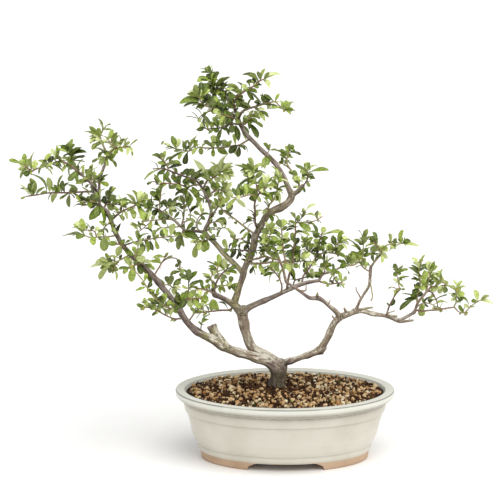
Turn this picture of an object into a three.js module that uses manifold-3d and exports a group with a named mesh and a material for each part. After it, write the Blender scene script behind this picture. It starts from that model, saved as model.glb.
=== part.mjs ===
// A firethorn bonsai in an oval glazed pot. Millimetres, +Z up, the table at z = 0.
// Routes and leaves are given as x and z on the upright plane through the middle of the pot,
// as they look from a point 1.8 m in front, with a depth behind that plane.
import * as THREE from "three";
import { mergeVertices } from "three/addons/utils/BufferGeometryUtils.js";
import Module from "manifold-3d";

const wasm = await Module();
wasm.setup();

// Driving dimensions of the pot and the soil.
const RIM_HALF_LENGTH = 150;
const RIM_HALF_WIDTH = 96.5;
const RIM_SEGMENTS = 32;
const DRAIN_X = 55;
const DRAIN_RADIUS = 11;
const DRAIN_SIDES = 18;
const DRAIN_OVERRUN = 2;
const FLOOR_Z = 18;
const FOOT_TOP_Z = 11.5;
const SCREEN_SIDE = 34;
const SCREEN_THICKNESS = 1;
const SCREEN_SLOT = 6;
const SCREEN_PITCH = 10;
const SCREEN_CUT = 4;
const SOIL_RINGS = 8;
const SOIL_EDGE_INSET = 15.4;
const SOIL_LIFT = 0.4;
const SOIL_EDGE_Z = 94;
const SOIL_MOUND = 6.5;
const SOIL_RELIEF = 1.3;
const STEM_HOLE_RADIUS = 13.3;
const STEM_HOLE_SIDES = 24;
const STEM_HOLE_RISE = 30;
const GAP = 0.35;
const SMALLEST_BODY = 20;
const TOUCH = 1e-4;

// Driving dimensions of the tree.
const EYE = new THREE.Vector3(-48, -1800, 672);
const EYE_DISTANCE = 1800;
const DEPTH_STRETCH = 1.45;
const LEAF_THICKNESS = 0.65;
const LEAF_WIDTH_SHARE = 0.4;
const LEAF_BEND = 0.06;
const LEAF_LEANS = [0, 6, -6, 12, -12, 18, -18];
const BLADE_START = 0.3;
const BLADE_WIDEST = 0.62;
const KEPT_LEAF_WIDTH = 8;
const KEPT_EVERY = 8;
const OUTERMOST = { left: -352, right: 266, top: 528 };
const FIRST_FILL = 2;
const KEPT_FILL = 5;
const LIMB_DETAIL = 1;
const TWIG_DETAIL = 1.4;
const THORN_LENGTH = 8;
const THORN_RADIUS = 0.85;
const THORN_TIP = 0.12;
const THORN_PLACE = 0.45;
const THORN_SLANT = 0.5;
const THORN_ROUTE = 5;
const STOUT_TWIG = 1.5;
const GOLDEN_ANGLE = 2.39996;

// The rule for a spray's other leaves: seeds, where they start along the twig, how far they
// stray from the golden angle, their length, how they lean forward and up, and their width.
const LEAF_SEED_STEP = 97;
const FILL_SEED = 7001;
const FILL_SEED_STEP = 131;
const FILL_START = 0.2;
const FILL_STRAY = 1.2;
const FILL_LENGTH = 11;
const FILL_LONGER = 8;
const FILL_FORWARD = 0.55;
const FILL_RISE = 0.25;
const FILL_UPRIGHT = 1.1;
const FILL_WIDTH_SHARE = 0.42;
const LEAN_REACH = 14;

// Distances in from the rim, with heights: the pot's outside from the rim down to the foot and
// under the floor to its middle, then its inside from the lip down to the floor.
const POT_OUTSIDE = [
  [0, 99], [0, 90.8], [5, 86], [10.6, 81.8], [12.8, 68.8], [15.6, 66.2], [19.6, 50], [26, 28],
  [30.4, 20.9], [29.9, 17.2], [33.2, 10.8], [35, 0], [47, 0], [47, FOOT_TOP_Z],
];
const POT_INSIDE = [[43, FLOOR_Z], [35.5, 28], [28, 52], [17.5, 84], [13, 97.4]];
const SOIL_SIDE = [[43.4, FLOOR_Z + SOIL_LIFT], [35.9, 28], [28.4, 52], [17.9, 84]];
const ARCH = [
  [-52.5, -1], [-52.5, 0], [-50, 6], [-40.5, FOOT_TOP_Z - 0.4], [40.5, FOOT_TOP_Z - 0.4], [50, 6],
  [52.5, 0], [52.5, -1],
];

// Limbs: name, sides, then x, z, depth and radius of each point.
const LIMBS = [
  ["limb_stump", 12, [[-11, 68, 4, 12.3], [-11.5, 92, 4, 12.5], [-11.5, 100, 4, 12.3],
    [-11, 108, 4, 11.2], [-9.5, 118, 4, 10.8], [-8, 127, 4, 10.6], [-6.5, 134, 3.5, 9.2],
    [-4.5, 139, 3, 6]]],
  ["limb_left", 7, [[-10, 118, 4, 8.5], [-16, 131, 2, 8.2], [-25, 136.8, 0, 7.6], [-36, 140, -3, 7],
    [-50, 145, -6, 6.8], [-64, 149, -9, 6.4], [-78, 154.5, -12, 6.2], [-88, 158.5, -14, 6],
    [-98, 167, -16, 5.6], [-110, 173, -18, 5.2], [-122, 180, -20, 5], [-132, 190, -22, 4.8],
    [-139, 200, -24, 4.6], [-144, 210, -25, 4.4], [-151, 220, -26, 4.2], [-158, 230, -26, 4.1],
    [-166, 240, -25, 3.9], [-173.5, 250, -23, 3.8], [-182, 260, -21, 3.7], [-190.6, 269, -19, 3.6],
    [-203, 280, -16, 3.5], [-212, 290, -13, 3.4], [-220, 300, -10, 3.4], [-225, 309, -8, 3.3],
    [-230, 319.5, -6, 3.2], [-233.5, 331, -4, 3], [-239.5, 344.5, -2, 2.8], [-246, 350, 0, 2.6],
    [-249, 356, 0, 2.4], [-249, 372, 3, 2.2], [-248, 388, 6, 2], [-241, 407, 8, 1.8],
    [-236, 420, 9, 1.6]]],
  ["limb_cut", 7, [[-80, 155.5, -13, 6.6], [-88, 164, -12.5, 7.4], [-94.5, 173.5, -12, 7.2],
    [-98.5, 182, -11, 6], [-100.5, 187.5, -10, 5.8]]],
  ["limb_middle", 7, [[-9, 122, 5, 7.5], [-14, 136, 6, 7.2], [-23, 143, 7, 6.8], [-34, 148, 7, 6.6],
    [-43, 154, 7, 6.6], [-48, 161, 7, 6.7], [-51, 170, 7, 6.8], [-54, 180, 8, 6.8], [-56, 190, 8, 6.7],
    [-58, 200, 8, 6.8], [-59, 208, 8, 7], [-60, 214, 8, 6]]],
  ["limb_leader", 7, [[-59, 204, 8, 5.5], [-66, 212, 8, 5], [-69, 219, 8, 4.8], [-67, 226, 8, 4.6],
    [-65, 232, 7, 4.5], [-62.7, 240, 6, 4.3], [-60.5, 247, 5, 4.2], [-58, 255, 4, 4.1],
    [-55.4, 264.5, 3, 4.2], [-52.6, 272.5, 2, 4.4], [-48.5, 281, 0, 4.5], [-45.5, 290, -2, 4.5],
    [-42.7, 300, -4, 4.6], [-41, 310, -6, 4.7], [-35.5, 321, -8, 4.7], [-30, 331, -9, 4.6],
    [-25, 339, -10, 4.6], [-16.7, 345.5, -11, 4.7], [-8, 349.5, -12, 4.6], [0, 354.5, -12, 4.5],
    [5.3, 360, -11, 4.4], [7.5, 367, -10, 4.2], [4, 374, -8, 3.9], [1, 381.5, -6, 3.7],
    [-2.3, 389.5, -4, 3.6], [-6.7, 397.5, -2, 3.5], [-11.5, 405, 0, 3.5], [-16.7, 412, 2, 3.4],
    [-21.5, 417, 4, 3.4], [-32.5, 427, 7, 3.3], [-42.5, 437, 10, 3.1], [-49, 443.5, 12, 3],
    [-55.5, 451, 14, 2.8], [-60, 459.5, 16, 2.7], [-63, 468, 17, 2.6], [-65.5, 473.5, 18, 2.6]]],
  ["limb_right_up", 6, [[-56, 207, 8, 4.5], [-48, 213, 9, 4.1], [-38, 218, 11, 4],
    [-28, 222.3, 13, 3.8], [-18, 226.7, 15, 3.6], [-8, 231.3, 17, 3.3], [0, 235.2, 19, 3.1],
    [8, 239, 21, 2.9], [16, 242.8, 23, 2.8], [24, 245.8, 25, 2.7], [32, 247.8, 27, 2.6],
    [40, 249.3, 29, 2.4], [46, 249.8, 30, 2.2]]],
  ["limb_side", 6, [[-62, 209, 8, 5], [-71, 216.5, 5, 4.2], [-79, 222, 1, 3.6], [-87, 226.5, -4, 3.4],
    [-95, 230, -9, 3.3], [-97.5, 236.5, -12, 3], [-96, 243, -14, 2.6], [-99, 249.5, -16, 2.2]]],
  ["limb_upper", 6, [[-56, 258, 4, 3.8], [-62, 266, 6, 3.7], [-70, 274, 9, 3.7], [-77, 281, 13, 3.7],
    [-84, 289, 17, 3.6], [-91, 297, 21, 3.5], [-98, 305, 25, 3.3], [-105, 311, 29, 3.1],
    [-110, 316, 32, 2.9]]],
  ["limb_upper_high", 5, [[-108, 314, 31, 2.9], [-107.5, 321, 33, 2.8], [-104, 328, 35, 2.7],
    [-101.5, 335.5, 36, 2.6], [-100, 344.5, 38, 2.4], [-101.5, 352, 40, 2.3], [-103.5, 359, 41, 2.3],
    [-107.5, 368, 43, 2.2], [-112, 376, 45, 2.1], [-114, 381, 46, 2]]],
  ["limb_upper_left", 5, [[-108, 315, 31, 2.4], [-115, 317.5, 34, 2.2], [-124, 318, 37, 2.1],
    [-134.5, 319, 40, 2], [-140, 323.5, 42, 2], [-147, 330.5, 44, 1.9], [-152.5, 335, 46, 1.9],
    [-158, 339.5, 47, 1.8], [-165, 343.5, 48, 1.7]]],
  ["limb_right", 7, [[-6, 128, 3, 6], [0, 134.5, 2, 5], [8, 137.5, 0, 4.4], [20, 141.5, -2, 3.9],
    [30, 144.8, -3, 4], [40, 149, -5, 4.4], [48, 153.5, -6, 5.4], [53, 162, -8, 4.8],
    [58, 172, -9, 4.6], [62, 181, -10, 4.5], [66, 190, -12, 4.4], [71, 196, -13, 4.2],
    [76, 200, -14, 4]]],
  ["limb_right_back", 5, [[74, 199, -14, 3.6], [68, 207, -15, 3.3], [60, 214, -16, 3.1],
    [52, 221, -17, 3], [44, 225.5, -18, 3], [34, 225.5, -17, 2.6], [28, 229, -16, 2.4],
    [21, 234, -15, 2.2], [14, 239, -14, 2.1], [7, 244, -14, 2], [1, 248, -14, 1.9], [-1, 255, -15, 1.8],
    [-3, 264, -16, 1.7], [-6, 273, -17, 1.6], [-10, 283, -18, 1.4], [-13, 292, -19, 1.2]]],
  ["limb_right_far", 6, [[75, 200, -14, 4], [85, 203, -13, 3.9], [93, 206.5, -12, 3.8],
    [101, 208, -10, 3.7], [109, 206.5, -8, 3.5], [118, 203.5, -5, 3.3], [127, 202, -2, 3.1],
    [136, 200.5, 2, 3], [145, 197, 6, 2.7], [151, 194.5, 9, 2.4], [155, 192.5, 10, 2.2],
    [163, 193, 12, 1.8], [174, 194.5, 14, 1.4]]],
  ["limb_right_tip", 5, [[152, 193.5, 9, 2.6], [162, 198, 13, 2.4], [168, 201.5, 16, 2.3],
    [175, 206, 19, 2.2], [177, 212, 21, 2], [180, 220, 23, 1.9], [186, 228, 25, 1.8],
    [190, 233, 26, 1.6], [194, 238, 27, 1.5], [198, 243, 28, 1.3]]],
  ["limb_pale", 5, [[95, 208, -12, 2.8], [98, 215, -14, 2.2], [101, 222, -16, 2.1], [106, 231, -18, 2],
    [111, 239, -19, 1.9], [113.5, 246, -20, 2.1], [114, 255, -20, 2.1], [114.5, 264, -20, 2.2],
    [115, 271, -20, 1.9]]],
  ["limb_stub_right", 5, [[7, 367, -10, 3.6], [12, 369.5, -11, 3.2], [17, 373, -12, 3.1],
    [21, 377.5, -13, 3], [23.5, 380.5, -14, 2.6]]],
  ["bare_loop", 4, [[134, 202, 2, 1.8], [145, 200.5, 0, 1.8], [152, 200.5, -1, 2.2]]],
  ["bare_elbow", 4, [[84, 203, -13, 2.8], [82, 207, -15, 2.4], [80, 211.5, -17, 1.4]]],
  ["bare_spur", 4, [[97, 208, -11, 2], [108, 211, -16, 1.6], [118, 212.5, -20, 1.3]]],
  ["bare_low", 3, [[70, 195, -13, 1.6], [66, 197.5, -17, 1.2], [63.5, 200.5, -20, 0.9]]],
  ["bare_grey", 3, [[102, 225, -17, 1], [99, 231, -12, 0.8], [96, 236, -9, 0.7], [95, 241, -7, 0.6]]],
  ["bare_hook", 3, [[114, 247, -20, 1], [116, 240, -26, 0.9], [117, 233, -29, 0.8],
    [118, 228, -31, 0.8], [116, 222, -33, 1.2]]],
  ["bare_cross", 3, [[14, 238, -14, 1.2], [21, 236, -19, 1], [27, 236, -22, 1], [28, 243, -24, 0.7]]],
  ["bare_bud", 3, [[44, 225, -18, 1.6], [43, 229, -22, 1.9], [43.5, 233, -24, 1]]],
  ["bare_thorn", 3, [[58, 216, -16, 0.9], [59, 219, -19, 0.8], [61, 223, -21, 0.5]]],
  ["bare_tip", 3, [[136, 201, 2, 1], [141, 205, -2, 0.8], [149, 208, -5, 0.6]]],
];

// Leafy sprays. A twig is its parent (a limb, or an earlier twig of the spray), its radius at the
// root and at the end, and its points. A leaf is where it leaves the twig, its tip and how wide
// it looks. fill is how many leaves grow besides, by the rule in fillLeaf.
const SPRAYS = [
  {"name": "spray_crown_left", "fill": 5, "twigs": [
    ["limb_left", 1.6, 0.8, [[-237, 418, 9], [-242, 433, 12], [-246, 443, 14], [-243, 452, 15],
      [-237, 460, 15]]],
    ["limb_left", 1.3, 0.8, [[-236, 419, 9], [-229, 428, 4], [-228, 434, 1], [-236, 441, -2]]],
    [1, 1.0, 0.7, [[-229, 429, 4], [-218, 431, 0], [-208, 432, -4]]]],
   "leaves": [[-253, 443, -260, 459, 7], [-246, 443, -248, 457, 5], [-237, 459, -231, 462, 2],
    [-241, 455, -247, 464, 2], [-241, 454, -230, 454, 3], [-250, 441, -267, 452, 2],
    [-246, 441, -256, 441, 4], [-244, 436, -257, 431, 4], [-237, 441, -243, 439, 4],
    [-236, 441, -233, 447, 3], [-228, 430, -224, 451, 7], [-226, 430, -221, 447, 5],
    [-238, 409, -223, 431, 9], [-239, 428, -230, 415, 5], [-219, 429, -203, 425, 5],
    [-217, 431, -205, 431, 3], [-221, 431, -214, 443, 5], [-214, 432, -207, 439, 4],
    [-239, 411, -251, 415, 4], [-240, 405, -226, 404, 3], [-244, 399, -257, 410, 3]]},
  {"name": "spray_stem_left", "fill": 3, "twigs": [
    ["limb_left", 1.2, 0.7, [[-248, 383, 5], [-256, 387, 0], [-261, 393, -4]]]],
   "leaves": [[-259, 391, -252, 397, 6], [-257, 386, -280, 382, 6], [-250, 384, -236, 379, 6],
    [-248, 386, -240, 389, 4], [-261, 393, -266, 402, 5], [-256, 387, -250, 392, 5],
    [-254, 385, -254, 372, 5]]},
  {"name": "spray_far_left_high", "fill": 4, "twigs": [
    ["limb_left", 2.2, 1.3, [[-249, 367, 3], [-254, 375, 0], [-258, 381, -4], [-268.5, 391.5, -9],
      [-279, 400.5, -14], [-286, 406, -17], [-295, 411.5, -20], [-303, 417, -22]]],
    [0, 1.4, 0.9, [[-297, 412, -20], [-305, 411, -24], [-313, 408, -27], [-321.5, 405, -30],
      [-331.5, 402, -33], [-338, 398, -35]]],
    [0, 1.2, 0.8, [[-285, 405, -16], [-283.5, 412.5, -12], [-285.5, 421.5, -9], [-287.5, 426, -8]]],
    [1, 1.0, 0.7, [[-336, 399, -34], [-343, 403, -38], [-348, 408, -40]]]],
   "leaves": [[-341, 402, -354, 414, 9], [-343, 404, -349, 417, 8], [-340, 401, -348, 393, 8],
    [-336, 401, -332, 414, 8], [-341, 402, -356, 402, 6], [-344, 405, -340, 416, 7],
    [-348, 407, -367, 415, 4], [-338, 402, -334, 425, 4], [-346, 404, -353, 389, 4],
    [-330, 403, -318, 411, 6], [-319, 407, -311, 423, 5], [-313, 409, -317, 418, 4],
    [-306, 411, -300, 424, 3], [-317, 406, -310, 401, 3], [-287, 425, -298, 434, 9],
    [-287, 425, -290, 436, 8], [-286, 423, -306, 427, 4], [-286, 424, -281, 436, 5],
    [-285, 420, -270, 431, 6], [-285, 419, -264, 424, 5], [-284, 416, -266, 419, 3],
    [-284, 415, -298, 416, 3], [-283, 411, -268, 417, 2], [-279, 400, -275, 407, 5],
    [-277, 399, -276, 393, 5], [-278, 400, -290, 386, 8], [-298, 413, -302, 420, 3]]},
  {"name": "spray_far_left_mid", "fill": 4, "twigs": [
    ["limb_left", 1.5, 0.9, [[-249, 363, 2], [-258, 371, 8], [-273.5, 371, 12], [-288, 370, 16],
      [-303, 370, 20], [-318, 369.5, 23], [-332.5, 367, 26], [-346.5, 365, 28]]]],
   "leaves": [[-303, 370, -315, 378, 4], [-303, 371, -309, 381, 4], [-303, 370, -297, 383, 5],
    [-303, 369, -312, 356, 6], [-300, 371, -288, 384, 4], [-303, 371, -297, 394, 3],
    [-289, 370, -278, 377, 8], [-288, 369, -289, 350, 6], [-288, 369, -302, 361, 3],
    [-286, 369, -275, 358, 4], [-336, 367, -340, 390, 8], [-338, 367, -334, 385, 5],
    [-336, 367, -355, 376, 4], [-341, 366, -354, 382, 3], [-334, 367, -321, 378, 4],
    [-328, 368, -318, 372, 4], [-318, 370, -342, 396, 3], [-315, 370, -316, 391, 8],
    [-346, 365, -354, 362, 3], [-310, 370, -312, 379, 3], [-270, 371, -278, 362, 4]]},
  {"name": "spray_left_knot_front", "fill": 4, "twigs": [
    ["limb_left", 1.7, 0.9, [[-247, 351.5, 0], [-252, 355, -9], [-258, 358, -15], [-268, 357, -19]]],
    [0, 1.0, 0.7, [[-256, 357, -13], [-264, 354, -17], [-273, 352, -20]]]],
   "leaves": [[-251, 353, -263, 333, 11], [-250, 352, -245, 325, 6], [-252, 354, -263, 351, 6],
    [-256, 357, -266, 364, 7], [-257, 358, -258, 369, 7], [-260, 357, -271, 362, 5],
    [-262, 356, -279, 366, 3], [-254, 356, -252, 371, 6], [-268, 357, -280, 363, 4],
    [-270, 353, -284, 351, 2], [-255, 356, -249, 363, 5]]},
  {"name": "spray_left_knot_back", "fill": 4, "twigs": [
    ["limb_left", 1.6, 0.9, [[-243, 349, -1], [-240, 355, 8], [-237, 361, 14], [-235, 366, 17]]],
    [0, 1.0, 0.7, [[-240, 355, 8], [-232, 354, 11], [-224, 354, 13], [-218, 352, 14]]]],
   "leaves": [[-238, 360, -236, 374, 9], [-239, 357, -227, 364, 8], [-240, 355, -229, 348, 9],
    [-240, 355, -243, 366, 6], [-234, 354, -221, 360, 6], [-230, 354, -224, 345, 5],
    [-224, 354, -212, 350, 5], [-219, 352, -210, 356, 5], [-238, 358, -246, 362, 4],
    [-228, 354, -212, 364, 3]]},
  {"name": "spray_left_inner", "fill": 4, "twigs": [
    ["limb_left", 1.5, 1.0, [[-232, 333, -4], [-222, 343, -14], [-210, 349, -22], [-201, 353, -28],
      [-196, 357, -32]]],
    [0, 0.9, 0.7, [[-225, 341, -11], [-220, 347, -18], [-219, 352, -21]]]],
   "leaves": [[-198, 355, -204, 374, 4], [-197, 356, -193, 373, 8], [-200, 354, -214, 369, 5],
    [-196, 357, -184, 368, 8], [-199, 354, -226, 358, 3], [-200, 353, -209, 358, 3],
    [-200, 353, -190, 333, 8], [-199, 354, -187, 348, 3], [-196, 357, -186, 360, 5],
    [-205, 351, -212, 344, 4]]},
  {"name": "spray_left_tendril", "fill": 1, "twigs": [
    ["limb_left", 1.0, 0.7, [[-231, 331, -4], [-240, 326, -14], [-246, 319, -20]]]],
   "leaves": [[-244, 321, -251, 315, 4], [-243, 323, -238, 315, 3]]},
  {"name": "spray_left_low", "fill": 4, "twigs": [
    ["limb_left", 1.2, 0.8, [[-228, 311.5, -8], [-240, 310, -20], [-250, 310, -28], [-261, 309, -35],
      [-270, 312, -40]]],
    [0, 0.9, 0.7, [[-254, 310, -30], [-256, 317, -34], [-262, 319, -38], [-271, 319, -42]]]],
   "leaves": [[-270, 312, -285, 328, 8], [-270, 311, -300, 311, 4], [-270, 318, -276, 328, 6],
    [-268, 311, -282, 310, 8], [-263, 309, -254, 305, 4], [-256, 317, -250, 323, 6],
    [-255, 313, -245, 316, 5], [-262, 319, -257, 325, 5], [-252, 310, -246, 306, 4],
    [-268, 319, -266, 326, 3], [-244, 310, -244, 290, 12], [-258, 309, -263, 316, 5]]},
  {"name": "spray_left_broad", "fill": 1, "twigs": [
    ["limb_left", 1.3, 0.8, [[-213, 296, -13], [-221, 299, -22], [-228, 300, -27]]]],
   "leaves": [[-226, 300, -239, 301, 7], [-220, 299, -227, 283, 9], [-222, 300, -216, 307, 5],
    [-215, 297, -205, 284, 7]]},
  {"name": "spray_left_reach", "fill": 4, "twigs": [
    ["limb_left", 1.2, 0.7, [[-217, 299, -11], [-204.5, 302.5, -20], [-196, 304.5, -27],
      [-187, 306, -33], [-177, 308, -39], [-163.5, 309.5, -46], [-149, 310.5, -52]]]],
   "leaves": [[-204, 303, -212, 311, 3], [-198, 304, -199, 319, 6], [-196, 304, -190, 290, 7],
    [-187, 306, -181, 312, 5], [-190, 305, -181, 298, 7], [-178, 308, -175, 320, 6],
    [-176, 308, -170, 313, 5], [-163, 310, -168, 319, 8], [-158, 310, -164, 323, 6],
    [-153, 310, -154, 302, 7], [-149, 310, -143, 315, 3]]},
  {"name": "spray_left_bright", "fill": 5, "twigs": [
    ["limb_left", 1.4, 0.8, [[-199, 277, -16], [-203, 282, -28], [-200, 290, -34], [-198, 298, -38]]],
    ["limb_left", 1.2, 0.8, [[-196, 273, -17], [-206, 270, -28], [-214, 268, -34]]]],
   "leaves": [[-202, 284, -191, 297, 9], [-201, 287, -205, 297, 6], [-203, 282, -188, 281, 9],
    [-207, 270, -217, 282, 8], [-208, 270, -209, 281, 6], [-204, 271, -197, 281, 6],
    [-212, 269, -219, 259, 6], [-207, 270, -206, 258, 5], [-203, 271, -209, 248, 10],
    [-200, 272, -193, 259, 8], [-198, 273, -181, 246, 9], [-197, 273, -182, 276, 4],
    [-197, 273, -176, 265, 4], [-198, 298, -193, 305, 5]]},
  {"name": "spray_left_shelf", "fill": 4, "twigs": [
    ["limb_left", 1.3, 0.8, [[-209, 286, -14], [-220.5, 279.5, -2], [-228, 276, 6], [-236, 272.5, 13]]],
    [0, 0.9, 0.7, [[-226, 277, 4], [-230, 270, 10], [-232, 265, 13]]]],
   "leaves": [[-236, 273, -256, 276, 8], [-235, 273, -250, 281, 7], [-233, 274, -240, 282, 5],
    [-236, 272, -226, 263, 7], [-236, 272, -249, 266, 6], [-235, 272, -264, 268, 5],
    [-234, 273, -251, 251, 7], [-230, 276, -233, 285, 3], [-232, 265, -229, 250, 3],
    [-224, 278, -220, 286, 4]]},
  {"name": "spray_left_arc", "fill": 2, "twigs": [
    ["limb_left", 1.1, 0.7, [[-175.4, 258, -23], [-170, 269, -34], [-164.6, 278, -41],
      [-159, 286, -47]]],
    [0, 0.9, 0.7, [[-165, 278, -41], [-156, 281, -45], [-148, 280.5, -49], [-143, 276, -52],
      [-143, 268, -54], [-142, 262, -55]]]],
   "leaves": [[-163, 281, -158, 289, 4], [-162, 282, -180, 281, 3], [-168, 273, -177, 279, 3],
    [-146, 280, -140, 274, 5], [-143, 274, -149, 269, 5], [-143, 268, -138, 260, 6],
    [-142, 263, -151, 259, 3]]},
  {"name": "spray_low_left", "fill": 4, "twigs": [
    ["limb_left", 1.2, 0.8, [[-139, 196, -24], [-150, 196.5, -34], [-160.5, 200.5, -40],
      [-168, 204.5, -44], [-176, 209, -48], [-183, 212, -51], [-190.5, 212.5, -53]]]],
   "leaves": [[-188, 212, -202, 217, 5], [-189, 212, -197, 210, 4], [-174, 208, -181, 201, 4],
    [-183, 212, -194, 221, 5], [-180, 211, -187, 219, 5], [-176, 209, -182, 222, 6],
    [-174, 208, -169, 219, 6], [-168, 205, -174, 214, 6], [-162, 202, -166, 212, 5],
    [-150, 197, -156, 193, 3], [-146, 196, -152, 192, 3]]},
  {"name": "spray_low_climber", "fill": 5, "twigs": [
    ["limb_left", 1.4, 0.7, [[-146, 211, -25], [-154, 211, -36], [-161, 213, -42], [-168, 217, -46],
      [-176.5, 225.5, -50], [-182, 232, -53], [-187.5, 241, -56], [-192, 249, -59], [-199, 258, -62],
      [-207, 267, -65]]]],
   "leaves": [[-188, 242, -203, 235, 4], [-189, 243, -195, 248, 5], [-186, 239, -181, 248, 6],
    [-184, 236, -177, 235, 4], [-174, 222, -176, 232, 4], [-166, 216, -162, 233, 9],
    [-168, 217, -173, 227, 7], [-160, 212, -156, 223, 7], [-170, 219, -181, 219, 6],
    [-173, 222, -187, 224, 5], [-157, 211, -158, 203, 7], [-153, 211, -147, 204, 6],
    [-163, 214, -172, 212, 5], [-152, 211, -153, 220, 6]]},
  {"name": "spray_mid_mass", "fill": 6, "twigs": [
    ["limb_left", 1.5, 0.8, [[-145, 214, -25], [-140, 219, -36], [-132, 224, -43], [-124, 225, -48],
      [-114, 225, -52]]],
    [0, 1.0, 0.7, [[-132, 224, -43], [-131, 236, -39], [-131, 248, -36], [-130, 259, -33]]]],
   "leaves": [[-142, 218, -148, 231, 9], [-139, 220, -139, 234, 8], [-135, 222, -131, 234, 8],
    [-131, 224, -125, 235, 8], [-127, 225, -117, 219, 9], [-123, 225, -114, 231, 8],
    [-117, 225, -104, 226, 10], [-114, 225, -107, 217, 7], [-134, 223, -141, 212, 8],
    [-141, 218, -149, 209, 7], [-130, 224, -128, 212, 8], [-124, 225, -121, 214, 6],
    [-143, 217, -151, 224, 6], [-139, 220, -149, 235, 6], [-131, 248, -130, 266, 8],
    [-131, 237, -134, 228, 7], [-131, 238, -125, 245, 5], [-131, 239, -140, 243, 4],
    [-130, 250, -142, 254, 3], [-131, 252, -119, 263, 6], [-130, 243, -112, 250, 5],
    [-130, 254, -144, 259, 5], [-120, 225, -127, 237, 6]]},
  {"name": "spray_mid_under", "fill": 3, "twigs": [
    ["limb_left", 1.2, 0.8, [[-131, 192, -22], [-124, 203.5, -9], [-116.5, 211, 0], [-111, 217, 7]]]],
   "leaves": [[-112, 216, -103, 223, 4], [-119, 209, -122, 219, 4], [-117, 211, -114, 219, 4],
    [-121, 206, -129, 212, 5], [-122, 205, -112, 206, 3]]},
  {"name": "spray_limb_leaves", "fill": 1, "twigs": [
    ["limb_left", 1.0, 0.7, [[-114, 178, -18], [-114.5, 186, -24], [-114, 190, -27]]]],
   "leaves": [[-114, 190, -104, 196, 4], [-114, 187, -118, 193, 3]]},
  {"name": "spray_left_pair", "fill": 2, "twigs": [
    ["limb_left", 1.1, 0.8, [[-167, 244, -25], [-159, 244, -13], [-152, 240, -5]]]],
   "leaves": [[-158, 243, -162, 256, 7], [-156, 242, -153, 257, 8], [-152, 240, -142, 248, 6],
    [-152, 240, -147, 235, 8], [-153, 241, -151, 229, 4]]},
  {"name": "spray_side_reach", "fill": 3, "twigs": [
    ["limb_side", 1.5, 0.9, [[-96, 232, -10], [-103, 235, -22], [-109, 237, -29], [-117, 238, -35],
      [-122, 236, -38]]]],
   "leaves": [[-117, 238, -126, 241, 4], [-110, 237, -115, 246, 4], [-104, 235, -110, 228, 5],
    [-120, 237, -128, 233, 4]]},
  {"name": "spray_side_high", "fill": 5, "twigs": [
    ["limb_side", 1.4, 0.8, [[-97, 240, -13], [-91, 252, -20], [-86, 259, -24], [-81, 264, -27],
      [-75, 268, -29]]],
    [0, 1.1, 0.7, [[-89, 255, -22], [-92, 262, -30], [-91, 269, -36]]]],
   "leaves": [[-77, 267, -66, 270, 6], [-79, 266, -84, 281, 9], [-82, 264, -92, 279, 6],
    [-86, 259, -79, 253, 5], [-84, 261, -74, 261, 6], [-92, 264, -104, 270, 5], [-91, 267, -96, 277, 4],
    [-91, 260, -96, 252, 5], [-88, 256, -82, 251, 4]]},
  {"name": "spray_side_tuft", "fill": 2, "twigs": [
    ["limb_side", 1.2, 0.8, [[-99, 247, -16], [-101, 253, -10], [-98, 259, -5]]]],
   "leaves": [[-101, 254, -110, 257, 7], [-99, 257, -92, 264, 5], [-101, 252, -108, 247, 5],
    [-98, 259, -101, 268, 4]]},
  {"name": "spray_side_right", "fill": 2, "twigs": [
    ["limb_side", 1.1, 0.7, [[-96, 238, -13], [-89, 243, -2], [-82, 243, 5], [-75, 243, 10]]]],
   "leaves": [[-82, 243, -72, 247, 5], [-76, 243, -67, 240, 3], [-90, 242, -84, 237, 5],
    [-88, 243, -80, 251, 3], [-92, 241, -88, 232, 3]]},
  {"name": "spray_side_under", "fill": 3, "twigs": [
    ["limb_side", 1.5, 0.9, [[-70, 214, 5], [-76, 209, 16], [-87, 208.5, 24], [-100, 207, 31],
      [-109, 206, 36], [-120, 204.5, 41]]]],
   "leaves": [[-89, 208, -101, 223, 13], [-104, 207, -107, 215, 3], [-110, 206, -117, 217, 4],
    [-118, 205, -126, 207, 5], [-106, 206, -112, 200, 4]]},
  {"name": "spray_upper_reach", "fill": 6, "twigs": [
    ["limb_upper_left", 1.4, 0.8, [[-163, 342, 48], [-170, 347, 54], [-178, 350, 59], [-186, 351, 63]]],
    [0, 1.0, 0.7, [[-168, 346, 52], [-169, 355, 47], [-167, 364, 43], [-167, 372, 40]]],
    [0, 1.0, 0.7, [[-165, 344, 49], [-157, 350, 53], [-150, 352, 56]]]],
   "leaves": [[-170, 357, -181, 372, 8], [-167, 364, -172, 377, 6], [-167, 366, -165, 380, 4],
    [-159, 349, -163, 361, 7], [-157, 350, -154, 363, 7], [-155, 351, -146, 358, 6],
    [-178, 350, -188, 344, 6], [-178, 350, -184, 359, 7], [-172, 348, -178, 339, 8],
    [-170, 347, -166, 337, 7], [-153, 351, -146, 344, 6], [-156, 350, -152, 338, 5],
    [-152, 351, -142, 366, 5], [-150, 352, -138, 354, 4], [-180, 350, -190, 352, 5],
    [-169, 354, -160, 357, 5], [-161, 347, -158, 337, 5]]},
  {"name": "spray_upper_low", "fill": 5, "twigs": [
    ["limb_upper_left", 1.1, 0.7, [[-151, 333, 45], [-160, 334, 36], [-172, 333, 30], [-182, 332, 25],
      [-190, 331, 21]]],
    [0, 0.8, 0.6, [[-179, 332, 27], [-186, 326, 23], [-192, 321, 20], [-197, 317, 18]]]],
   "leaves": [[-183, 332, -187, 339, 7], [-170, 333, -164, 343, 9], [-167, 333, -160, 328, 6],
    [-174, 333, -172, 326, 5], [-180, 332, -175, 339, 5], [-190, 321, -178, 314, 3],
    [-162, 334, -156, 339, 5]]},
  {"name": "spray_upper_shelf", "fill": 2, "twigs": [
    ["limb_upper_left", 1.0, 0.7, [[-141, 325, 42], [-152, 322.5, 33], [-160, 322.5, 29],
      [-169, 322.5, 25]]]],
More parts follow.
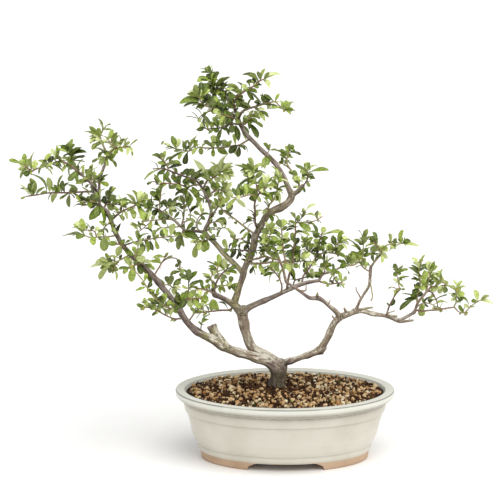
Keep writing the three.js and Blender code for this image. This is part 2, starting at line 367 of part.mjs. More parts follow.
   "leaves": [[-162, 322, -163, 311, 10], [-154, 322, -149, 312, 5], [-158, 322, -150, 327, 4],
    [-167, 322, -174, 316, 3]]},
  {"name": "spray_upper_hang", "fill": 2, "twigs": [
    ["limb_upper_left", 1.3, 0.8, [[-134, 319, 40], [-139, 315, 33], [-143, 310, 29]]]],
   "leaves": [[-139, 315, -149, 304, 7], [-142, 311, -144, 292, 8], [-137, 316, -117, 306, 10],
    [-138, 316, -151, 314, 4], [-138, 316, -130, 308, 6]]},
  {"name": "spray_upper_drop", "fill": 2, "twigs": [
    ["limb_upper", 1.3, 0.8, [[-101, 307, 27], [-107, 305, 18], [-113, 304, 12], [-120, 303, 8]]]],
   "leaves": [[-118, 303, -122, 281, 8], [-104, 306, -111, 289, 10], [-110, 305, -108, 297, 8],
    [-108, 305, -115, 313, 5], [-102, 306, -95, 314, 6]]},
  {"name": "spray_upper_fork", "fill": 3, "twigs": [
    ["limb_upper_left", 1.0, 0.7, [[-115, 317.5, 34], [-120, 325, 26], [-118, 334, 20],
      [-113, 341, 16]]]],
   "leaves": [[-119, 324, -127, 319, 5], [-120, 328, -134, 333, 5], [-114, 340, -123, 345, 5],
    [-113, 341, -110, 349, 5], [-114, 339, -108, 333, 5], [-119, 331, -112, 327, 4]]},
  {"name": "spray_upper_post", "fill": 4, "twigs": [
    ["limb_upper_left", 1.3, 0.8, [[-140, 323.5, 42], [-137, 336, 47], [-136, 349, 52], [-137, 360, 56],
      [-137, 370, 59]]],
    [0, 1.0, 0.7, [[-138, 329, 44], [-129, 334, 52], [-128, 344, 58], [-131, 352, 62],
      [-134, 360, 65]]]],
   "leaves": [[-130, 350, -127, 366, 11], [-136, 352, -140, 367, 6], [-137, 356, -145, 364, 5],
    [-131, 352, -142, 350, 5], [-129, 347, -121, 349, 4], [-134, 359, -131, 368, 4],
    [-137, 368, -133, 376, 5]]},
  {"name": "spray_upper_brown", "fill": 7, "twigs": [
    ["limb_upper_high", 1.6, 0.8, [[-113, 378, 45], [-119, 386, 36], [-126, 389, 31], [-135, 392, 26],
      [-145.5, 396, 21], [-157.5, 400.5, 16], [-167, 402.5, 12], [-177, 402, 8]]],
    [0, 1.0, 0.6, [[-156, 400, 16], [-159, 408, 12], [-163, 414, 9], [-168, 419, 7]]]],
   "leaves": [[-164, 415, -178, 421, 4], [-158, 405, -147, 412, 6], [-159, 409, -171, 411, 5],
    [-158, 406, -140, 411, 5], [-157, 402, -138, 408, 5], [-161, 411, -150, 419, 3],
    [-160, 401, -170, 395, 5], [-168, 402, -189, 387, 3], [-157, 400, -161, 388, 6],
    [-149, 397, -149, 386, 7], [-140, 394, -129, 402, 7], [-133, 391, -122, 402, 7],
    [-128, 390, -115, 397, 7], [-138, 393, -150, 385, 8], [-130, 390, -133, 380, 8],
    [-144, 395, -148, 404, 5], [-122, 388, -108, 394, 6], [-124, 388, -111, 402, 5],
    [-126, 389, -138, 384, 8]]},
  {"name": "spray_upper_nest", "fill": 6, "twigs": [
    ["limb_upper_high", 1.5, 0.9, [[-114, 380, 46], [-121, 381, 54], [-129, 378, 60], [-136, 372, 65]]],
    [0, 1.1, 0.7, [[-131, 377, 61], [-141, 381, 57], [-150, 382, 53], [-163, 382.5, 49],
      [-170.5, 381.5, 46], [-175, 385, 44], [-182, 384, 42]]]],
   "leaves": [[-126, 379, -117, 362, 9], [-131, 377, -142, 371, 7], [-135, 373, -147, 375, 6],
    [-142, 381, -155, 376, 6], [-136, 372, -148, 366, 4], [-135, 373, -130, 363, 6],
    [-122, 381, -129, 390, 7], [-141, 381, -147, 391, 7], [-152, 382, -160, 392, 6],
    [-163, 382, -172, 388, 4], [-158, 382, -171, 376, 5], [-118, 381, -109, 386, 5],
    [-128, 379, -137, 387, 7], [-146, 382, -139, 375, 6]]},
  {"name": "spray_light_crown", "fill": 6, "twigs": [
    ["limb_upper_high", 1.5, 0.8, [[-111, 374, 45], [-105, 386, 39], [-98, 389.5, 35], [-91, 394, 30],
      [-85, 399, 26]]]],
   "leaves": [[-105, 387, -123, 415, 8], [-102, 388, -106, 402, 9], [-98, 390, -99, 404, 9],
    [-94, 392, -95, 407, 10], [-91, 394, -88, 410, 10], [-87, 397, -83, 411, 9],
    [-86, 398, -77, 422, 6], [-85, 399, -70, 410, 5], [-89, 395, -80, 386, 8], [-86, 398, -68, 391, 6],
    [-85, 399, -71, 401, 5], [-96, 390, -87, 385, 7], [-100, 389, -101, 382, 6],
    [-92, 394, -102, 412, 3], [-104, 388, -112, 397, 6]]},
  {"name": "spray_light_low", "fill": 4, "twigs": [
    ["limb_upper_high", 1.3, 0.8, [[-106, 364, 42], [-97, 371, 50], [-88, 374, 56], [-80, 370, 61]]]],
   "leaves": [[-92, 373, -101, 379, 4], [-89, 374, -93, 385, 6], [-86, 373, -79, 384, 6],
    [-83, 372, -72, 382, 6], [-88, 374, -96, 365, 5], [-84, 372, -90, 360, 6], [-80, 370, -70, 373, 5],
    [-81, 370, -74, 361, 6], [-84, 372, -84, 383, 5]]},
  {"name": "spray_upper_side", "fill": 3, "twigs": [
    ["limb_upper_high", 1.6, 1.0, [[-101.5, 336, 36], [-98, 341, 28], [-93.5, 347, 23],
      [-90, 352.5, 20]]]],
   "leaves": [[-91, 351, -99, 358, 5], [-91, 351, -96, 363, 5], [-90, 352, -97, 348, 3]]},
  {"name": "spray_upper_ring", "fill": 2, "twigs": [
    ["limb_upper_high", 1.2, 0.8, [[-103, 358, 41], [-107, 362, 50], [-111, 362, 55]]]],
   "leaves": [[-110, 362, -120, 361, 7], [-106, 361, -97, 355, 4], [-105, 360, -105, 380, 8],
    [-108, 361, -119, 349, 5]]},
  {"name": "spray_pale_twig", "fill": 2, "twigs": [
    ["limb_upper_high", 1.0, 0.6, [[-105, 326, 34], [-98, 330, 26], [-90, 331, 20]]],
    ["limb_upper_high", 0.9, 0.6, [[-107, 319, 32], [-95, 320.5, 22], [-86, 322, 16], [-80, 324, 13]]]],
   "leaves": [[-96, 330, -80, 334, 7], [-97, 330, -93, 323, 5], [-90, 331, -79, 327, 4],
    [-86, 322, -92, 309, 3], [-84, 322, -70, 313, 3]]},
  {"name": "spray_leader_heart", "fill": 6, "twigs": [
    ["limb_leader", 1.6, 1.1, [[-42, 320, -8], [-42, 333, -20], [-41, 342, -26], [-42, 353.5, -32],
      [-39, 364, -36], [-34, 371, -40], [-28, 378, -44]]],
    [0, 1.1, 0.7, [[-38, 366, -36], [-49, 367, -44], [-60, 364, -52], [-72, 363.5, -59]]],
    [0, 1.0, 0.7, [[-36, 370, -38], [-40, 382, -32], [-43, 392, -27], [-45, 402, -23]]]],
   "leaves": [[-41, 357, -47, 366, 7], [-37, 367, -34, 357, 5], [-38, 368, -50, 377, 8],
    [-36, 369, -18, 361, 6], [-40, 381, -51, 387, 6], [-42, 388, -52, 399, 6], [-44, 397, -51, 411, 6],
    [-43, 395, -38, 405, 6], [-41, 388, -32, 398, 7], [-39, 382, -27, 392, 7], [-45, 400, -44, 409, 4],
    [-44, 399, -38, 408, 4], [-34, 371, -24, 381, 7], [-37, 372, -31, 388, 7], [-44, 396, -60, 397, 3],
    [-45, 399, -69, 408, 3], [-43, 391, -65, 376, 3], [-70, 363, -54, 350, 5], [-71, 364, -77, 372, 5],
    [-66, 364, -62, 374, 4], [-60, 364, -56, 376, 4], [-41, 380, -35, 373, 5]]},
  {"name": "spray_leader_right", "fill": 4, "twigs": [
    ["limb_leader", 1.4, 0.8, [[-24, 341, -10], [-23, 352, -18], [-17, 360, -24], [-12.3, 371.5, -30],
      [-11, 380, -34], [-9, 390, -38]]]],
   "leaves": [[-12, 371, -24, 366, 6], [-12, 374, -22, 382, 5], [-11, 379, -20, 388, 5],
    [-12, 374, -4, 373, 4], [-10, 386, -14, 396, 5], [-10, 388, -20, 406, 3], [-10, 383, -3, 389, 4],
    [-9, 390, -7, 398, 4], [-12, 376, -30, 377, 5], [-13, 370, -28, 362, 5], [-17, 361, -29, 370, 5],
    [-11, 380, -24, 378, 5], [-10, 389, -18, 391, 5]]},
  {"name": "spray_leader_single", "fill": 0, "twigs": [["limb_leader", 0.9, 0.6, [[-8, 351, -12],
      [-8, 356, -18]]]],
   "leaves": [[-8, 355, -11, 370, 7]]},
  {"name": "spray_leader_drop", "fill": 0, "twigs": [["limb_leader", 0.9, 0.6, [[-27, 422, 6],
      [-28, 419, -1]]]],
   "leaves": [[-28, 420, -28, 402, 7]]},
  {"name": "spray_leader_up", "fill": 0, "twigs": [["limb_leader", 0.9, 0.6, [[-26, 421, 5],
      [-22, 428, 12]]]],
   "leaves": [[-22, 427, -30, 437, 5], [-22, 427, -13, 429, 3]]},
  {"name": "spray_leader_green", "fill": 3, "twigs": [
    ["limb_leader", 1.5, 1.0, [[-42, 314, -6], [-51, 320.5, 4], [-61, 328.5, 11], [-71, 336.5, 17],
      [-77.7, 341, 21], [-84, 346, 25], [-87.5, 352, 28], [-88, 360, 31]]]],
   "leaves": [[-84, 345, -90, 341, 8], [-79, 342, -74, 356, 10], [-86, 349, -92, 357, 6],
    [-87, 354, -82, 362, 6], [-88, 356, -98, 354, 6], [-88, 358, -75, 361, 6], [-86, 350, -81, 354, 4],
    [-52, 321, -49, 306, 4], [-53, 321, -62, 314, 3], [-88, 357, -84, 366, 5]]},
  {"name": "spray_leader_left", "fill": 0, "twigs": [
    ["limb_leader", 1.0, 0.7, [[-43, 300, -4], [-52, 303, 5], [-60, 307, 10], [-68, 307, 14]]]],
   "leaves": [[-67, 307, -71, 295, 7], [-52, 303, -63, 299, 3], [-60, 307, -54, 310, 3]]},
  {"name": "spray_leader_dark", "fill": 0, "twigs": [
    ["limb_leader", 1.2, 0.7, [[-46, 292, -2], [-59, 291.5, 9], [-68, 293, 14], [-78, 292, 18]]]],
   "leaves": [[-66, 292, -74, 281, 6], [-64, 292, -60, 283, 5], [-60, 291.5, -66, 279, 4]]},
  {"name": "spray_leader_long", "fill": 5, "twigs": [
    ["limb_leader", 1.3, 0.8, [[-48, 442, 12], [-62, 434, 21], [-70, 433, 27], [-80, 431, 33],
      [-92, 430, 39], [-108, 430, 46], [-115, 431, 50], [-122, 428, 54], [-130, 426, 58],
      [-140, 428, 62], [-150, 430, 66], [-162, 436, 70]]]],
   "leaves": [[-64, 434, -76, 423, 9], [-92, 430, -77, 422, 9], [-76, 431, -64, 417, 5],
    [-64, 434, -54, 427, 3], [-82, 431, -72, 440, 6], [-84, 431, -80, 441, 8], [-92, 430, -89, 443, 6],
    [-96, 430, -97, 447, 9], [-97, 430, -109, 440, 6], [-96, 430, -97, 418, 6], [-91, 430, -88, 453, 5],
    [-114, 431, -112, 421, 7], [-116, 430, -127, 441, 6], [-112, 431, -105, 436, 3],
    [-121, 428, -117, 441, 5], [-128, 426, -130, 441, 3], [-128, 427, -118, 447, 4],
    [-136, 427, -131, 441, 5], [-146, 429, -151, 447, 8], [-146, 429, -142, 443, 7],
    [-150, 430, -164, 437, 3], [-130, 426, -156, 412, 3], [-128, 426, -142, 414, 3],
    [-138, 427, -149, 425, 3], [-134, 427, -127, 434, 4]]},
  {"name": "spray_center_low", "fill": 8, "twigs": [
    ["limb_leader", 1.7, 1.2, [[-51, 273, 2], [-34.5, 273.5, -14], [-21, 275, -22], [-10, 275, -29],
      [6.5, 275, -37]]],
    ["limb_leader", 1.6, 1.0, [[-49, 277, 1], [-36.7, 280.5, -14], [-28, 283, -20], [-19, 280.5, -25],
      [-8, 277.5, -30]]],
    [1, 1.1, 0.7, [[-36, 281, -14], [-30, 288, -22], [-25, 297, -28], [-22, 308, -33],
      [-20, 320, -37]]],
    [0, 1.3, 0.8, [[0, 275, -33], [-2, 285, -34], [-4, 298, -34], [-5, 312, -33], [-6, 324, -32]]],
    [0, 1.1, 0.7, [[4, 275, -36], [14, 276, -42], [24, 277, -46], [36, 276, -50]]]],
   "leaves": [[-24, 300, -24, 287, 9], [-23, 306, -33, 302, 8], [-22, 308, -33, 312, 8],
    [-21, 313, -32, 320, 8], [-21, 316, -26, 327, 7], [-20, 319, -19, 331, 6], [-21, 314, -11, 318, 7],
    [-21, 311, -10, 307, 7], [-23, 303, -13, 299, 7], [-24, 298, -33, 293, 7], [-20, 318, -14, 329, 4],
    [-12, 278, -20, 291, 6], [-10, 279, -14, 291, 5], [-6, 322, -10, 334, 8], [-6, 322, -2, 334, 9],
    [-6, 318, 2, 324, 5], [-5, 312, -14, 316, 6], [-5, 310, 4, 316, 6], [-4, 304, -13, 303, 7],
    [-4, 302, 6, 307, 7], [-4, 298, -12, 293, 6], [-3, 294, 6, 298, 6], [-3, 290, -10, 287, 5],
    [-2, 286, 6, 290, 5], [-10, 275, -22, 269, 5], [-8, 275, -14, 264, 6], [0, 275, 6, 262, 6],
    [4, 275, 10, 266, 7], [2, 275, -3, 264, 6], [24, 277, 20, 284, 5], [36, 276, 43, 271, 4],
    [14, 276, 18, 282, 6]]},
  {"name": "spray_center_post", "fill": 6, "twigs": [
    ["limb_right_up", 1.8, 0.8, [[2, 236, 19], [3, 248, 14], [5, 258, 10], [8, 270, 6], [10, 283, 4],
      [11.5, 300, 2], [12.5, 312, 1], [13, 323, 0], [13, 335, -1]]],
    [0, 0.9, 0.6, [[13, 328, 0], [20.5, 335.5, -6], [25, 340, -9], [26, 346, -11]]],
    [0, 0.8, 0.6, [[13, 329, 0], [24, 330, 7], [33, 330, 11], [42, 333.5, 14], [49, 338, 17]]]],
   "leaves": [[14, 334, 5, 344, 5], [25, 343, 22, 350, 4], [25, 340, 41, 338, 3], [42, 333, 42, 346, 5],
    [16, 330, 33, 317, 9], [14, 331, 18, 340, 5], [13, 330, 3, 331, 3], [13, 322, 2, 323, 3],
    [13, 320, 0, 318, 3], [30, 330, 40, 324, 3], [13, 317, 32, 311, 4], [12, 306, 8, 316, 6],
    [12, 297, 17, 309, 6], [11, 290, 20, 297, 6], [10, 284, 20, 291, 8], [10, 282, 3, 292, 6],
    [9, 279, 18, 279, 6], [8, 270, 18, 270, 6], [13, 314, 22, 318, 4], [20, 335, 28, 344, 3]]},
  {"name": "spray_center_right", "fill": 7, "twigs": [
    ["limb_right_up", 1.5, 0.9, [[22, 245, 24], [24, 256, 33], [31, 266, 38], [38, 277, 42],
      [42, 286, 45], [44, 296, 47], [46, 306, 49], [49, 316, 51]]],
    [0, 1.1, 0.7, [[42, 286, 45], [52, 288, 40], [60, 288, 37], [69, 286, 34]]],
    [0, 1.0, 0.7, [[41, 284, 44], [34, 289, 52], [28, 294, 57], [25, 302, 60]]],
    [1, 0.9, 0.7, [[61, 288, 37], [66, 296, 32], [71, 303, 29]]]],
   "leaves": [[49, 314, 52, 324, 8], [48, 312, 79, 314, 4], [47, 310, 36, 314, 7],
    [46, 307, 57, 309, 7], [46, 306, 37, 304, 7], [46, 303, 55, 299, 7], [45, 298, 36, 297, 6],
    [44, 296, 53, 294, 6], [43, 290, 36, 294, 6], [46, 287, 45, 279, 9], [26, 301, 28, 310, 6],
    [25, 302, 21, 311, 5], [26, 298, 34, 302, 6], [27, 296, 20, 299, 5], [30, 293, 38, 301, 6],
    [33, 290, 25, 287, 5], [26, 303, 36, 310, 6], [67, 298, 62, 312, 8], [70, 302, 74, 313, 7],
    [69, 300, 78, 308, 6], [64, 293, 56, 298, 7], [62, 290, 54, 294, 6], [63, 291, 71, 294, 5],
    [60, 288, 52, 300, 6], [66, 287, 74, 291, 4], [68, 286, 80, 284, 3]]},
  {"name": "spray_right_up_end", "fill": 6, "twigs": [
    ["limb_right_up", 1.8, 0.9, [[45, 249.8, 30], [50, 258, 36], [58, 261, 40], [66, 264, 44],
      [74, 268, 48], [82, 270, 52], [92, 271.5, 57], [98, 276, 60], [102, 283, 62], [105, 290, 64]]],
    [0, 1.0, 0.7, [[51, 258.5, 36], [53, 266, 31], [54, 271, 28]]]],
   "leaves": [[50, 258, 40, 262, 6], [49, 256, 40, 257, 7], [50, 258, 46, 268, 6],
    [53, 268, 47, 274, 6], [53, 269, 52, 278, 6], [54, 269, 61, 274, 5], [53, 267, 66, 270, 3],
    [53, 266, 46, 267, 5], [54, 267, 59, 263, 5], [59, 262, 68, 265, 7], [66, 264, 62, 257, 6],
    [72, 267, 82, 273, 8], [82, 271, 76, 279, 5], [84, 271, 80, 281, 5], [84, 271, 69, 278, 4],
    [87, 271, 82, 285, 6], [90, 272, 86, 283, 6], [88, 272, 93, 281, 7], [94, 273, 90, 285, 6],
    [98, 277, 88, 291, 7], [97, 276, 84, 287, 6], [99, 278, 103, 286, 6], [103, 286, 80, 308, 4],
    [102, 284, 87, 299, 3], [100, 280, 96, 290, 4], [98, 275, 106, 273, 6]]},
  {"name": "spray_right_up_low", "fill": 3, "twigs": [
    ["limb_right_up", 1.3, 0.8, [[43, 249.6, 29], [54, 246, 20], [60, 245, 16], [68, 246, 12],
      [76, 247, 9]]],
    [0, 0.9, 0.6, [[64, 245.5, 14], [65, 253, 9], [66, 260, 6]]]],
   "leaves": [[76, 247, 82, 256, 5], [76, 247, 72, 262, 5], [70, 246, 68, 256, 5],
    [60, 245, 55, 242, 4], [72, 247, 70, 241, 4], [66, 246, 60, 250, 4], [65, 253, 73, 251, 4],
    [66, 258, 60, 259, 5], [66, 260, 73, 262, 5], [76, 247, 80, 243, 4]]},
  {"name": "spray_right_up_base", "fill": 3, "twigs": [
    ["limb_right_up", 1.2, 0.7, [[-6, 232, 17], [-5, 242, 8], [-8, 252, 3], [-12, 258, 0],
      [-17, 264, -3], [-21, 269, -5]]]],
   "leaves": [[-19, 266, -9, 271, 6], [-18, 265, -8, 265, 7], [-20, 268, -14, 273, 5],
    [-8, 251, -13, 249, 3]]},
  {"name": "spray_right_up_shelf", "fill": 3, "twigs": [
    ["limb_right_up", 1.2, 0.7, [[10, 240, 21], [12, 249, 30], [18, 252, 34], [26, 254, 38],
      [34, 255, 42]]]],
   "leaves": [[16, 252, 20, 249, 5], [33, 255, 27, 261, 4], [34, 255, 41, 262, 6],
    [33, 255, 36, 267, 6], [34, 255, 46, 258, 6], [14, 251, 8, 262, 5], [13, 250, 2, 270, 5]]},
  {"name": "spray_pale_right", "fill": 5, "twigs": [
    ["limb_pale", 1.6, 0.9, [[114.5, 268, -20], [119, 275, -25], [124, 281, -28], [128, 286, -30],
      [130, 291, -32]]],
    [0, 1.0, 0.7, [[129, 289, -31], [126, 295, -37], [121, 300, -42], [118, 304, -45]]],
    [0, 1.1, 0.7, [[130, 290, -32], [133, 297, -27], [141, 300.5, -22], [148, 302.5, -18],
      [156, 301, -15]]]],
   "leaves": [[119, 302, 114, 311, 8], [121, 300, 118, 317, 5], [122, 298, 113, 304, 6],
    [121, 299, 114, 291, 7], [124, 296, 116, 289, 6], [130, 290, 136, 297, 7], [130, 290, 123, 294, 6],
    [131, 289, 137, 280, 6], [130, 290, 138, 293, 6], [130, 291, 131, 299, 6], [141, 300, 139, 315, 5],
    [140, 300, 145, 294, 4], [142, 301, 137, 305, 3], [148, 302, 146, 308, 5], [155, 301, 154, 311, 7],
    [156, 301, 157, 320, 6], [156, 301, 168, 304, 8], [156, 300, 179, 297, 5], [128, 287, 110, 286, 3],
    [150, 302, 142, 304, 4]]},
  {"name": "spray_pale_left", "fill": 4, "twigs": [
    ["limb_pale", 1.0, 0.7, [[114, 262, -20], [107, 266, -12], [102, 271, -7], [101, 277, -4]]],
    [0, 0.9, 0.6, [[101, 275, -5], [104, 284, -1], [104, 295, 2], [105, 306, 4]]]],
   "leaves": [[105, 306, 109, 321, 7], [104, 304, 97, 319, 2], [105, 304, 114, 311, 3],
    [104, 299, 98, 304, 6], [104, 290, 111, 292, 7], [104, 287, 109, 283, 6], [104, 285, 99, 280, 6],
    [104, 284, 113, 286, 6], [103, 281, 108, 277, 6], [101, 276, 106, 271, 6], [104, 292, 98, 286, 6],
    [108, 266, 110, 276, 4]]},
  {"name": "spray_right_thin", "fill": 2, "twigs": [
    ["limb_right_far", 1.3, 0.7, [[137, 200, 2], [140, 212, -8], [143, 219, -12], [147, 227, -16],
      [151, 233, -19], [156, 238, -22]]],
    [0, 0.9, 0.6, [[155, 237, -21], [152, 247, -16], [151, 255, -12], [150, 260, -10]]],
    [0, 0.8, 0.6, [[151, 233, -19], [149, 239, -25], [143, 241, -29]]]],
   "leaves": [[141, 214, 148, 224, 6], [151, 260, 145, 257, 7], [151, 259, 156, 260, 4],
    [152, 253, 154, 246, 4], [152, 247, 159, 240, 3], [152, 248, 145, 252, 4], [143, 241, 139, 239, 2],
    [156, 238, 162, 238, 3], [151, 234, 146, 236, 3], [152, 250, 160, 250, 2]]},
  {"name": "spray_right_high", "fill": 5, "twigs": [
    ["limb_right_tip", 1.4, 0.8, [[179, 217, 23], [178, 228, 14], [180, 238, 9], [182, 248, 5],
      [180, 258, 1], [180, 268, -2], [182, 276, -4]]]],
   "leaves": [[180, 266, 170, 282, 6], [182, 274, 187, 286, 3], [180, 257, 165, 268, 5],
    [181, 250, 169, 252, 4], [180, 260, 169, 271, 2], [181, 252, 171, 259, 2], [182, 247, 176, 244, 5],
    [182, 246, 190, 252, 7], [182, 252, 192, 261, 9], [180, 262, 187, 269, 4], [181, 268, 190, 273, 3],
    [181, 244, 174, 240, 6], [180, 238, 171, 233, 7], [179, 231, 169, 229, 7], [178, 226, 161, 223, 4],
    [178, 225, 155, 208, 6], [178, 227, 185, 234, 7], [179, 222, 174, 229, 6],
    [181, 240, 188, 238, 6]]},
  {"name": "spray_right_bright", "fill": 4, "twigs": [
    ["limb_right_tip", 1.3, 0.8, [[190, 233, 26], [192, 244, 34], [194, 254, 39], [195, 262, 43]]]],
   "leaves": [[195, 259, 192, 277, 8], [195, 260, 202, 271, 8], [194, 256, 185, 262, 8],
    [194, 254, 204, 258, 7], [195, 257, 210, 258, 7], [193, 250, 185, 248, 7], [193, 248, 184, 243, 7],
    [192, 245, 186, 238, 6], [193, 249, 201, 246, 6], [195, 262, 187, 270, 6]]},
  {"name": "spray_right_brown", "fill": 4, "twigs": [
    ["limb_right_tip", 1.2, 0.7, [[197, 242, 28], [205, 241, 20], [212, 243, 15], [217, 244, 12]]],
    [0, 0.9, 0.6, [[201, 241.5, 24], [206, 247, 19], [210, 251, 16]]]],
   "leaves": [[207, 248, 212, 255, 7], [206, 247, 200, 253, 7], [210, 251, 215, 246, 5],
    [205, 241, 196, 236, 6], [212, 243, 205, 238, 5], [213, 243, 207, 232, 7], [216, 244, 215, 232, 6],
    [217, 244, 219, 248, 4], [215, 243, 227, 238, 2], [205, 241, 199, 234, 5]]},
  {"name": "spray_right_arcs", "fill": 2, "twigs": [
    ["limb_right_tip", 1.2, 0.7, [[193, 237, 27], [199, 232, 36], [203, 225, 42], [206, 217, 46],
      [206, 211, 48]]]],
   "leaves": [[204, 223, 195, 221, 3], [205, 221, 213, 222, 4], [206, 214, 199, 210, 3],
    [206, 214, 213, 208, 4], [204, 225, 219, 230, 2], [201, 229, 193, 226, 4]]},
  {"name": "spray_right_lower", "fill": 2, "twigs": [
    ["limb_right_tip", 1.1, 0.7, [[178, 213, 21], [186, 218, 29], [195, 218, 33], [203, 214, 36],
      [210, 209, 39]]]],
   "leaves": [[182, 216, 186, 200, 10], [183, 216, 189, 211, 6], [188, 218, 194, 213, 3],
    [190, 218, 186, 225, 4], [187, 218, 195, 227, 3], [208, 211, 200, 208, 3]]},
  {"name": "spray_far_right", "fill": 4, "twigs": [
    ["limb_right_tip", 1.3, 0.8, [[176, 209, 20], [186, 207.5, 9], [197, 208.5, 2], [208, 209, -4],
      [216, 211, -8], [224, 212, -12], [229, 212.5, -14], [233, 208, -16], [238, 205, -18],
      [244, 204.5, -21]]],
    [0, 1.1, 0.7, [[228, 212.5, -14], [231, 220, -19], [231, 229, -23], [232, 236, -26]]],
    [0, 0.9, 0.6, [[243, 204.5, -21], [247, 209, -25], [254, 216, -29], [263, 222, -33],
      [270, 226, -36]]]],
   "leaves": [[232, 236, 226, 252, 3], [232, 236, 238, 250, 4], [232, 235, 244, 242, 3],
    [232, 235, 224, 244, 3], [232, 233, 222, 240, 2], [232, 231, 243, 231, 8], [231, 228, 241, 224, 7],
    [232, 232, 236, 241, 6], [231, 228, 224, 231, 6], [231, 224, 224, 223, 5], [231, 221, 238, 220, 3],
    [242, 205, 235, 216, 5], [249, 211, 242, 217, 5], [231, 227, 249, 216, 3], [258, 219, 252, 223, 6],
    [260, 220, 256, 237, 7], [264, 222, 276, 229, 5], [250, 212, 258, 213, 2],
    [243, 204.5, 244, 200, 2], [238, 205, 236, 202, 2]]},
  {"name": "spray_stub_top", "fill": 4, "twigs": [
    ["limb_stub_right", 1.1, 0.7, [[22, 378.5, -14], [27.5, 386, -22], [29, 392, -26],
      [28, 399, -29]]]],
   "leaves": [[28, 396, 22, 404, 6], [28, 397, 18, 399, 6], [28, 398, 12, 408, 4],
    [28, 399, 24, 410, 5], [28, 399, 31, 411, 6], [28, 399, 42, 407, 3], [29, 396, 57, 400, 4],
    [28, 394, 36, 395, 3], [28, 392, 39, 389, 4], [28, 390, 20, 390, 5], [27, 386, 32, 378, 5],
    [28, 393, 21, 396, 7]]},
  {"name": "spray_stub_left", "fill": 4, "twigs": [
    ["limb_stub_right", 1.7, 0.9, [[18, 374, -12], [17, 382, -2], [14, 390, 3], [9.7, 396, 6],
      [6.5, 400.5, 8], [1.5, 408, 11], [1, 415, 13], [3, 422, 15], [5, 430, 17]]],
    [0, 1.0, 0.7, [[4, 404, 9], [-2, 407, 14], [-6, 410, 17]]]],
   "leaves": [[17, 381, 11, 393, 9], [13, 391, 3, 397, 4], [10, 396, 3, 399, 3], [14, 390, 8, 390, 5],
    [1, 420, -20, 428, 3], [2, 421, -8, 428, 6], [3, 424, -1, 433, 5], [4, 427, 4, 436, 5],
    [5, 429, 10, 434, 6], [5, 427, 12, 426, 6], [4, 424, 20, 421, 3], [2, 419, -9, 421, 3],
    [2, 418, 9, 417, 3], [4, 425, -2, 424, 5]]},
  {"name": "spray_top_right", "fill": 4, "twigs": [
    ["limb_leader", 1.8, 0.9, [[-63, 469, 17], [-58, 478, 8], [-49, 482.5, 3], [-41.5, 484.5, 0],
      [-32.5, 487.5, -3], [-24, 489.5, -6], [-15, 491, -9], [-9.7, 486, -12], [-4, 481, -14]]]],
   "leaves": [[-29, 488, -26, 500, 7], [-28, 488, -21, 496, 5], [-31, 488, -11, 484, 3],
    [-32, 488, -48, 504, 3], [-33, 488, -43, 491, 3], [-4, 481, 4, 491, 10], [-4, 481, 9, 481, 6],
    [-6, 483, -8, 494, 3], [-4, 482, 0, 493, 4], [-4, 481, 12, 491, 2], [-4, 481, 6, 474, 3],
    [-4, 481, 12, 479, 2], [-50, 483, -66, 488, 6], [-46, 484, -60, 491, 5], [-42, 485, -36, 480, 4]]},
  {"name": "spray_top_right_low", "fill": 3, "twigs": [
    ["limb_leader", 1.3, 0.8, [[-60, 460, 16], [-54, 462, 6], [-50, 467, 1], [-46, 472, -3]]],
    [0, 0.8, 0.6, [[-47, 470.5, -2], [-41, 476, -6], [-37, 480, -9]]]],
   "leaves": [[-47, 471, -37, 476, 8], [-38, 480, -31, 471, 6], [-52, 463, -45, 470, 8],
    [-50, 466, -38, 466, 4], [-52, 463, -31, 457, 3], [-51, 464, -38, 443, 7], [-54, 462, -55, 474, 6],
    [-50, 467, -44, 480, 4]]},
  {"name": "spray_top_back", "fill": 6, "twigs": [
    ["limb_leader", 1.8, 0.9, [[-62, 465, 17], [-68, 480, 28], [-74, 487, 31], [-78.5, 495.5, 35],
      [-80.5, 503, 38], [-86, 507, 41], [-94, 509, 44], [-98, 516, 46], [-99, 526, 48],
      [-103, 534, 50]]]],
   "leaves": [[-101, 530, -107, 536, 5], [-100, 529, -113, 530, 3], [-99, 524, -96, 539, 3],
    [-98, 518, -89, 530, 6], [-98, 518, -94, 530, 5], [-98, 520, -105, 527, 7],
    [-98, 519, -116, 523, 7], [-98, 517, -118, 518, 5], [-95, 511, -79, 522, 7],
    [-93, 509, -86, 516, 7], [-90, 508, -97, 500, 6], [-82, 504, -74, 510, 6], [-92, 509, -74, 524, 4],
    [-90, 508, -67, 514, 3], [-79, 497, -86, 492, 6], [-80, 500, -72, 503, 5], [-97, 514, -108, 511, 6],
    [-99, 524, -103, 538, 4]]},
  {"name": "spray_top_left", "fill": 6, "twigs": [
    ["limb_leader", 1.6, 0.9, [[-65, 471.5, 18], [-76, 477, 7], [-87, 480.5, 2], [-98, 483.5, -3],
      [-107, 486, -7], [-112, 491, -10], [-114, 498, -13]]],
    [0, 0.9, 0.6, [[-92, 482, 0], [-99, 479, 8], [-106, 477, 12], [-112, 473, 15], [-117, 467, 18]]]],
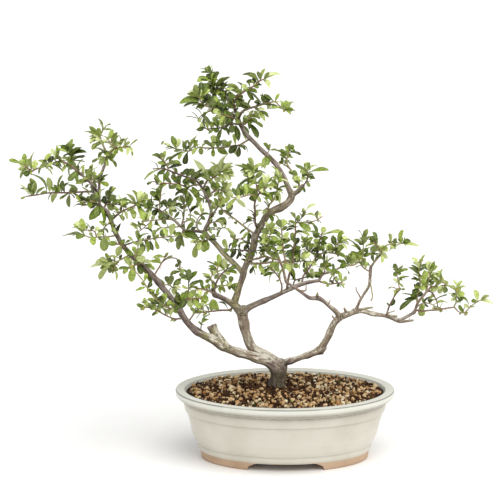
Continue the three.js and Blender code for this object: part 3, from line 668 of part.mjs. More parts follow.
   "leaves": [[-112, 491, -141, 489, 8], [-113, 494, -128, 503, 7], [-114, 498, -131, 502, 4],
    [-113, 497, -120, 514, 8], [-113, 497, -112, 517, 8], [-112, 494, -105, 516, 8],
    [-110, 489, -100, 501, 8], [-108, 487, -95, 494, 8], [-103, 485, -91, 498, 9],
    [-99, 484, -87, 494, 8], [-96, 483, -83, 487, 7], [-90, 481, -78, 488, 7], [-84, 480, -92, 471, 6],
    [-98, 483, -95, 475, 6], [-108, 487, -136, 484, 3], [-108, 487, -119, 482, 4],
    [-107, 486, -113, 480, 4], [-100, 479, -86, 474, 3], [-104, 478, -110, 470, 3]]},
  {"name": "spray_top_mid", "fill": 6, "twigs": [
    ["limb_leader", 1.5, 0.8, [[-65, 473, 18], [-68, 484, 12], [-69, 491, 6], [-62, 500, 0],
      [-55.5, 504.5, -4], [-48, 508.5, -8], [-41.5, 513, -11], [-35, 518.5, -14], [-28.5, 521, -17]]]],
   "leaves": [[-29, 520, -6, 527, 6], [-37, 517, -49, 527, 7], [-36, 518, -58, 527, 4],
    [-34, 519, -38, 531, 5], [-34, 519, -28, 535, 4], [-30, 521, -23, 530, 5], [-29, 520, -21, 514, 5],
    [-38, 516, -53, 518, 5], [-42, 512, -32, 513, 3], [-44, 511, -36, 510, 4], [-50, 508, -59, 514, 7],
    [-49, 508, -39, 504, 3], [-56, 504, -68, 507, 5], [-60, 502, -80, 508, 6], [-60, 502, -78, 514, 5],
    [-64, 497, -76, 501, 7], [-66, 494, -57, 499, 7], [-68, 490, -55, 493, 5], [-68, 485, -74, 499, 8],
    [-68, 484, -59, 489, 7], [-68, 482, -79, 490, 7]]},
  {"name": "spray_top_front", "fill": 3, "twigs": [
    ["limb_leader", 1.3, 0.8, [[-62, 466, 17], [-70, 470, 3], [-77, 472, -4], [-85, 474, -9]]]],
   "leaves": [[-70, 470, -84, 479, 9], [-68, 469, -86, 466, 10], [-72, 471, -90, 478, 8],
    [-70, 470, -80, 462, 7], [-80, 473, -95, 470, 6], [-84, 474, -97, 480, 7], [-67, 468, -64, 479, 6],
    [-68, 469, -60, 463, 6]]},
  {"name": "spray_top_low", "fill": 4, "twigs": [
    ["limb_leader", 1.4, 0.8, [[-61, 461, 16], [-71.7, 462, 24], [-81.5, 459, 29], [-88, 456.5, 32],
      [-96, 456, 35], [-104.5, 455.5, 38], [-111, 457.5, 41]]]],
   "leaves": [[-88, 457, -97, 471, 7], [-86, 458, -84, 469, 8], [-90, 457, -95, 466, 7],
    [-98, 456, -109, 473, 6], [-108, 456, -119, 454, 6], [-108, 456, -114, 462, 6],
    [-106, 456, -100, 451, 3], [-88, 456, -95, 451, 6], [-84, 458, -89, 441, 5],
    [-74, 461, -71, 450, 9], [-67, 462, -63, 439, 8]]},
];

// Small sprays that are one with the limb they grow from.
const FUSED = new Set([
  "spray_stem_left", "spray_left_tendril", "spray_left_broad", "spray_limb_leaves", "spray_left_pair",
  "spray_mid_under", "spray_side_reach", "spray_side_tuft", "spray_side_right", "spray_upper_side",
  "spray_upper_ring", "spray_pale_twig", "spray_upper_shelf", "spray_upper_hang", "spray_leader_single",
  "spray_leader_drop", "spray_leader_up", "spray_leader_left", "spray_leader_dark", "spray_right_up_base",
  "spray_side_under", "spray_upper_fork", "spray_upper_drop",
]);

function seedOf(name) {
  let hash = 2166136261;
  for (const letter of name) hash = Math.imul(hash ^ letter.charCodeAt(0), 16777619) >>> 0;
  return hash;
}

function randomFrom(seed) {
  let state = seed >>> 0;
  return () => {
    state = (state + 0x6d2b79f5) >>> 0;
    let t = state;
    t = Math.imul(t ^ (t >>> 15), t | 1);
    t ^= t + Math.imul(t ^ (t >>> 7), t | 61);
    return ((t ^ (t >>> 14)) >>> 0) / 4294967296;
  };
}

function seen(x, z, depth) {
  const scale = (EYE_DISTANCE + depth * DEPTH_STRETCH) / EYE_DISTANCE;
  return new THREE.Vector3(x, 0, z).sub(EYE).multiplyScalar(scale).add(EYE);
}

function solidOf(vertices, triangles) {
  return new wasm.Manifold(new wasm.Mesh({
    numProp: 3,
    vertProperties: new Float32Array(vertices.flatMap((v) => [v.x, v.y, v.z])),
    triVerts: new Uint32Array(triangles.flat()),
  }));
}

function solidOfGeometry(geometry) {
  const bare = geometry.index ? geometry.toNonIndexed() : geometry;
  bare.deleteAttribute("normal");
  bare.deleteAttribute("uv");
  const merged = mergeVertices(bare, TOUCH);
  return new wasm.Manifold(new wasm.Mesh({
    numProp: 3,
    vertProperties: new Float32Array(merged.attributes.position.array),
    triVerts: new Uint32Array(merged.index.array),
  }));
}

function geometryOf(solid) {
  const mesh = solid.getMesh();
  const geometry = new THREE.BufferGeometry();
  geometry.setAttribute("position", new THREE.BufferAttribute(new Float32Array(mesh.vertProperties), 3));
  geometry.setIndex(new THREE.BufferAttribute(new Uint32Array(mesh.triVerts), 1));
  geometry.computeVertexNormals();
  return geometry;
}

function bodiesOf(solid) {
  const bodies = solid.decompose().filter((body) => body.volume() > SMALLEST_BODY);
  return bodies.sort((a, b) => b.volume() - a.volume());
}

function boxesMeet(a, b) {
  return a.min.every((low, i) => low <= b.max[i]) && b.min.every((low, i) => low <= a.max[i]);
}

// A closed tapered tube through the points, its rings turned as little as they can be.
function tube(points, radii, sides) {
  const vertices = [];
  const triangles = [];
  let across = null;
  points.forEach((point, i) => {
    const before = points[Math.max(i - 1, 0)];
    const after = points[Math.min(i + 1, points.length - 1)];
    const along = after.clone().sub(before).normalize();
    if (!across) across = Math.abs(along.y) < 0.9 ? new THREE.Vector3(0, 1, 0) : new THREE.Vector3(1, 0, 0);
    across = across.clone().addScaledVector(along, -across.dot(along)).normalize();
    const up = new THREE.Vector3().crossVectors(along, across);
    for (let k = 0; k < sides; k += 1) {
      const angle = (2 * Math.PI * k) / sides;
      vertices.push(point.clone().addScaledVector(across, Math.cos(angle) * radii[i])
        .addScaledVector(up, Math.sin(angle) * radii[i]));
    }
  });
  for (let i = 0; i + 1 < points.length; i += 1) {
    for (let k = 0; k < sides; k += 1) {
      const a = i * sides + k;
      const b = i * sides + ((k + 1) % sides);
      triangles.push([a, b, a + sides], [b, b + sides, a + sides]);
    }
  }
  const last = (points.length - 1) * sides;
  for (let k = 1; k + 1 < sides; k += 1) {
    triangles.push([0, k + 1, k], [last, last + k, last + k + 1]);
  }
  return solidOf(vertices, triangles);
}

// The point of a route at a share of the way from one of its points to the next.
function spotOn(route, step, share) {
  return route[step].map((value, k) => value + (route[step + 1][k] - value) * share);
}

// The point of a route [[x, z, depth, ...], ...] that looks nearest to x, z.
function nearestOn(route, x, z) {
  let best = null;
  for (let i = 0; i + 1 < route.length; i += 1) {
    const [ax, az] = route[i];
    const [bx, bz] = route[i + 1];
    const run = (bx - ax) ** 2 + (bz - az) ** 2;
    const t = Math.min(1, Math.max(0, ((x - ax) * (bx - ax) + (z - az) * (bz - az)) / run));
    const point = spotOn(route, i, t);
    const distance = Math.hypot(point[0] - x, point[1] - z);
    if (!best || distance < best.distance) best = { distance, point };
  }
  return best;
}

// A twig's route, its first point moved onto the middle line of what it grows from.
function twigRoutes(spray, limbRoutes) {
  const routes = [];
  for (const [parent, rootRadius, endRadius, points] of spray.twigs) {
    const parentRoute = typeof parent === "string" ? limbRoutes.get(parent) : routes[parent];
    const [x, z, depth] = nearestOn(parentRoute, points[0][0], points[0][1]).point;
    const route = thinned([[x, z, depth], ...points.slice(1)], TWIG_DETAIL);
    const last = route.length - 1;
    routes.push(route.map((p, i) => [p[0], p[1], p[2], rootRadius + ((endRadius - rootRadius) * i) / last]));
  }
  return routes;
}

// The route without the points that lie within a distance of the line through their neighbours.
function thinned(route, detail) {
  const places = route.map((p) => seen(p[0], p[1], p[2]));
  const line = new THREE.Line3(places[0], places[places.length - 1]);
  let far = 0;
  let distance = 0;
  for (let i = 1; i + 1 < route.length; i += 1) {
    const away = line.closestPointToPoint(places[i], true, new THREE.Vector3()).distanceTo(places[i]);
    if (away > distance) {
      far = i;
      distance = away;
    }
  }
  if (distance <= detail) return [route[0], route[route.length - 1]];
  return [...thinned(route.slice(0, far + 1), detail).slice(0, -1), ...thinned(route.slice(far), detail)];
}

// The tube of a route; with extra it is thicker and longer all round by that much.
function routeTube(route, sides, extra = 0) {
  const points = route.map((p) => seen(p[0], p[1], p[2]));
  const last = points.length - 1;
  const start = points[0].clone().sub(points[1]).setLength(extra);
  const end = points[last].clone().sub(points[last - 1]).setLength(extra);
  points[0].add(start);
  points[last].add(end);
  return tube(points, route.map((p) => p[3] + extra), sides);
}

// A leaf blade: narrow at the root, widest past the middle, its tip bent down a little.
function leafBlade({ root, tip, width, across }, extra = 0, start = 0) {
  const along = tip.clone().sub(root);
  const length = along.length();
  along.normalize();
  const normal = new THREE.Vector3().crossVectors(across, along).normalize();
  const half = width / 2 + extra;
  const bend = length * LEAF_BEND;
  const outline = [[start, 0], [BLADE_WIDEST, 1], [1 + extra / length, 0], [BLADE_WIDEST, -1]];
  const top = outline.map(([t, s]) => root.clone().addScaledVector(along, t * length)
    .addScaledVector(across, s * half).addScaledVector(normal, Math.abs(s) * bend));
  const thick = LEAF_THICKNESS / 2 + extra;
  const vertices = [...top.map((v) => v.clone().addScaledVector(normal, thick)),
    ...top.map((v) => v.clone().addScaledVector(normal, -thick))];
  const triangles = [[0, 1, 3], [1, 2, 3], [4, 7, 5], [5, 7, 6]];
  for (let i = 0; i < 4; i += 1) {
    const j = (i + 1) % 4;
    triangles.push([i, i + 4, j + 4], [i, j + 4, j]);
  }
  return solidOf(vertices, triangles);
}

// The direction across a blade that is turned about its length by the given angle, the way
// round that leaves its upper face looking up.
function acrossBlade(root, tip, turn) {
  const along = tip.clone().sub(root).normalize();
  const view = root.clone().sub(EYE).normalize();
  const flat = new THREE.Vector3().crossVectors(view, along).normalize();
  const facing = new THREE.Vector3().crossVectors(along, flat);
  const turned = [turn, -turn].map((angle) => flat.clone().multiplyScalar(Math.cos(angle))
    .addScaledVector(facing, Math.sin(angle)));
  const rise = (across) => new THREE.Vector3().crossVectors(across, along).z;
  const across = Math.abs(rise(turned[0])) >= Math.abs(rise(turned[1])) ? turned[0] : turned[1];
  return rise(across) < 0 ? across.negate() : across;
}

// A leaf that shows: its root goes onto the nearest twig and its depth is drawn by its seed.
function shownLeaf(spray, index, routes, lean) {
  const [rootX, rootZ, tipX, tipZ, looks] = spray.leaves[index];
  const spots = routes.map((route) => nearestOn(route, rootX, rootZ));
  const [x, z, depth] = spots.reduce((a, b) => (a.distance <= b.distance ? a : b)).point;
  const random = randomFrom(seedOf(spray.name) + LEAF_SEED_STEP * index);
  const span = Math.hypot(tipX - x, tipZ - z);
  const root = seen(x, z, depth);
  const tip = seen(tipX, tipZ, depth + (random() - 0.5) * span + lean);
  const width = Math.max(looks, LEAF_WIDTH_SHARE * root.distanceTo(tip));
  const turn = Math.acos(Math.min(1, looks / width));
  return { root, tip, width, across: acrossBlade(root, tip, turn) };
}

// One of a spray's other leaves: along its twigs in turn, at the golden angle round the stem.
function fillLeaf(spray, index, routes, lean) {
  const random = randomFrom(seedOf(spray.name) + FILL_SEED + FILL_SEED_STEP * index);
  const route = routes[index % routes.length];
  const share = FILL_START + ((1 - FILL_START) * (index + random())) / spray.fill;
  const place = share * (route.length - 1);
  const step = Math.min(Math.floor(place), route.length - 2);
  const spot = spotOn(route, step, Math.min(place - step, 1));
  const along = seen(...route[step + 1]).sub(seen(...route[step])).normalize();
  const side = new THREE.Vector3(0, 0, 1).cross(along).normalize();
  const rise = new THREE.Vector3().crossVectors(along, side);
  const angle = GOLDEN_ANGLE * index + random() * FILL_STRAY;
  const way = side.multiplyScalar(Math.cos(angle)).addScaledVector(rise, Math.sin(angle));
  const root = seen(spot[0], spot[1], spot[2]);
  const length = FILL_LENGTH + FILL_LONGER * random();
  const upward = new THREE.Vector3(0, lean / LEAN_REACH, FILL_RISE);
  const direction = way.addScaledVector(along, FILL_FORWARD).add(upward).normalize();
  const tip = root.clone().addScaledVector(direction, length);
  const up = new THREE.Vector3(random() - 0.5, random() - 0.5, FILL_UPRIGHT);
  const across = direction.clone().cross(up).normalize();
  return { root, tip, width: FILL_WIDTH_SHARE * length, across };
}

// A thorn near the middle of a route, slanted forward.
function thorn(route, turn) {
  const place = THORN_PLACE * (route.length - 1);
  const step = Math.min(Math.floor(place), route.length - 2);
  const spot = spotOn(route, step, place - step);
  const along = seen(...route[step + 1]).sub(seen(...route[step])).normalize();
  const side = new THREE.Vector3(0, 1, 0).cross(along).normalize();
  const rise = new THREE.Vector3().crossVectors(along, side);
  const way = side.multiplyScalar(Math.cos(turn)).addScaledVector(rise, Math.sin(turn))
    .addScaledVector(along, THORN_SLANT);
  const root = seen(spot[0], spot[1], spot[2]);
  const point = root.clone().addScaledVector(way.normalize(), THORN_LENGTH);
  return tube([root, point], [THORN_RADIUS, THORN_TIP], 3);
}

// A point of the rim ellipse moved in along its normal, at a height.
function insetPoint(step, inset, z) {
  const angle = (2 * Math.PI * step) / RIM_SEGMENTS;
  const x = RIM_HALF_LENGTH * Math.cos(angle);
  const y = RIM_HALF_WIDTH * Math.sin(angle);
  const normal = new THREE.Vector3(Math.cos(angle) / RIM_HALF_LENGTH, Math.sin(angle) / RIM_HALF_WIDTH, 0);
  return new THREE.Vector3(x, y, z).addScaledVector(normal.normalize(), -inset);
}

function insetRing(inset, z) {
  return Array.from({ length: RIM_SEGMENTS }, (_, step) => insetPoint(step, inset, z));
}

// A closed skin over rings from one middle point to another. It faces out when the rings climb
// the outside of the piece; turned over when they go the other way.
function ringSolid(rings, startZ, endZ, turnedOver) {
  const n = RIM_SEGMENTS;
  const vertices = [...rings.flat(), new THREE.Vector3(0, 0, startZ), new THREE.Vector3(0, 0, endZ)];
  const start = vertices.length - 2;
  const end = vertices.length - 1;
  const last = (rings.length - 1) * n;
  const triangles = [];
  for (let k = 0; k < n; k += 1) {
    const next = (k + 1) % n;
    triangles.push([start, next, k], [end, last + k, last + next]);
    for (let i = 0; i + 1 < rings.length; i += 1) {
      const a = i * n + k;
      const b = i * n + next;
      triangles.push([a, b, a + n], [b, b + n, a + n]);
    }
  }
  return solidOf(vertices, turnedOver ? triangles.map(([a, b, c]) => [a, c, b]) : triangles);
}

function uprightCylinder(radius, sides, x, y, lowZ, highZ) {
  const geometry = new THREE.CylinderGeometry(radius, radius, highZ - lowZ, sides);
  geometry.rotateX(Math.PI / 2).translate(x, y, (lowZ + highZ) / 2);
  return solidOfGeometry(geometry);
}

function box(width, depth, height, x, y, z) {
  return solidOfGeometry(new THREE.BoxGeometry(width, depth, height).translate(x, y, z));
}

function makePot() {
  const rings = [...POT_INSIDE, ...POT_OUTSIDE].map(([inset, z]) => insetRing(inset, z));
  const arch = new THREE.Shape(ARCH.map(([x, z]) => new THREE.Vector2(x, z)));
  const reach = 2 * RIM_HALF_WIDTH;
  const cutter = new THREE.ExtrudeGeometry(arch, { depth: reach, bevelEnabled: false });
  cutter.rotateX(Math.PI / 2).translate(0, reach / 2, 0);
  let pot = ringSolid(rings, FLOOR_Z, FOOT_TOP_Z, true).subtract(solidOfGeometry(cutter));
  for (const x of [-DRAIN_X, DRAIN_X]) {
    const low = FOOT_TOP_Z - DRAIN_OVERRUN;
    pot = pot.subtract(uprightCylinder(DRAIN_RADIUS, DRAIN_SIDES, x, 0, low, FLOOR_Z + DRAIN_OVERRUN));
  }
  return pot;
}

function makeScreen(x) {
  const low = FLOOR_Z + GAP;
  const middle = low + SCREEN_THICKNESS / 2;
  const slots = [];
  for (const column of [-1, 0, 1]) {
    for (const row of [-1, 0, 1]) {
      const [slotX, slotY] = [x + column * SCREEN_PITCH, row * SCREEN_PITCH];
      slots.push(box(SCREEN_SLOT, SCREEN_SLOT, SCREEN_CUT, slotX, slotY, middle));
    }
  }
  const plate = box(SCREEN_SIDE, SCREEN_SIDE, SCREEN_THICKNESS, x, 0, middle);
  return plate.subtract(wasm.Manifold.union(slots));
}

// The soil: it fills the pot, rises to a mound round the stem and is rough with grit on top.
function makeSoil(stem) {
  const random = randomFrom(seedOf("soil"));
  const rings = SOIL_SIDE.map(([inset, z]) => insetRing(inset, z));
  rings.push(insetRing(SOIL_EDGE_INSET, SOIL_EDGE_Z));
  for (let ring = SOIL_RINGS - 1; ring > 0; ring -= 1) {
    const share = ring / SOIL_RINGS;
    const mound = SOIL_EDGE_Z + SOIL_MOUND * (1 - share ** 2);
    rings.push(insetRing(SOIL_EDGE_INSET, 0).map((point) => {
      const relief = SOIL_RELIEF * (2 * random() - 1);
      return new THREE.Vector3(point.x * share, point.y * share, mound + relief);
    }));
  }
  let soil = ringSolid(rings, FLOOR_Z + SOIL_LIFT, SOIL_EDGE_Z + SOIL_MOUND, false);
  const foot = seen(...stem[0]);
  const [low, high] = [foot.z - GAP, SOIL_EDGE_Z + STEM_HOLE_RISE];
  soil = soil.subtract(uprightCylinder(STEM_HOLE_RADIUS, STEM_HOLE_SIDES, foot.x, foot.y, low, high));
  const pocket = SCREEN_SIDE + 2 * GAP;
  const pocketMiddle = FLOOR_Z + GAP + SCREEN_THICKNESS + GAP - SCREEN_CUT / 2;
  for (const x of [-DRAIN_X, DRAIN_X]) {
    soil = soil.subtract(box(pocket, pocket, SCREEN_CUT, x, 0, pocketMiddle));
  }
  return soil;
}

function keptLeaf(spray, index) {
  const [, , tipX, tipZ, width] = spray.leaves[index];
  const outermost = tipX < OUTERMOST.left || tipX > OUTERMOST.right || tipZ > OUTERMOST.top;
  return outermost || width >= KEPT_LEAF_WIDTH || index % KEPT_EVERY === 0;
}

function twigTube(route) {
  return routeTube(route, route[0][3] >= STOUT_TWIG ? 4 : 3);
}

// The tree: twigs first, then each leaf at the first lean that is clear of every other node and
// of the leaves beside it.
function makeTree() {
  const limbRoutes = new Map(LIMBS.map(([name, , route]) => [name, thinned(route, LIMB_DETAIL)]));
  const limbTubes = (extra) => LIMBS.map(([name, sides]) => routeTube(limbRoutes.get(name), sides, extra));
  const nodes = new Map([["trunk", limbTubes(0)]]);
  const sprays = SPRAYS.map((spray) => {
    const node = FUSED.has(spray.name) ? "trunk" : spray.name;
    const routes = twigRoutes(spray, limbRoutes);
    if (!nodes.has(node)) nodes.set(node, []);
    nodes.get(node).push(...routes.map(twigTube));
    return { spray, node, routes };
  });
  const boxed = (solid) => ({ solid, box: solid.boundingBox() });
  const taken = new Map([...nodes].map(([node, solids]) => [node, solids.map(boxed)]));
  const meets = (solid, bounds, item) => (
    boxesMeet(bounds, item.box) && solid.intersect(item.solid).volume() > TOUCH
  );
  const clear = (leaf, node) => {
    const whole = leafBlade(leaf, GAP);
    const blade = leafBlade(leaf, 0, BLADE_START);
    const wholeBounds = whole.boundingBox();
    const bladeBounds = blade.boundingBox();
    return [...taken].every(([other, items]) => items.every((item) => {
      if (other !== node) return !meets(whole, wholeBounds, item);
      return !meets(blade, bladeBounds, item);
    }));
  };
  const place = (node, make) => {
    for (const lean of LEAF_LEANS) {
      const leaf = make(lean);
      if (clear(leaf, node)) {
        const blade = leafBlade(leaf);
        nodes.get(node).push(blade);
        taken.get(node).push(boxed(blade));
        return;
      }
    }
  };
  for (const { spray, node, routes } of sprays) {
    for (let i = 0; i < spray.leaves.length; i += 1) {
      if (keptLeaf(spray, i)) place(node, (lean) => shownLeaf(spray, i, routes, lean));
    }
    for (let i = FIRST_FILL; i < spray.fill; i += KEPT_FILL) {
      place(node, (lean) => fillLeaf(spray, i, routes, lean));
    }
  }
  for (const { spray, node, routes } of sprays) {
    if (node === "trunk" || routes[0].length < THORN_ROUTE) continue;
    const spike = thorn(routes[0], GOLDEN_ANGLE * spray.leaves.length);
    const bounds = spike.boundingBox();
    const free = [...taken].every(([other, items]) => (
      other === node || !items.some((item) => meets(spike, bounds, item))
    ));
    if (free) nodes.get(node).push(spike);
  }
  const round = wasm.Manifold.union(limbTubes(GAP));
  return [...nodes].flatMap(([node, solids]) => {
    const whole = wasm.Manifold.union(solids);
    if (node === "trunk") return [[node, whole]];
    return bodiesOf(whole.subtract(round)).map((body, i) => [i ? node + "_" + (i + 1) : node, body]);
  });
}

const GLAZE = new THREE.MeshStandardMaterial({ color: 0xe1dccd, roughness: 0.22, metalness: 0 });
const SCREEN = new THREE.MeshStandardMaterial({ color: 0x2b2c2a, roughness: 0.6, metalness: 0 });
const SOIL = new THREE.MeshStandardMaterial({ color: 0x4d4030, roughness: 1, metalness: 0 });
const BARK = new THREE.MeshStandardMaterial({ color: 0x82706a, roughness: 0.9, metalness: 0 });
const LEAF = new THREE.MeshStandardMaterial({ color: 0x5f8c37, roughness: 0.5, metalness: 0 });

function addMesh(group, name, solid, material) {
  const mesh = new THREE.Mesh(geometryOf(solid), material);
  mesh.name = name;
  group.add(mesh);
}

const potAndTree = new THREE.Group();
addMesh(potAndTree, "pot", makePot(), GLAZE);
addMesh(potAndTree, "screen_left", makeScreen(-DRAIN_X), SCREEN);
addMesh(potAndTree, "screen_right", makeScreen(DRAIN_X), SCREEN);
addMesh(potAndTree, "soil", makeSoil(LIMBS[0][2]), SOIL);
for (const [name, solid] of makeTree()) addMesh(potAndTree, name, solid, name === "trunk" ? BARK : LEAF);

// The origin is at the middle of the underside of the whole.
const bounds = new THREE.Box3().setFromObject(potAndTree);
const middle = bounds.getCenter(new THREE.Vector3());
potAndTree.position.set(-middle.x, -middle.y, -bounds.min.z);

const bonsai = new THREE.Group();
bonsai.add(potAndTree);
export default bonsai;
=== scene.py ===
import math

import bpy
import numpy as np
from mathutils import Matrix, Vector, kdtree, noise


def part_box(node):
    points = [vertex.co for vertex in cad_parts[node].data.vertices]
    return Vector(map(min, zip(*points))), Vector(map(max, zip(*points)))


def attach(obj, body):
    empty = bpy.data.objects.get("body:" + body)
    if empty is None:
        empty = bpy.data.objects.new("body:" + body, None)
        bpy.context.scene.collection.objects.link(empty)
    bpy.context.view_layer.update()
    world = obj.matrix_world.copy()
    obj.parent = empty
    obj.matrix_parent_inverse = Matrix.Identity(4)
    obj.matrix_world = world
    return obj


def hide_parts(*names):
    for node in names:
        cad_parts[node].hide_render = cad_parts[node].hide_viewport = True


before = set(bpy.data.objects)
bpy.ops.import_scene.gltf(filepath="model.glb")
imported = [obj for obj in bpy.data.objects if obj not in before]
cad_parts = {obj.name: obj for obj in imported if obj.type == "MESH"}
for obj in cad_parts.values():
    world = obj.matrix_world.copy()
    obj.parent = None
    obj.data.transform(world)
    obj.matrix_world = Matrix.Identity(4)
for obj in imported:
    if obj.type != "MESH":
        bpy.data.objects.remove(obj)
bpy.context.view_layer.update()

MM = 0.001
pot_low, pot_high = (Vector(corner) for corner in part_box("pot"))
POT_MIDDLE = Vector(((pot_low.x + pot_high.x) / 2, (pot_low.y + pot_high.y) / 2, pot_low.z))

# The eye that the routes were laid out from, and how much deeper the tree is than it looks.
EYE = np.array([-48.0, -1800.0, 672.0])
EYE_DISTANCE = 1800.0
DEPTH_STRETCH = 1.45
CAMERA_LENS = 98.57
CAMERA_TILT = math.radians(78.08)

# Pot and soil.
RIM_HALF_LENGTH = 150.0
RIM_HALF_WIDTH = 96.5
POT_SEGMENTS = 224
FLOOR_Z = 18.0
FOOT_TOP_Z = 11.5
DRAIN_X = 55.0
DRAIN_RADIUS = 11.0
SOIL_EDGE_INSET = 15.2
SOIL_EDGE_Z = 94.0
SOIL_MOUND = 6.5

# Tree.
GOLDEN_ANGLE = 2.39996
LEAF_WIDTH_SHARE = 0.4
THICK_WOOD = 2.0
WOOD_VOXEL = 0.9

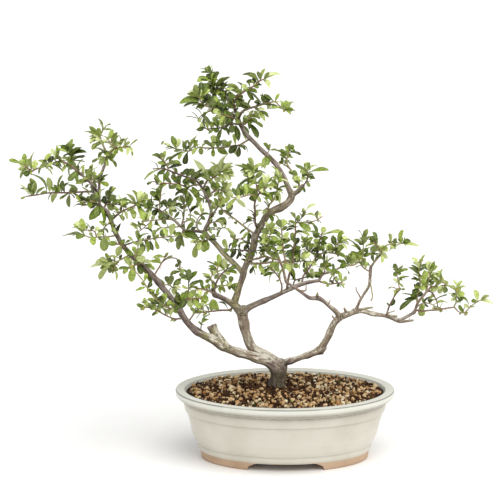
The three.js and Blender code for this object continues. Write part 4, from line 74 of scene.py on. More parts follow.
# Limbs: x, z, depth and radius of each point. Each starts inside the limb that it grows from.
LIMBS = {
  "limb_stump": [[-11, 68, 4, 12.3], [-11.5, 92, 4, 12.5], [-11.5, 100, 4, 12.3],
    [-11, 108, 4, 11.2], [-9.5, 118, 4, 10.8], [-8, 127, 4, 10.6], [-6.5, 134, 3.5, 9.2],
    [-4.5, 139, 3, 6]],
  "limb_left": [[-10, 118, 4, 8.5], [-16, 131, 2, 8.2], [-25, 136.8, 0, 7.6], [-36, 140, -3, 7],
    [-50, 145, -6, 6.8], [-64, 149, -9, 6.4], [-78, 154.5, -12, 6.2], [-88, 158.5, -14, 6],
    [-98, 167, -16, 5.6], [-110, 173, -18, 5.2], [-122, 180, -20, 5], [-132, 190, -22, 4.8],
    [-139, 200, -24, 4.6], [-144, 210, -25, 4.4], [-151, 220, -26, 4.2], [-158, 230, -26, 4.1],
    [-166, 240, -25, 3.9], [-173.5, 250, -23, 3.8], [-182, 260, -21, 3.7], [-190.6, 269, -19, 3.6],
    [-203, 280, -16, 3.5], [-212, 290, -13, 3.4], [-220, 300, -10, 3.4], [-225, 309, -8, 3.3],
    [-230, 319.5, -6, 3.2], [-233.5, 331, -4, 3], [-239.5, 344.5, -2, 2.8], [-246, 350, 0, 2.6],
    [-249, 356, 0, 2.4], [-249, 372, 3, 2.2], [-248, 388, 6, 2], [-241, 407, 8, 1.8],
    [-236, 420, 9, 1.6]],
  "limb_cut": [[-80, 155.5, -13, 6.6], [-88, 164, -12.5, 7.4], [-94.5, 173.5, -12, 7.2],
    [-98.5, 182, -11, 6], [-100.5, 187.5, -10, 5.8]],
  "limb_middle": [[-9, 122, 5, 7.5], [-14, 136, 6, 7.2], [-23, 143, 7, 6.8], [-34, 148, 7, 6.6],
    [-43, 154, 7, 6.6], [-48, 161, 7, 6.7], [-51, 170, 7, 6.8], [-54, 180, 8, 6.8], [-56, 190, 8, 6.7],
    [-58, 200, 8, 6.8], [-59, 208, 8, 7], [-60, 214, 8, 6]],
  "limb_leader": [[-59, 204, 8, 5.5], [-66, 212, 8, 5], [-69, 219, 8, 4.8], [-67, 226, 8, 4.6],
    [-65, 232, 7, 4.5], [-62.7, 240, 6, 4.3], [-60.5, 247, 5, 4.2], [-58, 255, 4, 4.1],
    [-55.4, 264.5, 3, 4.2], [-52.6, 272.5, 2, 4.4], [-48.5, 281, 0, 4.5], [-45.5, 290, -2, 4.5],
    [-42.7, 300, -4, 4.6], [-41, 310, -6, 4.7], [-35.5, 321, -8, 4.7], [-30, 331, -9, 4.6],
    [-25, 339, -10, 4.6], [-16.7, 345.5, -11, 4.7], [-8, 349.5, -12, 4.6], [0, 354.5, -12, 4.5],
    [5.3, 360, -11, 4.4], [7.5, 367, -10, 4.2], [4, 374, -8, 3.9], [1, 381.5, -6, 3.7],
    [-2.3, 389.5, -4, 3.6], [-6.7, 397.5, -2, 3.5], [-11.5, 405, 0, 3.5], [-16.7, 412, 2, 3.4],
    [-21.5, 417, 4, 3.4], [-32.5, 427, 7, 3.3], [-42.5, 437, 10, 3.1], [-49, 443.5, 12, 3],
    [-55.5, 451, 14, 2.8], [-60, 459.5, 16, 2.7], [-63, 468, 17, 2.6], [-65.5, 473.5, 18, 2.6]],
  "limb_right_up": [[-56, 207, 8, 4.5], [-48, 213, 9, 4.1], [-38, 218, 11, 4],
    [-28, 222.3, 13, 3.8], [-18, 226.7, 15, 3.6], [-8, 231.3, 17, 3.3], [0, 235.2, 19, 3.1],
    [8, 239, 21, 2.9], [16, 242.8, 23, 2.8], [24, 245.8, 25, 2.7], [32, 247.8, 27, 2.6],
    [40, 249.3, 29, 2.4], [46, 249.8, 30, 2.2]],
  "limb_side": [[-62, 209, 8, 5], [-71, 216.5, 5, 4.2], [-79, 222, 1, 3.6], [-87, 226.5, -4, 3.4],
    [-95, 230, -9, 3.3], [-97.5, 236.5, -12, 3], [-96, 243, -14, 2.6], [-99, 249.5, -16, 2.2]],
  "limb_upper": [[-56, 258, 4, 3.8], [-62, 266, 6, 3.7], [-70, 274, 9, 3.7], [-77, 281, 13, 3.7],
    [-84, 289, 17, 3.6], [-91, 297, 21, 3.5], [-98, 305, 25, 3.3], [-105, 311, 29, 3.1],
    [-110, 316, 32, 2.9]],
  "limb_upper_high": [[-108, 314, 31, 2.9], [-107.5, 321, 33, 2.8], [-104, 328, 35, 2.7],
    [-101.5, 335.5, 36, 2.6], [-100, 344.5, 38, 2.4], [-101.5, 352, 40, 2.3], [-103.5, 359, 41, 2.3],
    [-107.5, 368, 43, 2.2], [-112, 376, 45, 2.1], [-114, 381, 46, 2]],
  "limb_upper_left": [[-108, 315, 31, 2.4], [-115, 317.5, 34, 2.2], [-124, 318, 37, 2.1],
    [-134.5, 319, 40, 2], [-140, 323.5, 42, 2], [-147, 330.5, 44, 1.9], [-152.5, 335, 46, 1.9],
    [-158, 339.5, 47, 1.8], [-165, 343.5, 48, 1.7]],
  "limb_right": [[-6, 128, 3, 6], [0, 134.5, 2, 5], [8, 137.5, 0, 4.4], [20, 141.5, -2, 3.9],
    [30, 144.8, -3, 4], [40, 149, -5, 4.4], [48, 153.5, -6, 5.4], [53, 162, -8, 4.8],
    [58, 172, -9, 4.6], [62, 181, -10, 4.5], [66, 190, -12, 4.4], [71, 196, -13, 4.2],
    [76, 200, -14, 4]],
  "limb_right_back": [[74, 199, -14, 3.6], [68, 207, -15, 3.3], [60, 214, -16, 3.1],
    [52, 221, -17, 3], [44, 225.5, -18, 3], [34, 225.5, -17, 2.6], [28, 229, -16, 2.4],
    [21, 234, -15, 2.2], [14, 239, -14, 2.1], [7, 244, -14, 2], [1, 248, -14, 1.9], [-1, 255, -15, 1.8],
    [-3, 264, -16, 1.7], [-6, 273, -17, 1.6], [-10, 283, -18, 1.4], [-13, 292, -19, 1.2]],
  "limb_right_far": [[75, 200, -14, 4], [85, 203, -13, 3.9], [93, 206.5, -12, 3.8],
    [101, 208, -10, 3.7], [109, 206.5, -8, 3.5], [118, 203.5, -5, 3.3], [127, 202, -2, 3.1],
    [136, 200.5, 2, 3], [145, 197, 6, 2.7], [151, 194.5, 9, 2.4], [155, 192.5, 10, 2.2],
    [163, 193, 12, 1.8], [174, 194.5, 14, 1.4]],
  "limb_right_tip": [[152, 193.5, 9, 2.6], [162, 198, 13, 2.4], [168, 201.5, 16, 2.3],
    [175, 206, 19, 2.2], [177, 212, 21, 2], [180, 220, 23, 1.9], [186, 228, 25, 1.8],
    [190, 233, 26, 1.6], [194, 238, 27, 1.5], [198, 243, 28, 1.3]],
  "limb_pale": [[95, 208, -12, 2.8], [98, 215, -14, 2.2], [101, 222, -16, 2.1], [106, 231, -18, 2],
    [111, 239, -19, 1.9], [113.5, 246, -20, 2.1], [114, 255, -20, 2.1], [114.5, 264, -20, 2.2],
    [115, 271, -20, 1.9]],
  "limb_stub_right": [[7, 367, -10, 3.6], [12, 369.5, -11, 3.2], [17, 373, -12, 3.1],
    [21, 377.5, -13, 3], [23.5, 380.5, -14, 2.6]],
  "bare_loop": [[134, 202, 2, 1.8], [145, 200.5, 0, 1.8], [152, 200.5, -1, 2.2]],
  "bare_elbow": [[84, 203, -13, 2.8], [82, 207, -15, 2.4], [80, 211.5, -17, 1.4]],
  "bare_spur": [[97, 208, -11, 2], [108, 211, -16, 1.6], [118, 212.5, -20, 1.3]],
  "bare_low": [[70, 195, -13, 1.6], [66, 197.5, -17, 1.2], [63.5, 200.5, -20, 0.9]],
  "bare_grey": [[102, 225, -17, 1], [99, 231, -12, 0.8], [96, 236, -9, 0.7], [95, 241, -7, 0.6]],
  "bare_hook": [[114, 247, -20, 1], [116, 240, -26, 0.9], [117, 233, -29, 0.8],
    [118, 228, -31, 0.8], [116, 222, -33, 1.2]],
  "bare_cross": [[14, 238, -14, 1.2], [21, 236, -19, 1], [27, 236, -22, 1], [28, 243, -24, 0.7]],
  "bare_bud": [[44, 225, -18, 1.6], [43, 229, -22, 1.9], [43.5, 233, -24, 1]],
  "bare_thorn": [[58, 216, -16, 0.9], [59, 219, -19, 0.8], [61, 223, -21, 0.5]],
  "bare_tip": [[136, 201, 2, 1], [141, 205, -2, 0.8], [149, 208, -5, 0.6]],
}

# Leafy sprays. A twig is its parent (a limb, or an earlier twig of the spray), its radius at the
# root and at the end, and its points. A leaf is where it leaves the twig, its tip and how wide
# it looks. fill is how many leaves grow besides, by the rule in fill_leaf.
SPRAYS = [
  {"name": "spray_crown_left", "fill": 5, "twigs": [
    ["limb_left", 1.6, 0.8, [[-237, 418, 9], [-242, 433, 12], [-246, 443, 14], [-243, 452, 15],
      [-237, 460, 15]]],
    ["limb_left", 1.3, 0.8, [[-236, 419, 9], [-229, 428, 4], [-228, 434, 1], [-236, 441, -2]]],
    [1, 1.0, 0.7, [[-229, 429, 4], [-218, 431, 0], [-208, 432, -4]]]],
   "leaves": [[-253, 443, -260, 459, 7], [-246, 443, -248, 457, 5], [-237, 459, -231, 462, 2],
    [-241, 455, -247, 464, 2], [-241, 454, -230, 454, 3], [-250, 441, -267, 452, 2],
    [-246, 441, -256, 441, 4], [-244, 436, -257, 431, 4], [-237, 441, -243, 439, 4],
    [-236, 441, -233, 447, 3], [-228, 430, -224, 451, 7], [-226, 430, -221, 447, 5],
    [-238, 409, -223, 431, 9], [-239, 428, -230, 415, 5], [-219, 429, -203, 425, 5],
    [-217, 431, -205, 431, 3], [-221, 431, -214, 443, 5], [-214, 432, -207, 439, 4],
    [-239, 411, -251, 415, 4], [-240, 405, -226, 404, 3], [-244, 399, -257, 410, 3]]},
  {"name": "spray_stem_left", "fill": 3, "twigs": [
    ["limb_left", 1.2, 0.7, [[-248, 383, 5], [-256, 387, 0], [-261, 393, -4]]]],
   "leaves": [[-259, 391, -252, 397, 6], [-257, 386, -280, 382, 6], [-250, 384, -236, 379, 6],
    [-248, 386, -240, 389, 4], [-261, 393, -266, 402, 5], [-256, 387, -250, 392, 5],
    [-254, 385, -254, 372, 5]]},
  {"name": "spray_far_left_high", "fill": 4, "twigs": [
    ["limb_left", 2.2, 1.3, [[-249, 367, 3], [-254, 375, 0], [-258, 381, -4], [-268.5, 391.5, -9],
      [-279, 400.5, -14], [-286, 406, -17], [-295, 411.5, -20], [-303, 417, -22]]],
    [0, 1.4, 0.9, [[-297, 412, -20], [-305, 411, -24], [-313, 408, -27], [-321.5, 405, -30],
      [-331.5, 402, -33], [-338, 398, -35]]],
    [0, 1.2, 0.8, [[-285, 405, -16], [-283.5, 412.5, -12], [-285.5, 421.5, -9], [-287.5, 426, -8]]],
    [1, 1.0, 0.7, [[-336, 399, -34], [-343, 403, -38], [-348, 408, -40]]]],
   "leaves": [[-341, 402, -354, 414, 9], [-343, 404, -349, 417, 8], [-340, 401, -348, 393, 8],
    [-336, 401, -332, 414, 8], [-341, 402, -356, 402, 6], [-344, 405, -340, 416, 7],
    [-348, 407, -367, 415, 4], [-338, 402, -334, 425, 4], [-346, 404, -353, 389, 4],
    [-330, 403, -318, 411, 6], [-319, 407, -311, 423, 5], [-313, 409, -317, 418, 4],
    [-306, 411, -300, 424, 3], [-317, 406, -310, 401, 3], [-287, 425, -298, 434, 9],
    [-287, 425, -290, 436, 8], [-286, 423, -306, 427, 4], [-286, 424, -281, 436, 5],
    [-285, 420, -270, 431, 6], [-285, 419, -264, 424, 5], [-284, 416, -266, 419, 3],
    [-284, 415, -298, 416, 3], [-283, 411, -268, 417, 2], [-279, 400, -275, 407, 5],
    [-277, 399, -276, 393, 5], [-278, 400, -290, 386, 8], [-298, 413, -302, 420, 3]]},
  {"name": "spray_far_left_mid", "fill": 4, "twigs": [
    ["limb_left", 1.5, 0.9, [[-249, 363, 2], [-258, 371, 8], [-273.5, 371, 12], [-288, 370, 16],
      [-303, 370, 20], [-318, 369.5, 23], [-332.5, 367, 26], [-346.5, 365, 28]]]],
   "leaves": [[-303, 370, -315, 378, 4], [-303, 371, -309, 381, 4], [-303, 370, -297, 383, 5],
    [-303, 369, -312, 356, 6], [-300, 371, -288, 384, 4], [-303, 371, -297, 394, 3],
    [-289, 370, -278, 377, 8], [-288, 369, -289, 350, 6], [-288, 369, -302, 361, 3],
    [-286, 369, -275, 358, 4], [-336, 367, -340, 390, 8], [-338, 367, -334, 385, 5],
    [-336, 367, -355, 376, 4], [-341, 366, -354, 382, 3], [-334, 367, -321, 378, 4],
    [-328, 368, -318, 372, 4], [-318, 370, -342, 396, 3], [-315, 370, -316, 391, 8],
    [-346, 365, -354, 362, 3], [-310, 370, -312, 379, 3], [-270, 371, -278, 362, 4]]},
  {"name": "spray_left_knot_front", "fill": 4, "twigs": [
    ["limb_left", 1.7, 0.9, [[-247, 351.5, 0], [-252, 355, -9], [-258, 358, -15], [-268, 357, -19]]],
    [0, 1.0, 0.7, [[-256, 357, -13], [-264, 354, -17], [-273, 352, -20]]]],
   "leaves": [[-251, 353, -263, 333, 11], [-250, 352, -245, 325, 6], [-252, 354, -263, 351, 6],
    [-256, 357, -266, 364, 7], [-257, 358, -258, 369, 7], [-260, 357, -271, 362, 5],
    [-262, 356, -279, 366, 3], [-254, 356, -252, 371, 6], [-268, 357, -280, 363, 4],
    [-270, 353, -284, 351, 2], [-255, 356, -249, 363, 5]]},
  {"name": "spray_left_knot_back", "fill": 4, "twigs": [
    ["limb_left", 1.6, 0.9, [[-243, 349, -1], [-240, 355, 8], [-237, 361, 14], [-235, 366, 17]]],
    [0, 1.0, 0.7, [[-240, 355, 8], [-232, 354, 11], [-224, 354, 13], [-218, 352, 14]]]],
   "leaves": [[-238, 360, -236, 374, 9], [-239, 357, -227, 364, 8], [-240, 355, -229, 348, 9],
    [-240, 355, -243, 366, 6], [-234, 354, -221, 360, 6], [-230, 354, -224, 345, 5],
    [-224, 354, -212, 350, 5], [-219, 352, -210, 356, 5], [-238, 358, -246, 362, 4],
    [-228, 354, -212, 364, 3]]},
  {"name": "spray_left_inner", "fill": 4, "twigs": [
    ["limb_left", 1.5, 1.0, [[-232, 333, -4], [-222, 343, -14], [-210, 349, -22], [-201, 353, -28],
      [-196, 357, -32]]],
    [0, 0.9, 0.7, [[-225, 341, -11], [-220, 347, -18], [-219, 352, -21]]]],
   "leaves": [[-198, 355, -204, 374, 4], [-197, 356, -193, 373, 8], [-200, 354, -214, 369, 5],
    [-196, 357, -184, 368, 8], [-199, 354, -226, 358, 3], [-200, 353, -209, 358, 3],
    [-200, 353, -190, 333, 8], [-199, 354, -187, 348, 3], [-196, 357, -186, 360, 5],
    [-205, 351, -212, 344, 4]]},
  {"name": "spray_left_tendril", "fill": 1, "twigs": [
    ["limb_left", 1.0, 0.7, [[-231, 331, -4], [-240, 326, -14], [-246, 319, -20]]]],
   "leaves": [[-244, 321, -251, 315, 4], [-243, 323, -238, 315, 3]]},
  {"name": "spray_left_low", "fill": 4, "twigs": [
    ["limb_left", 1.2, 0.8, [[-228, 311.5, -8], [-240, 310, -20], [-250, 310, -28], [-261, 309, -35],
      [-270, 312, -40]]],
    [0, 0.9, 0.7, [[-254, 310, -30], [-256, 317, -34], [-262, 319, -38], [-271, 319, -42]]]],
   "leaves": [[-270, 312, -285, 328, 8], [-270, 311, -300, 311, 4], [-270, 318, -276, 328, 6],
    [-268, 311, -282, 310, 8], [-263, 309, -254, 305, 4], [-256, 317, -250, 323, 6],
    [-255, 313, -245, 316, 5], [-262, 319, -257, 325, 5], [-252, 310, -246, 306, 4],
    [-268, 319, -266, 326, 3], [-244, 310, -244, 290, 12], [-258, 309, -263, 316, 5]]},
  {"name": "spray_left_broad", "fill": 1, "twigs": [
    ["limb_left", 1.3, 0.8, [[-213, 296, -13], [-221, 299, -22], [-228, 300, -27]]]],
   "leaves": [[-226, 300, -239, 301, 7], [-220, 299, -227, 283, 9], [-222, 300, -216, 307, 5],
    [-215, 297, -205, 284, 7]]},
  {"name": "spray_left_reach", "fill": 4, "twigs": [
    ["limb_left", 1.2, 0.7, [[-217, 299, -11], [-204.5, 302.5, -20], [-196, 304.5, -27],
      [-187, 306, -33], [-177, 308, -39], [-163.5, 309.5, -46], [-149, 310.5, -52]]]],
   "leaves": [[-204, 303, -212, 311, 3], [-198, 304, -199, 319, 6], [-196, 304, -190, 290, 7],
    [-187, 306, -181, 312, 5], [-190, 305, -181, 298, 7], [-178, 308, -175, 320, 6],
    [-176, 308, -170, 313, 5], [-163, 310, -168, 319, 8], [-158, 310, -164, 323, 6],
    [-153, 310, -154, 302, 7], [-149, 310, -143, 315, 3]]},
  {"name": "spray_left_bright", "fill": 5, "twigs": [
    ["limb_left", 1.4, 0.8, [[-199, 277, -16], [-203, 282, -28], [-200, 290, -34], [-198, 298, -38]]],
    ["limb_left", 1.2, 0.8, [[-196, 273, -17], [-206, 270, -28], [-214, 268, -34]]]],
   "leaves": [[-202, 284, -191, 297, 9], [-201, 287, -205, 297, 6], [-203, 282, -188, 281, 9],
    [-207, 270, -217, 282, 8], [-208, 270, -209, 281, 6], [-204, 271, -197, 281, 6],
    [-212, 269, -219, 259, 6], [-207, 270, -206, 258, 5], [-203, 271, -209, 248, 10],
    [-200, 272, -193, 259, 8], [-198, 273, -181, 246, 9], [-197, 273, -182, 276, 4],
    [-197, 273, -176, 265, 4], [-198, 298, -193, 305, 5]]},
  {"name": "spray_left_shelf", "fill": 4, "twigs": [
    ["limb_left", 1.3, 0.8, [[-209, 286, -14], [-220.5, 279.5, -2], [-228, 276, 6], [-236, 272.5, 13]]],
    [0, 0.9, 0.7, [[-226, 277, 4], [-230, 270, 10], [-232, 265, 13]]]],
   "leaves": [[-236, 273, -256, 276, 8], [-235, 273, -250, 281, 7], [-233, 274, -240, 282, 5],
    [-236, 272, -226, 263, 7], [-236, 272, -249, 266, 6], [-235, 272, -264, 268, 5],
    [-234, 273, -251, 251, 7], [-230, 276, -233, 285, 3], [-232, 265, -229, 250, 3],
    [-224, 278, -220, 286, 4]]},
  {"name": "spray_left_arc", "fill": 2, "twigs": [
    ["limb_left", 1.1, 0.7, [[-175.4, 258, -23], [-170, 269, -34], [-164.6, 278, -41],
      [-159, 286, -47]]],
    [0, 0.9, 0.7, [[-165, 278, -41], [-156, 281, -45], [-148, 280.5, -49], [-143, 276, -52],
      [-143, 268, -54], [-142, 262, -55]]]],
   "leaves": [[-163, 281, -158, 289, 4], [-162, 282, -180, 281, 3], [-168, 273, -177, 279, 3],
    [-146, 280, -140, 274, 5], [-143, 274, -149, 269, 5], [-143, 268, -138, 260, 6],
    [-142, 263, -151, 259, 3]]},
  {"name": "spray_low_left", "fill": 4, "twigs": [
    ["limb_left", 1.2, 0.8, [[-139, 196, -24], [-150, 196.5, -34], [-160.5, 200.5, -40],
      [-168, 204.5, -44], [-176, 209, -48], [-183, 212, -51], [-190.5, 212.5, -53]]]],
   "leaves": [[-188, 212, -202, 217, 5], [-189, 212, -197, 210, 4], [-174, 208, -181, 201, 4],
    [-183, 212, -194, 221, 5], [-180, 211, -187, 219, 5], [-176, 209, -182, 222, 6],
    [-174, 208, -169, 219, 6], [-168, 205, -174, 214, 6], [-162, 202, -166, 212, 5],
    [-150, 197, -156, 193, 3], [-146, 196, -152, 192, 3]]},
  {"name": "spray_low_climber", "fill": 5, "twigs": [
    ["limb_left", 1.4, 0.7, [[-146, 211, -25], [-154, 211, -36], [-161, 213, -42], [-168, 217, -46],
      [-176.5, 225.5, -50], [-182, 232, -53], [-187.5, 241, -56], [-192, 249, -59], [-199, 258, -62],
      [-207, 267, -65]]]],
   "leaves": [[-188, 242, -203, 235, 4], [-189, 243, -195, 248, 5], [-186, 239, -181, 248, 6],
    [-184, 236, -177, 235, 4], [-174, 222, -176, 232, 4], [-166, 216, -162, 233, 9],
    [-168, 217, -173, 227, 7], [-160, 212, -156, 223, 7], [-170, 219, -181, 219, 6],
    [-173, 222, -187, 224, 5], [-157, 211, -158, 203, 7], [-153, 211, -147, 204, 6],
    [-163, 214, -172, 212, 5], [-152, 211, -153, 220, 6]]},
  {"name": "spray_mid_mass", "fill": 6, "twigs": [
    ["limb_left", 1.5, 0.8, [[-145, 214, -25], [-140, 219, -36], [-132, 224, -43], [-124, 225, -48],
      [-114, 225, -52]]],
    [0, 1.0, 0.7, [[-132, 224, -43], [-131, 236, -39], [-131, 248, -36], [-130, 259, -33]]]],
   "leaves": [[-142, 218, -148, 231, 9], [-139, 220, -139, 234, 8], [-135, 222, -131, 234, 8],
    [-131, 224, -125, 235, 8], [-127, 225, -117, 219, 9], [-123, 225, -114, 231, 8],
    [-117, 225, -104, 226, 10], [-114, 225, -107, 217, 7], [-134, 223, -141, 212, 8],
    [-141, 218, -149, 209, 7], [-130, 224, -128, 212, 8], [-124, 225, -121, 214, 6],
    [-143, 217, -151, 224, 6], [-139, 220, -149, 235, 6], [-131, 248, -130, 266, 8],
    [-131, 237, -134, 228, 7], [-131, 238, -125, 245, 5], [-131, 239, -140, 243, 4],
    [-130, 250, -142, 254, 3], [-131, 252, -119, 263, 6], [-130, 243, -112, 250, 5],
    [-130, 254, -144, 259, 5], [-120, 225, -127, 237, 6]]},
  {"name": "spray_mid_under", "fill": 3, "twigs": [
    ["limb_left", 1.2, 0.8, [[-131, 192, -22], [-124, 203.5, -9], [-116.5, 211, 0], [-111, 217, 7]]]],
   "leaves": [[-112, 216, -103, 223, 4], [-119, 209, -122, 219, 4], [-117, 211, -114, 219, 4],
    [-121, 206, -129, 212, 5], [-122, 205, -112, 206, 3]]},
  {"name": "spray_limb_leaves", "fill": 1, "twigs": [
    ["limb_left", 1.0, 0.7, [[-114, 178, -18], [-114.5, 186, -24], [-114, 190, -27]]]],
   "leaves": [[-114, 190, -104, 196, 4], [-114, 187, -118, 193, 3]]},
  {"name": "spray_left_pair", "fill": 2, "twigs": [
    ["limb_left", 1.1, 0.8, [[-167, 244, -25], [-159, 244, -13], [-152, 240, -5]]]],
   "leaves": [[-158, 243, -162, 256, 7], [-156, 242, -153, 257, 8], [-152, 240, -142, 248, 6],
    [-152, 240, -147, 235, 8], [-153, 241, -151, 229, 4]]},
  {"name": "spray_side_reach", "fill": 3, "twigs": [
    ["limb_side", 1.5, 0.9, [[-96, 232, -10], [-103, 235, -22], [-109, 237, -29], [-117, 238, -35],
      [-122, 236, -38]]]],
   "leaves": [[-117, 238, -126, 241, 4], [-110, 237, -115, 246, 4], [-104, 235, -110, 228, 5],
    [-120, 237, -128, 233, 4]]},
  {"name": "spray_side_high", "fill": 5, "twigs": [
    ["limb_side", 1.4, 0.8, [[-97, 240, -13], [-91, 252, -20], [-86, 259, -24], [-81, 264, -27],
      [-75, 268, -29]]],
    [0, 1.1, 0.7, [[-89, 255, -22], [-92, 262, -30], [-91, 269, -36]]]],
   "leaves": [[-77, 267, -66, 270, 6], [-79, 266, -84, 281, 9], [-82, 264, -92, 279, 6],
    [-86, 259, -79, 253, 5], [-84, 261, -74, 261, 6], [-92, 264, -104, 270, 5], [-91, 267, -96, 277, 4],
    [-91, 260, -96, 252, 5], [-88, 256, -82, 251, 4]]},
  {"name": "spray_side_tuft", "fill": 2, "twigs": [
    ["limb_side", 1.2, 0.8, [[-99, 247, -16], [-101, 253, -10], [-98, 259, -5]]]],
   "leaves": [[-101, 254, -110, 257, 7], [-99, 257, -92, 264, 5], [-101, 252, -108, 247, 5],
    [-98, 259, -101, 268, 4]]},
  {"name": "spray_side_right", "fill": 2, "twigs": [
    ["limb_side", 1.1, 0.7, [[-96, 238, -13], [-89, 243, -2], [-82, 243, 5], [-75, 243, 10]]]],
   "leaves": [[-82, 243, -72, 247, 5], [-76, 243, -67, 240, 3], [-90, 242, -84, 237, 5],
    [-88, 243, -80, 251, 3], [-92, 241, -88, 232, 3]]},
  {"name": "spray_side_under", "fill": 3, "twigs": [
    ["limb_side", 1.5, 0.9, [[-70, 214, 5], [-76, 209, 16], [-87, 208.5, 24], [-100, 207, 31],
      [-109, 206, 36], [-120, 204.5, 41]]]],
   "leaves": [[-89, 208, -101, 223, 13], [-104, 207, -107, 215, 3], [-110, 206, -117, 217, 4],
    [-118, 205, -126, 207, 5], [-106, 206, -112, 200, 4]]},
  {"name": "spray_upper_reach", "fill": 6, "twigs": [
    ["limb_upper_left", 1.4, 0.8, [[-163, 342, 48], [-170, 347, 54], [-178, 350, 59], [-186, 351, 63]]],
    [0, 1.0, 0.7, [[-168, 346, 52], [-169, 355, 47], [-167, 364, 43], [-167, 372, 40]]],
    [0, 1.0, 0.7, [[-165, 344, 49], [-157, 350, 53], [-150, 352, 56]]]],
   "leaves": [[-170, 357, -181, 372, 8], [-167, 364, -172, 377, 6], [-167, 366, -165, 380, 4],
    [-159, 349, -163, 361, 7], [-157, 350, -154, 363, 7], [-155, 351, -146, 358, 6],
    [-178, 350, -188, 344, 6], [-178, 350, -184, 359, 7], [-172, 348, -178, 339, 8],
    [-170, 347, -166, 337, 7], [-153, 351, -146, 344, 6], [-156, 350, -152, 338, 5],
    [-152, 351, -142, 366, 5], [-150, 352, -138, 354, 4], [-180, 350, -190, 352, 5],
    [-169, 354, -160, 357, 5], [-161, 347, -158, 337, 5]]},
  {"name": "spray_upper_low", "fill": 5, "twigs": [
    ["limb_upper_left", 1.1, 0.7, [[-151, 333, 45], [-160, 334, 36], [-172, 333, 30], [-182, 332, 25],
      [-190, 331, 21]]],
    [0, 0.8, 0.6, [[-179, 332, 27], [-186, 326, 23], [-192, 321, 20], [-197, 317, 18]]]],
   "leaves": [[-183, 332, -187, 339, 7], [-170, 333, -164, 343, 9], [-167, 333, -160, 328, 6],
    [-174, 333, -172, 326, 5], [-180, 332, -175, 339, 5], [-190, 321, -178, 314, 3],
    [-162, 334, -156, 339, 5]]},
  {"name": "spray_upper_shelf", "fill": 2, "twigs": [
    ["limb_upper_left", 1.0, 0.7, [[-141, 325, 42], [-152, 322.5, 33], [-160, 322.5, 29],
      [-169, 322.5, 25]]]],
   "leaves": [[-162, 322, -163, 311, 10], [-154, 322, -149, 312, 5], [-158, 322, -150, 327, 4],
    [-167, 322, -174, 316, 3]]},
  {"name": "spray_upper_hang", "fill": 2, "twigs": [
    ["limb_upper_left", 1.3, 0.8, [[-134, 319, 40], [-139, 315, 33], [-143, 310, 29]]]],
   "leaves": [[-139, 315, -149, 304, 7], [-142, 311, -144, 292, 8], [-137, 316, -117, 306, 10],
    [-138, 316, -151, 314, 4], [-138, 316, -130, 308, 6]]},
  {"name": "spray_upper_drop", "fill": 2, "twigs": [
    ["limb_upper", 1.3, 0.8, [[-101, 307, 27], [-107, 305, 18], [-113, 304, 12], [-120, 303, 8]]]],
   "leaves": [[-118, 303, -122, 281, 8], [-104, 306, -111, 289, 10], [-110, 305, -108, 297, 8],
    [-108, 305, -115, 313, 5], [-102, 306, -95, 314, 6]]},
  {"name": "spray_upper_fork", "fill": 3, "twigs": [
    ["limb_upper_left", 1.0, 0.7, [[-115, 317.5, 34], [-120, 325, 26], [-118, 334, 20],
      [-113, 341, 16]]]],
   "leaves": [[-119, 324, -127, 319, 5], [-120, 328, -134, 333, 5], [-114, 340, -123, 345, 5],
    [-113, 341, -110, 349, 5], [-114, 339, -108, 333, 5], [-119, 331, -112, 327, 4]]},
  {"name": "spray_upper_post", "fill": 4, "twigs": [
    ["limb_upper_left", 1.3, 0.8, [[-140, 323.5, 42], [-137, 336, 47], [-136, 349, 52], [-137, 360, 56],
      [-137, 370, 59]]],
    [0, 1.0, 0.7, [[-138, 329, 44], [-129, 334, 52], [-128, 344, 58], [-131, 352, 62],
      [-134, 360, 65]]]],
   "leaves": [[-130, 350, -127, 366, 11], [-136, 352, -140, 367, 6], [-137, 356, -145, 364, 5],
    [-131, 352, -142, 350, 5], [-129, 347, -121, 349, 4], [-134, 359, -131, 368, 4],
    [-137, 368, -133, 376, 5]]},
  {"name": "spray_upper_brown", "fill": 7, "twigs": [
    ["limb_upper_high", 1.6, 0.8, [[-113, 378, 45], [-119, 386, 36], [-126, 389, 31], [-135, 392, 26],
      [-145.5, 396, 21], [-157.5, 400.5, 16], [-167, 402.5, 12], [-177, 402, 8]]],
    [0, 1.0, 0.6, [[-156, 400, 16], [-159, 408, 12], [-163, 414, 9], [-168, 419, 7]]]],
   "leaves": [[-164, 415, -178, 421, 4], [-158, 405, -147, 412, 6], [-159, 409, -171, 411, 5],
    [-158, 406, -140, 411, 5], [-157, 402, -138, 408, 5], [-161, 411, -150, 419, 3],
    [-160, 401, -170, 395, 5], [-168, 402, -189, 387, 3], [-157, 400, -161, 388, 6],
    [-149, 397, -149, 386, 7], [-140, 394, -129, 402, 7], [-133, 391, -122, 402, 7],
    [-128, 390, -115, 397, 7], [-138, 393, -150, 385, 8], [-130, 390, -133, 380, 8],
    [-144, 395, -148, 404, 5], [-122, 388, -108, 394, 6], [-124, 388, -111, 402, 5],
    [-126, 389, -138, 384, 8]]},
  {"name": "spray_upper_nest", "fill": 6, "twigs": [
    ["limb_upper_high", 1.5, 0.9, [[-114, 380, 46], [-121, 381, 54], [-129, 378, 60], [-136, 372, 65]]],
    [0, 1.1, 0.7, [[-131, 377, 61], [-141, 381, 57], [-150, 382, 53], [-163, 382.5, 49],
      [-170.5, 381.5, 46], [-175, 385, 44], [-182, 384, 42]]]],
   "leaves": [[-126, 379, -117, 362, 9], [-131, 377, -142, 371, 7], [-135, 373, -147, 375, 6],
    [-142, 381, -155, 376, 6], [-136, 372, -148, 366, 4], [-135, 373, -130, 363, 6],
    [-122, 381, -129, 390, 7], [-141, 381, -147, 391, 7], [-152, 382, -160, 392, 6],
    [-163, 382, -172, 388, 4], [-158, 382, -171, 376, 5], [-118, 381, -109, 386, 5],
    [-128, 379, -137, 387, 7], [-146, 382, -139, 375, 6]]},
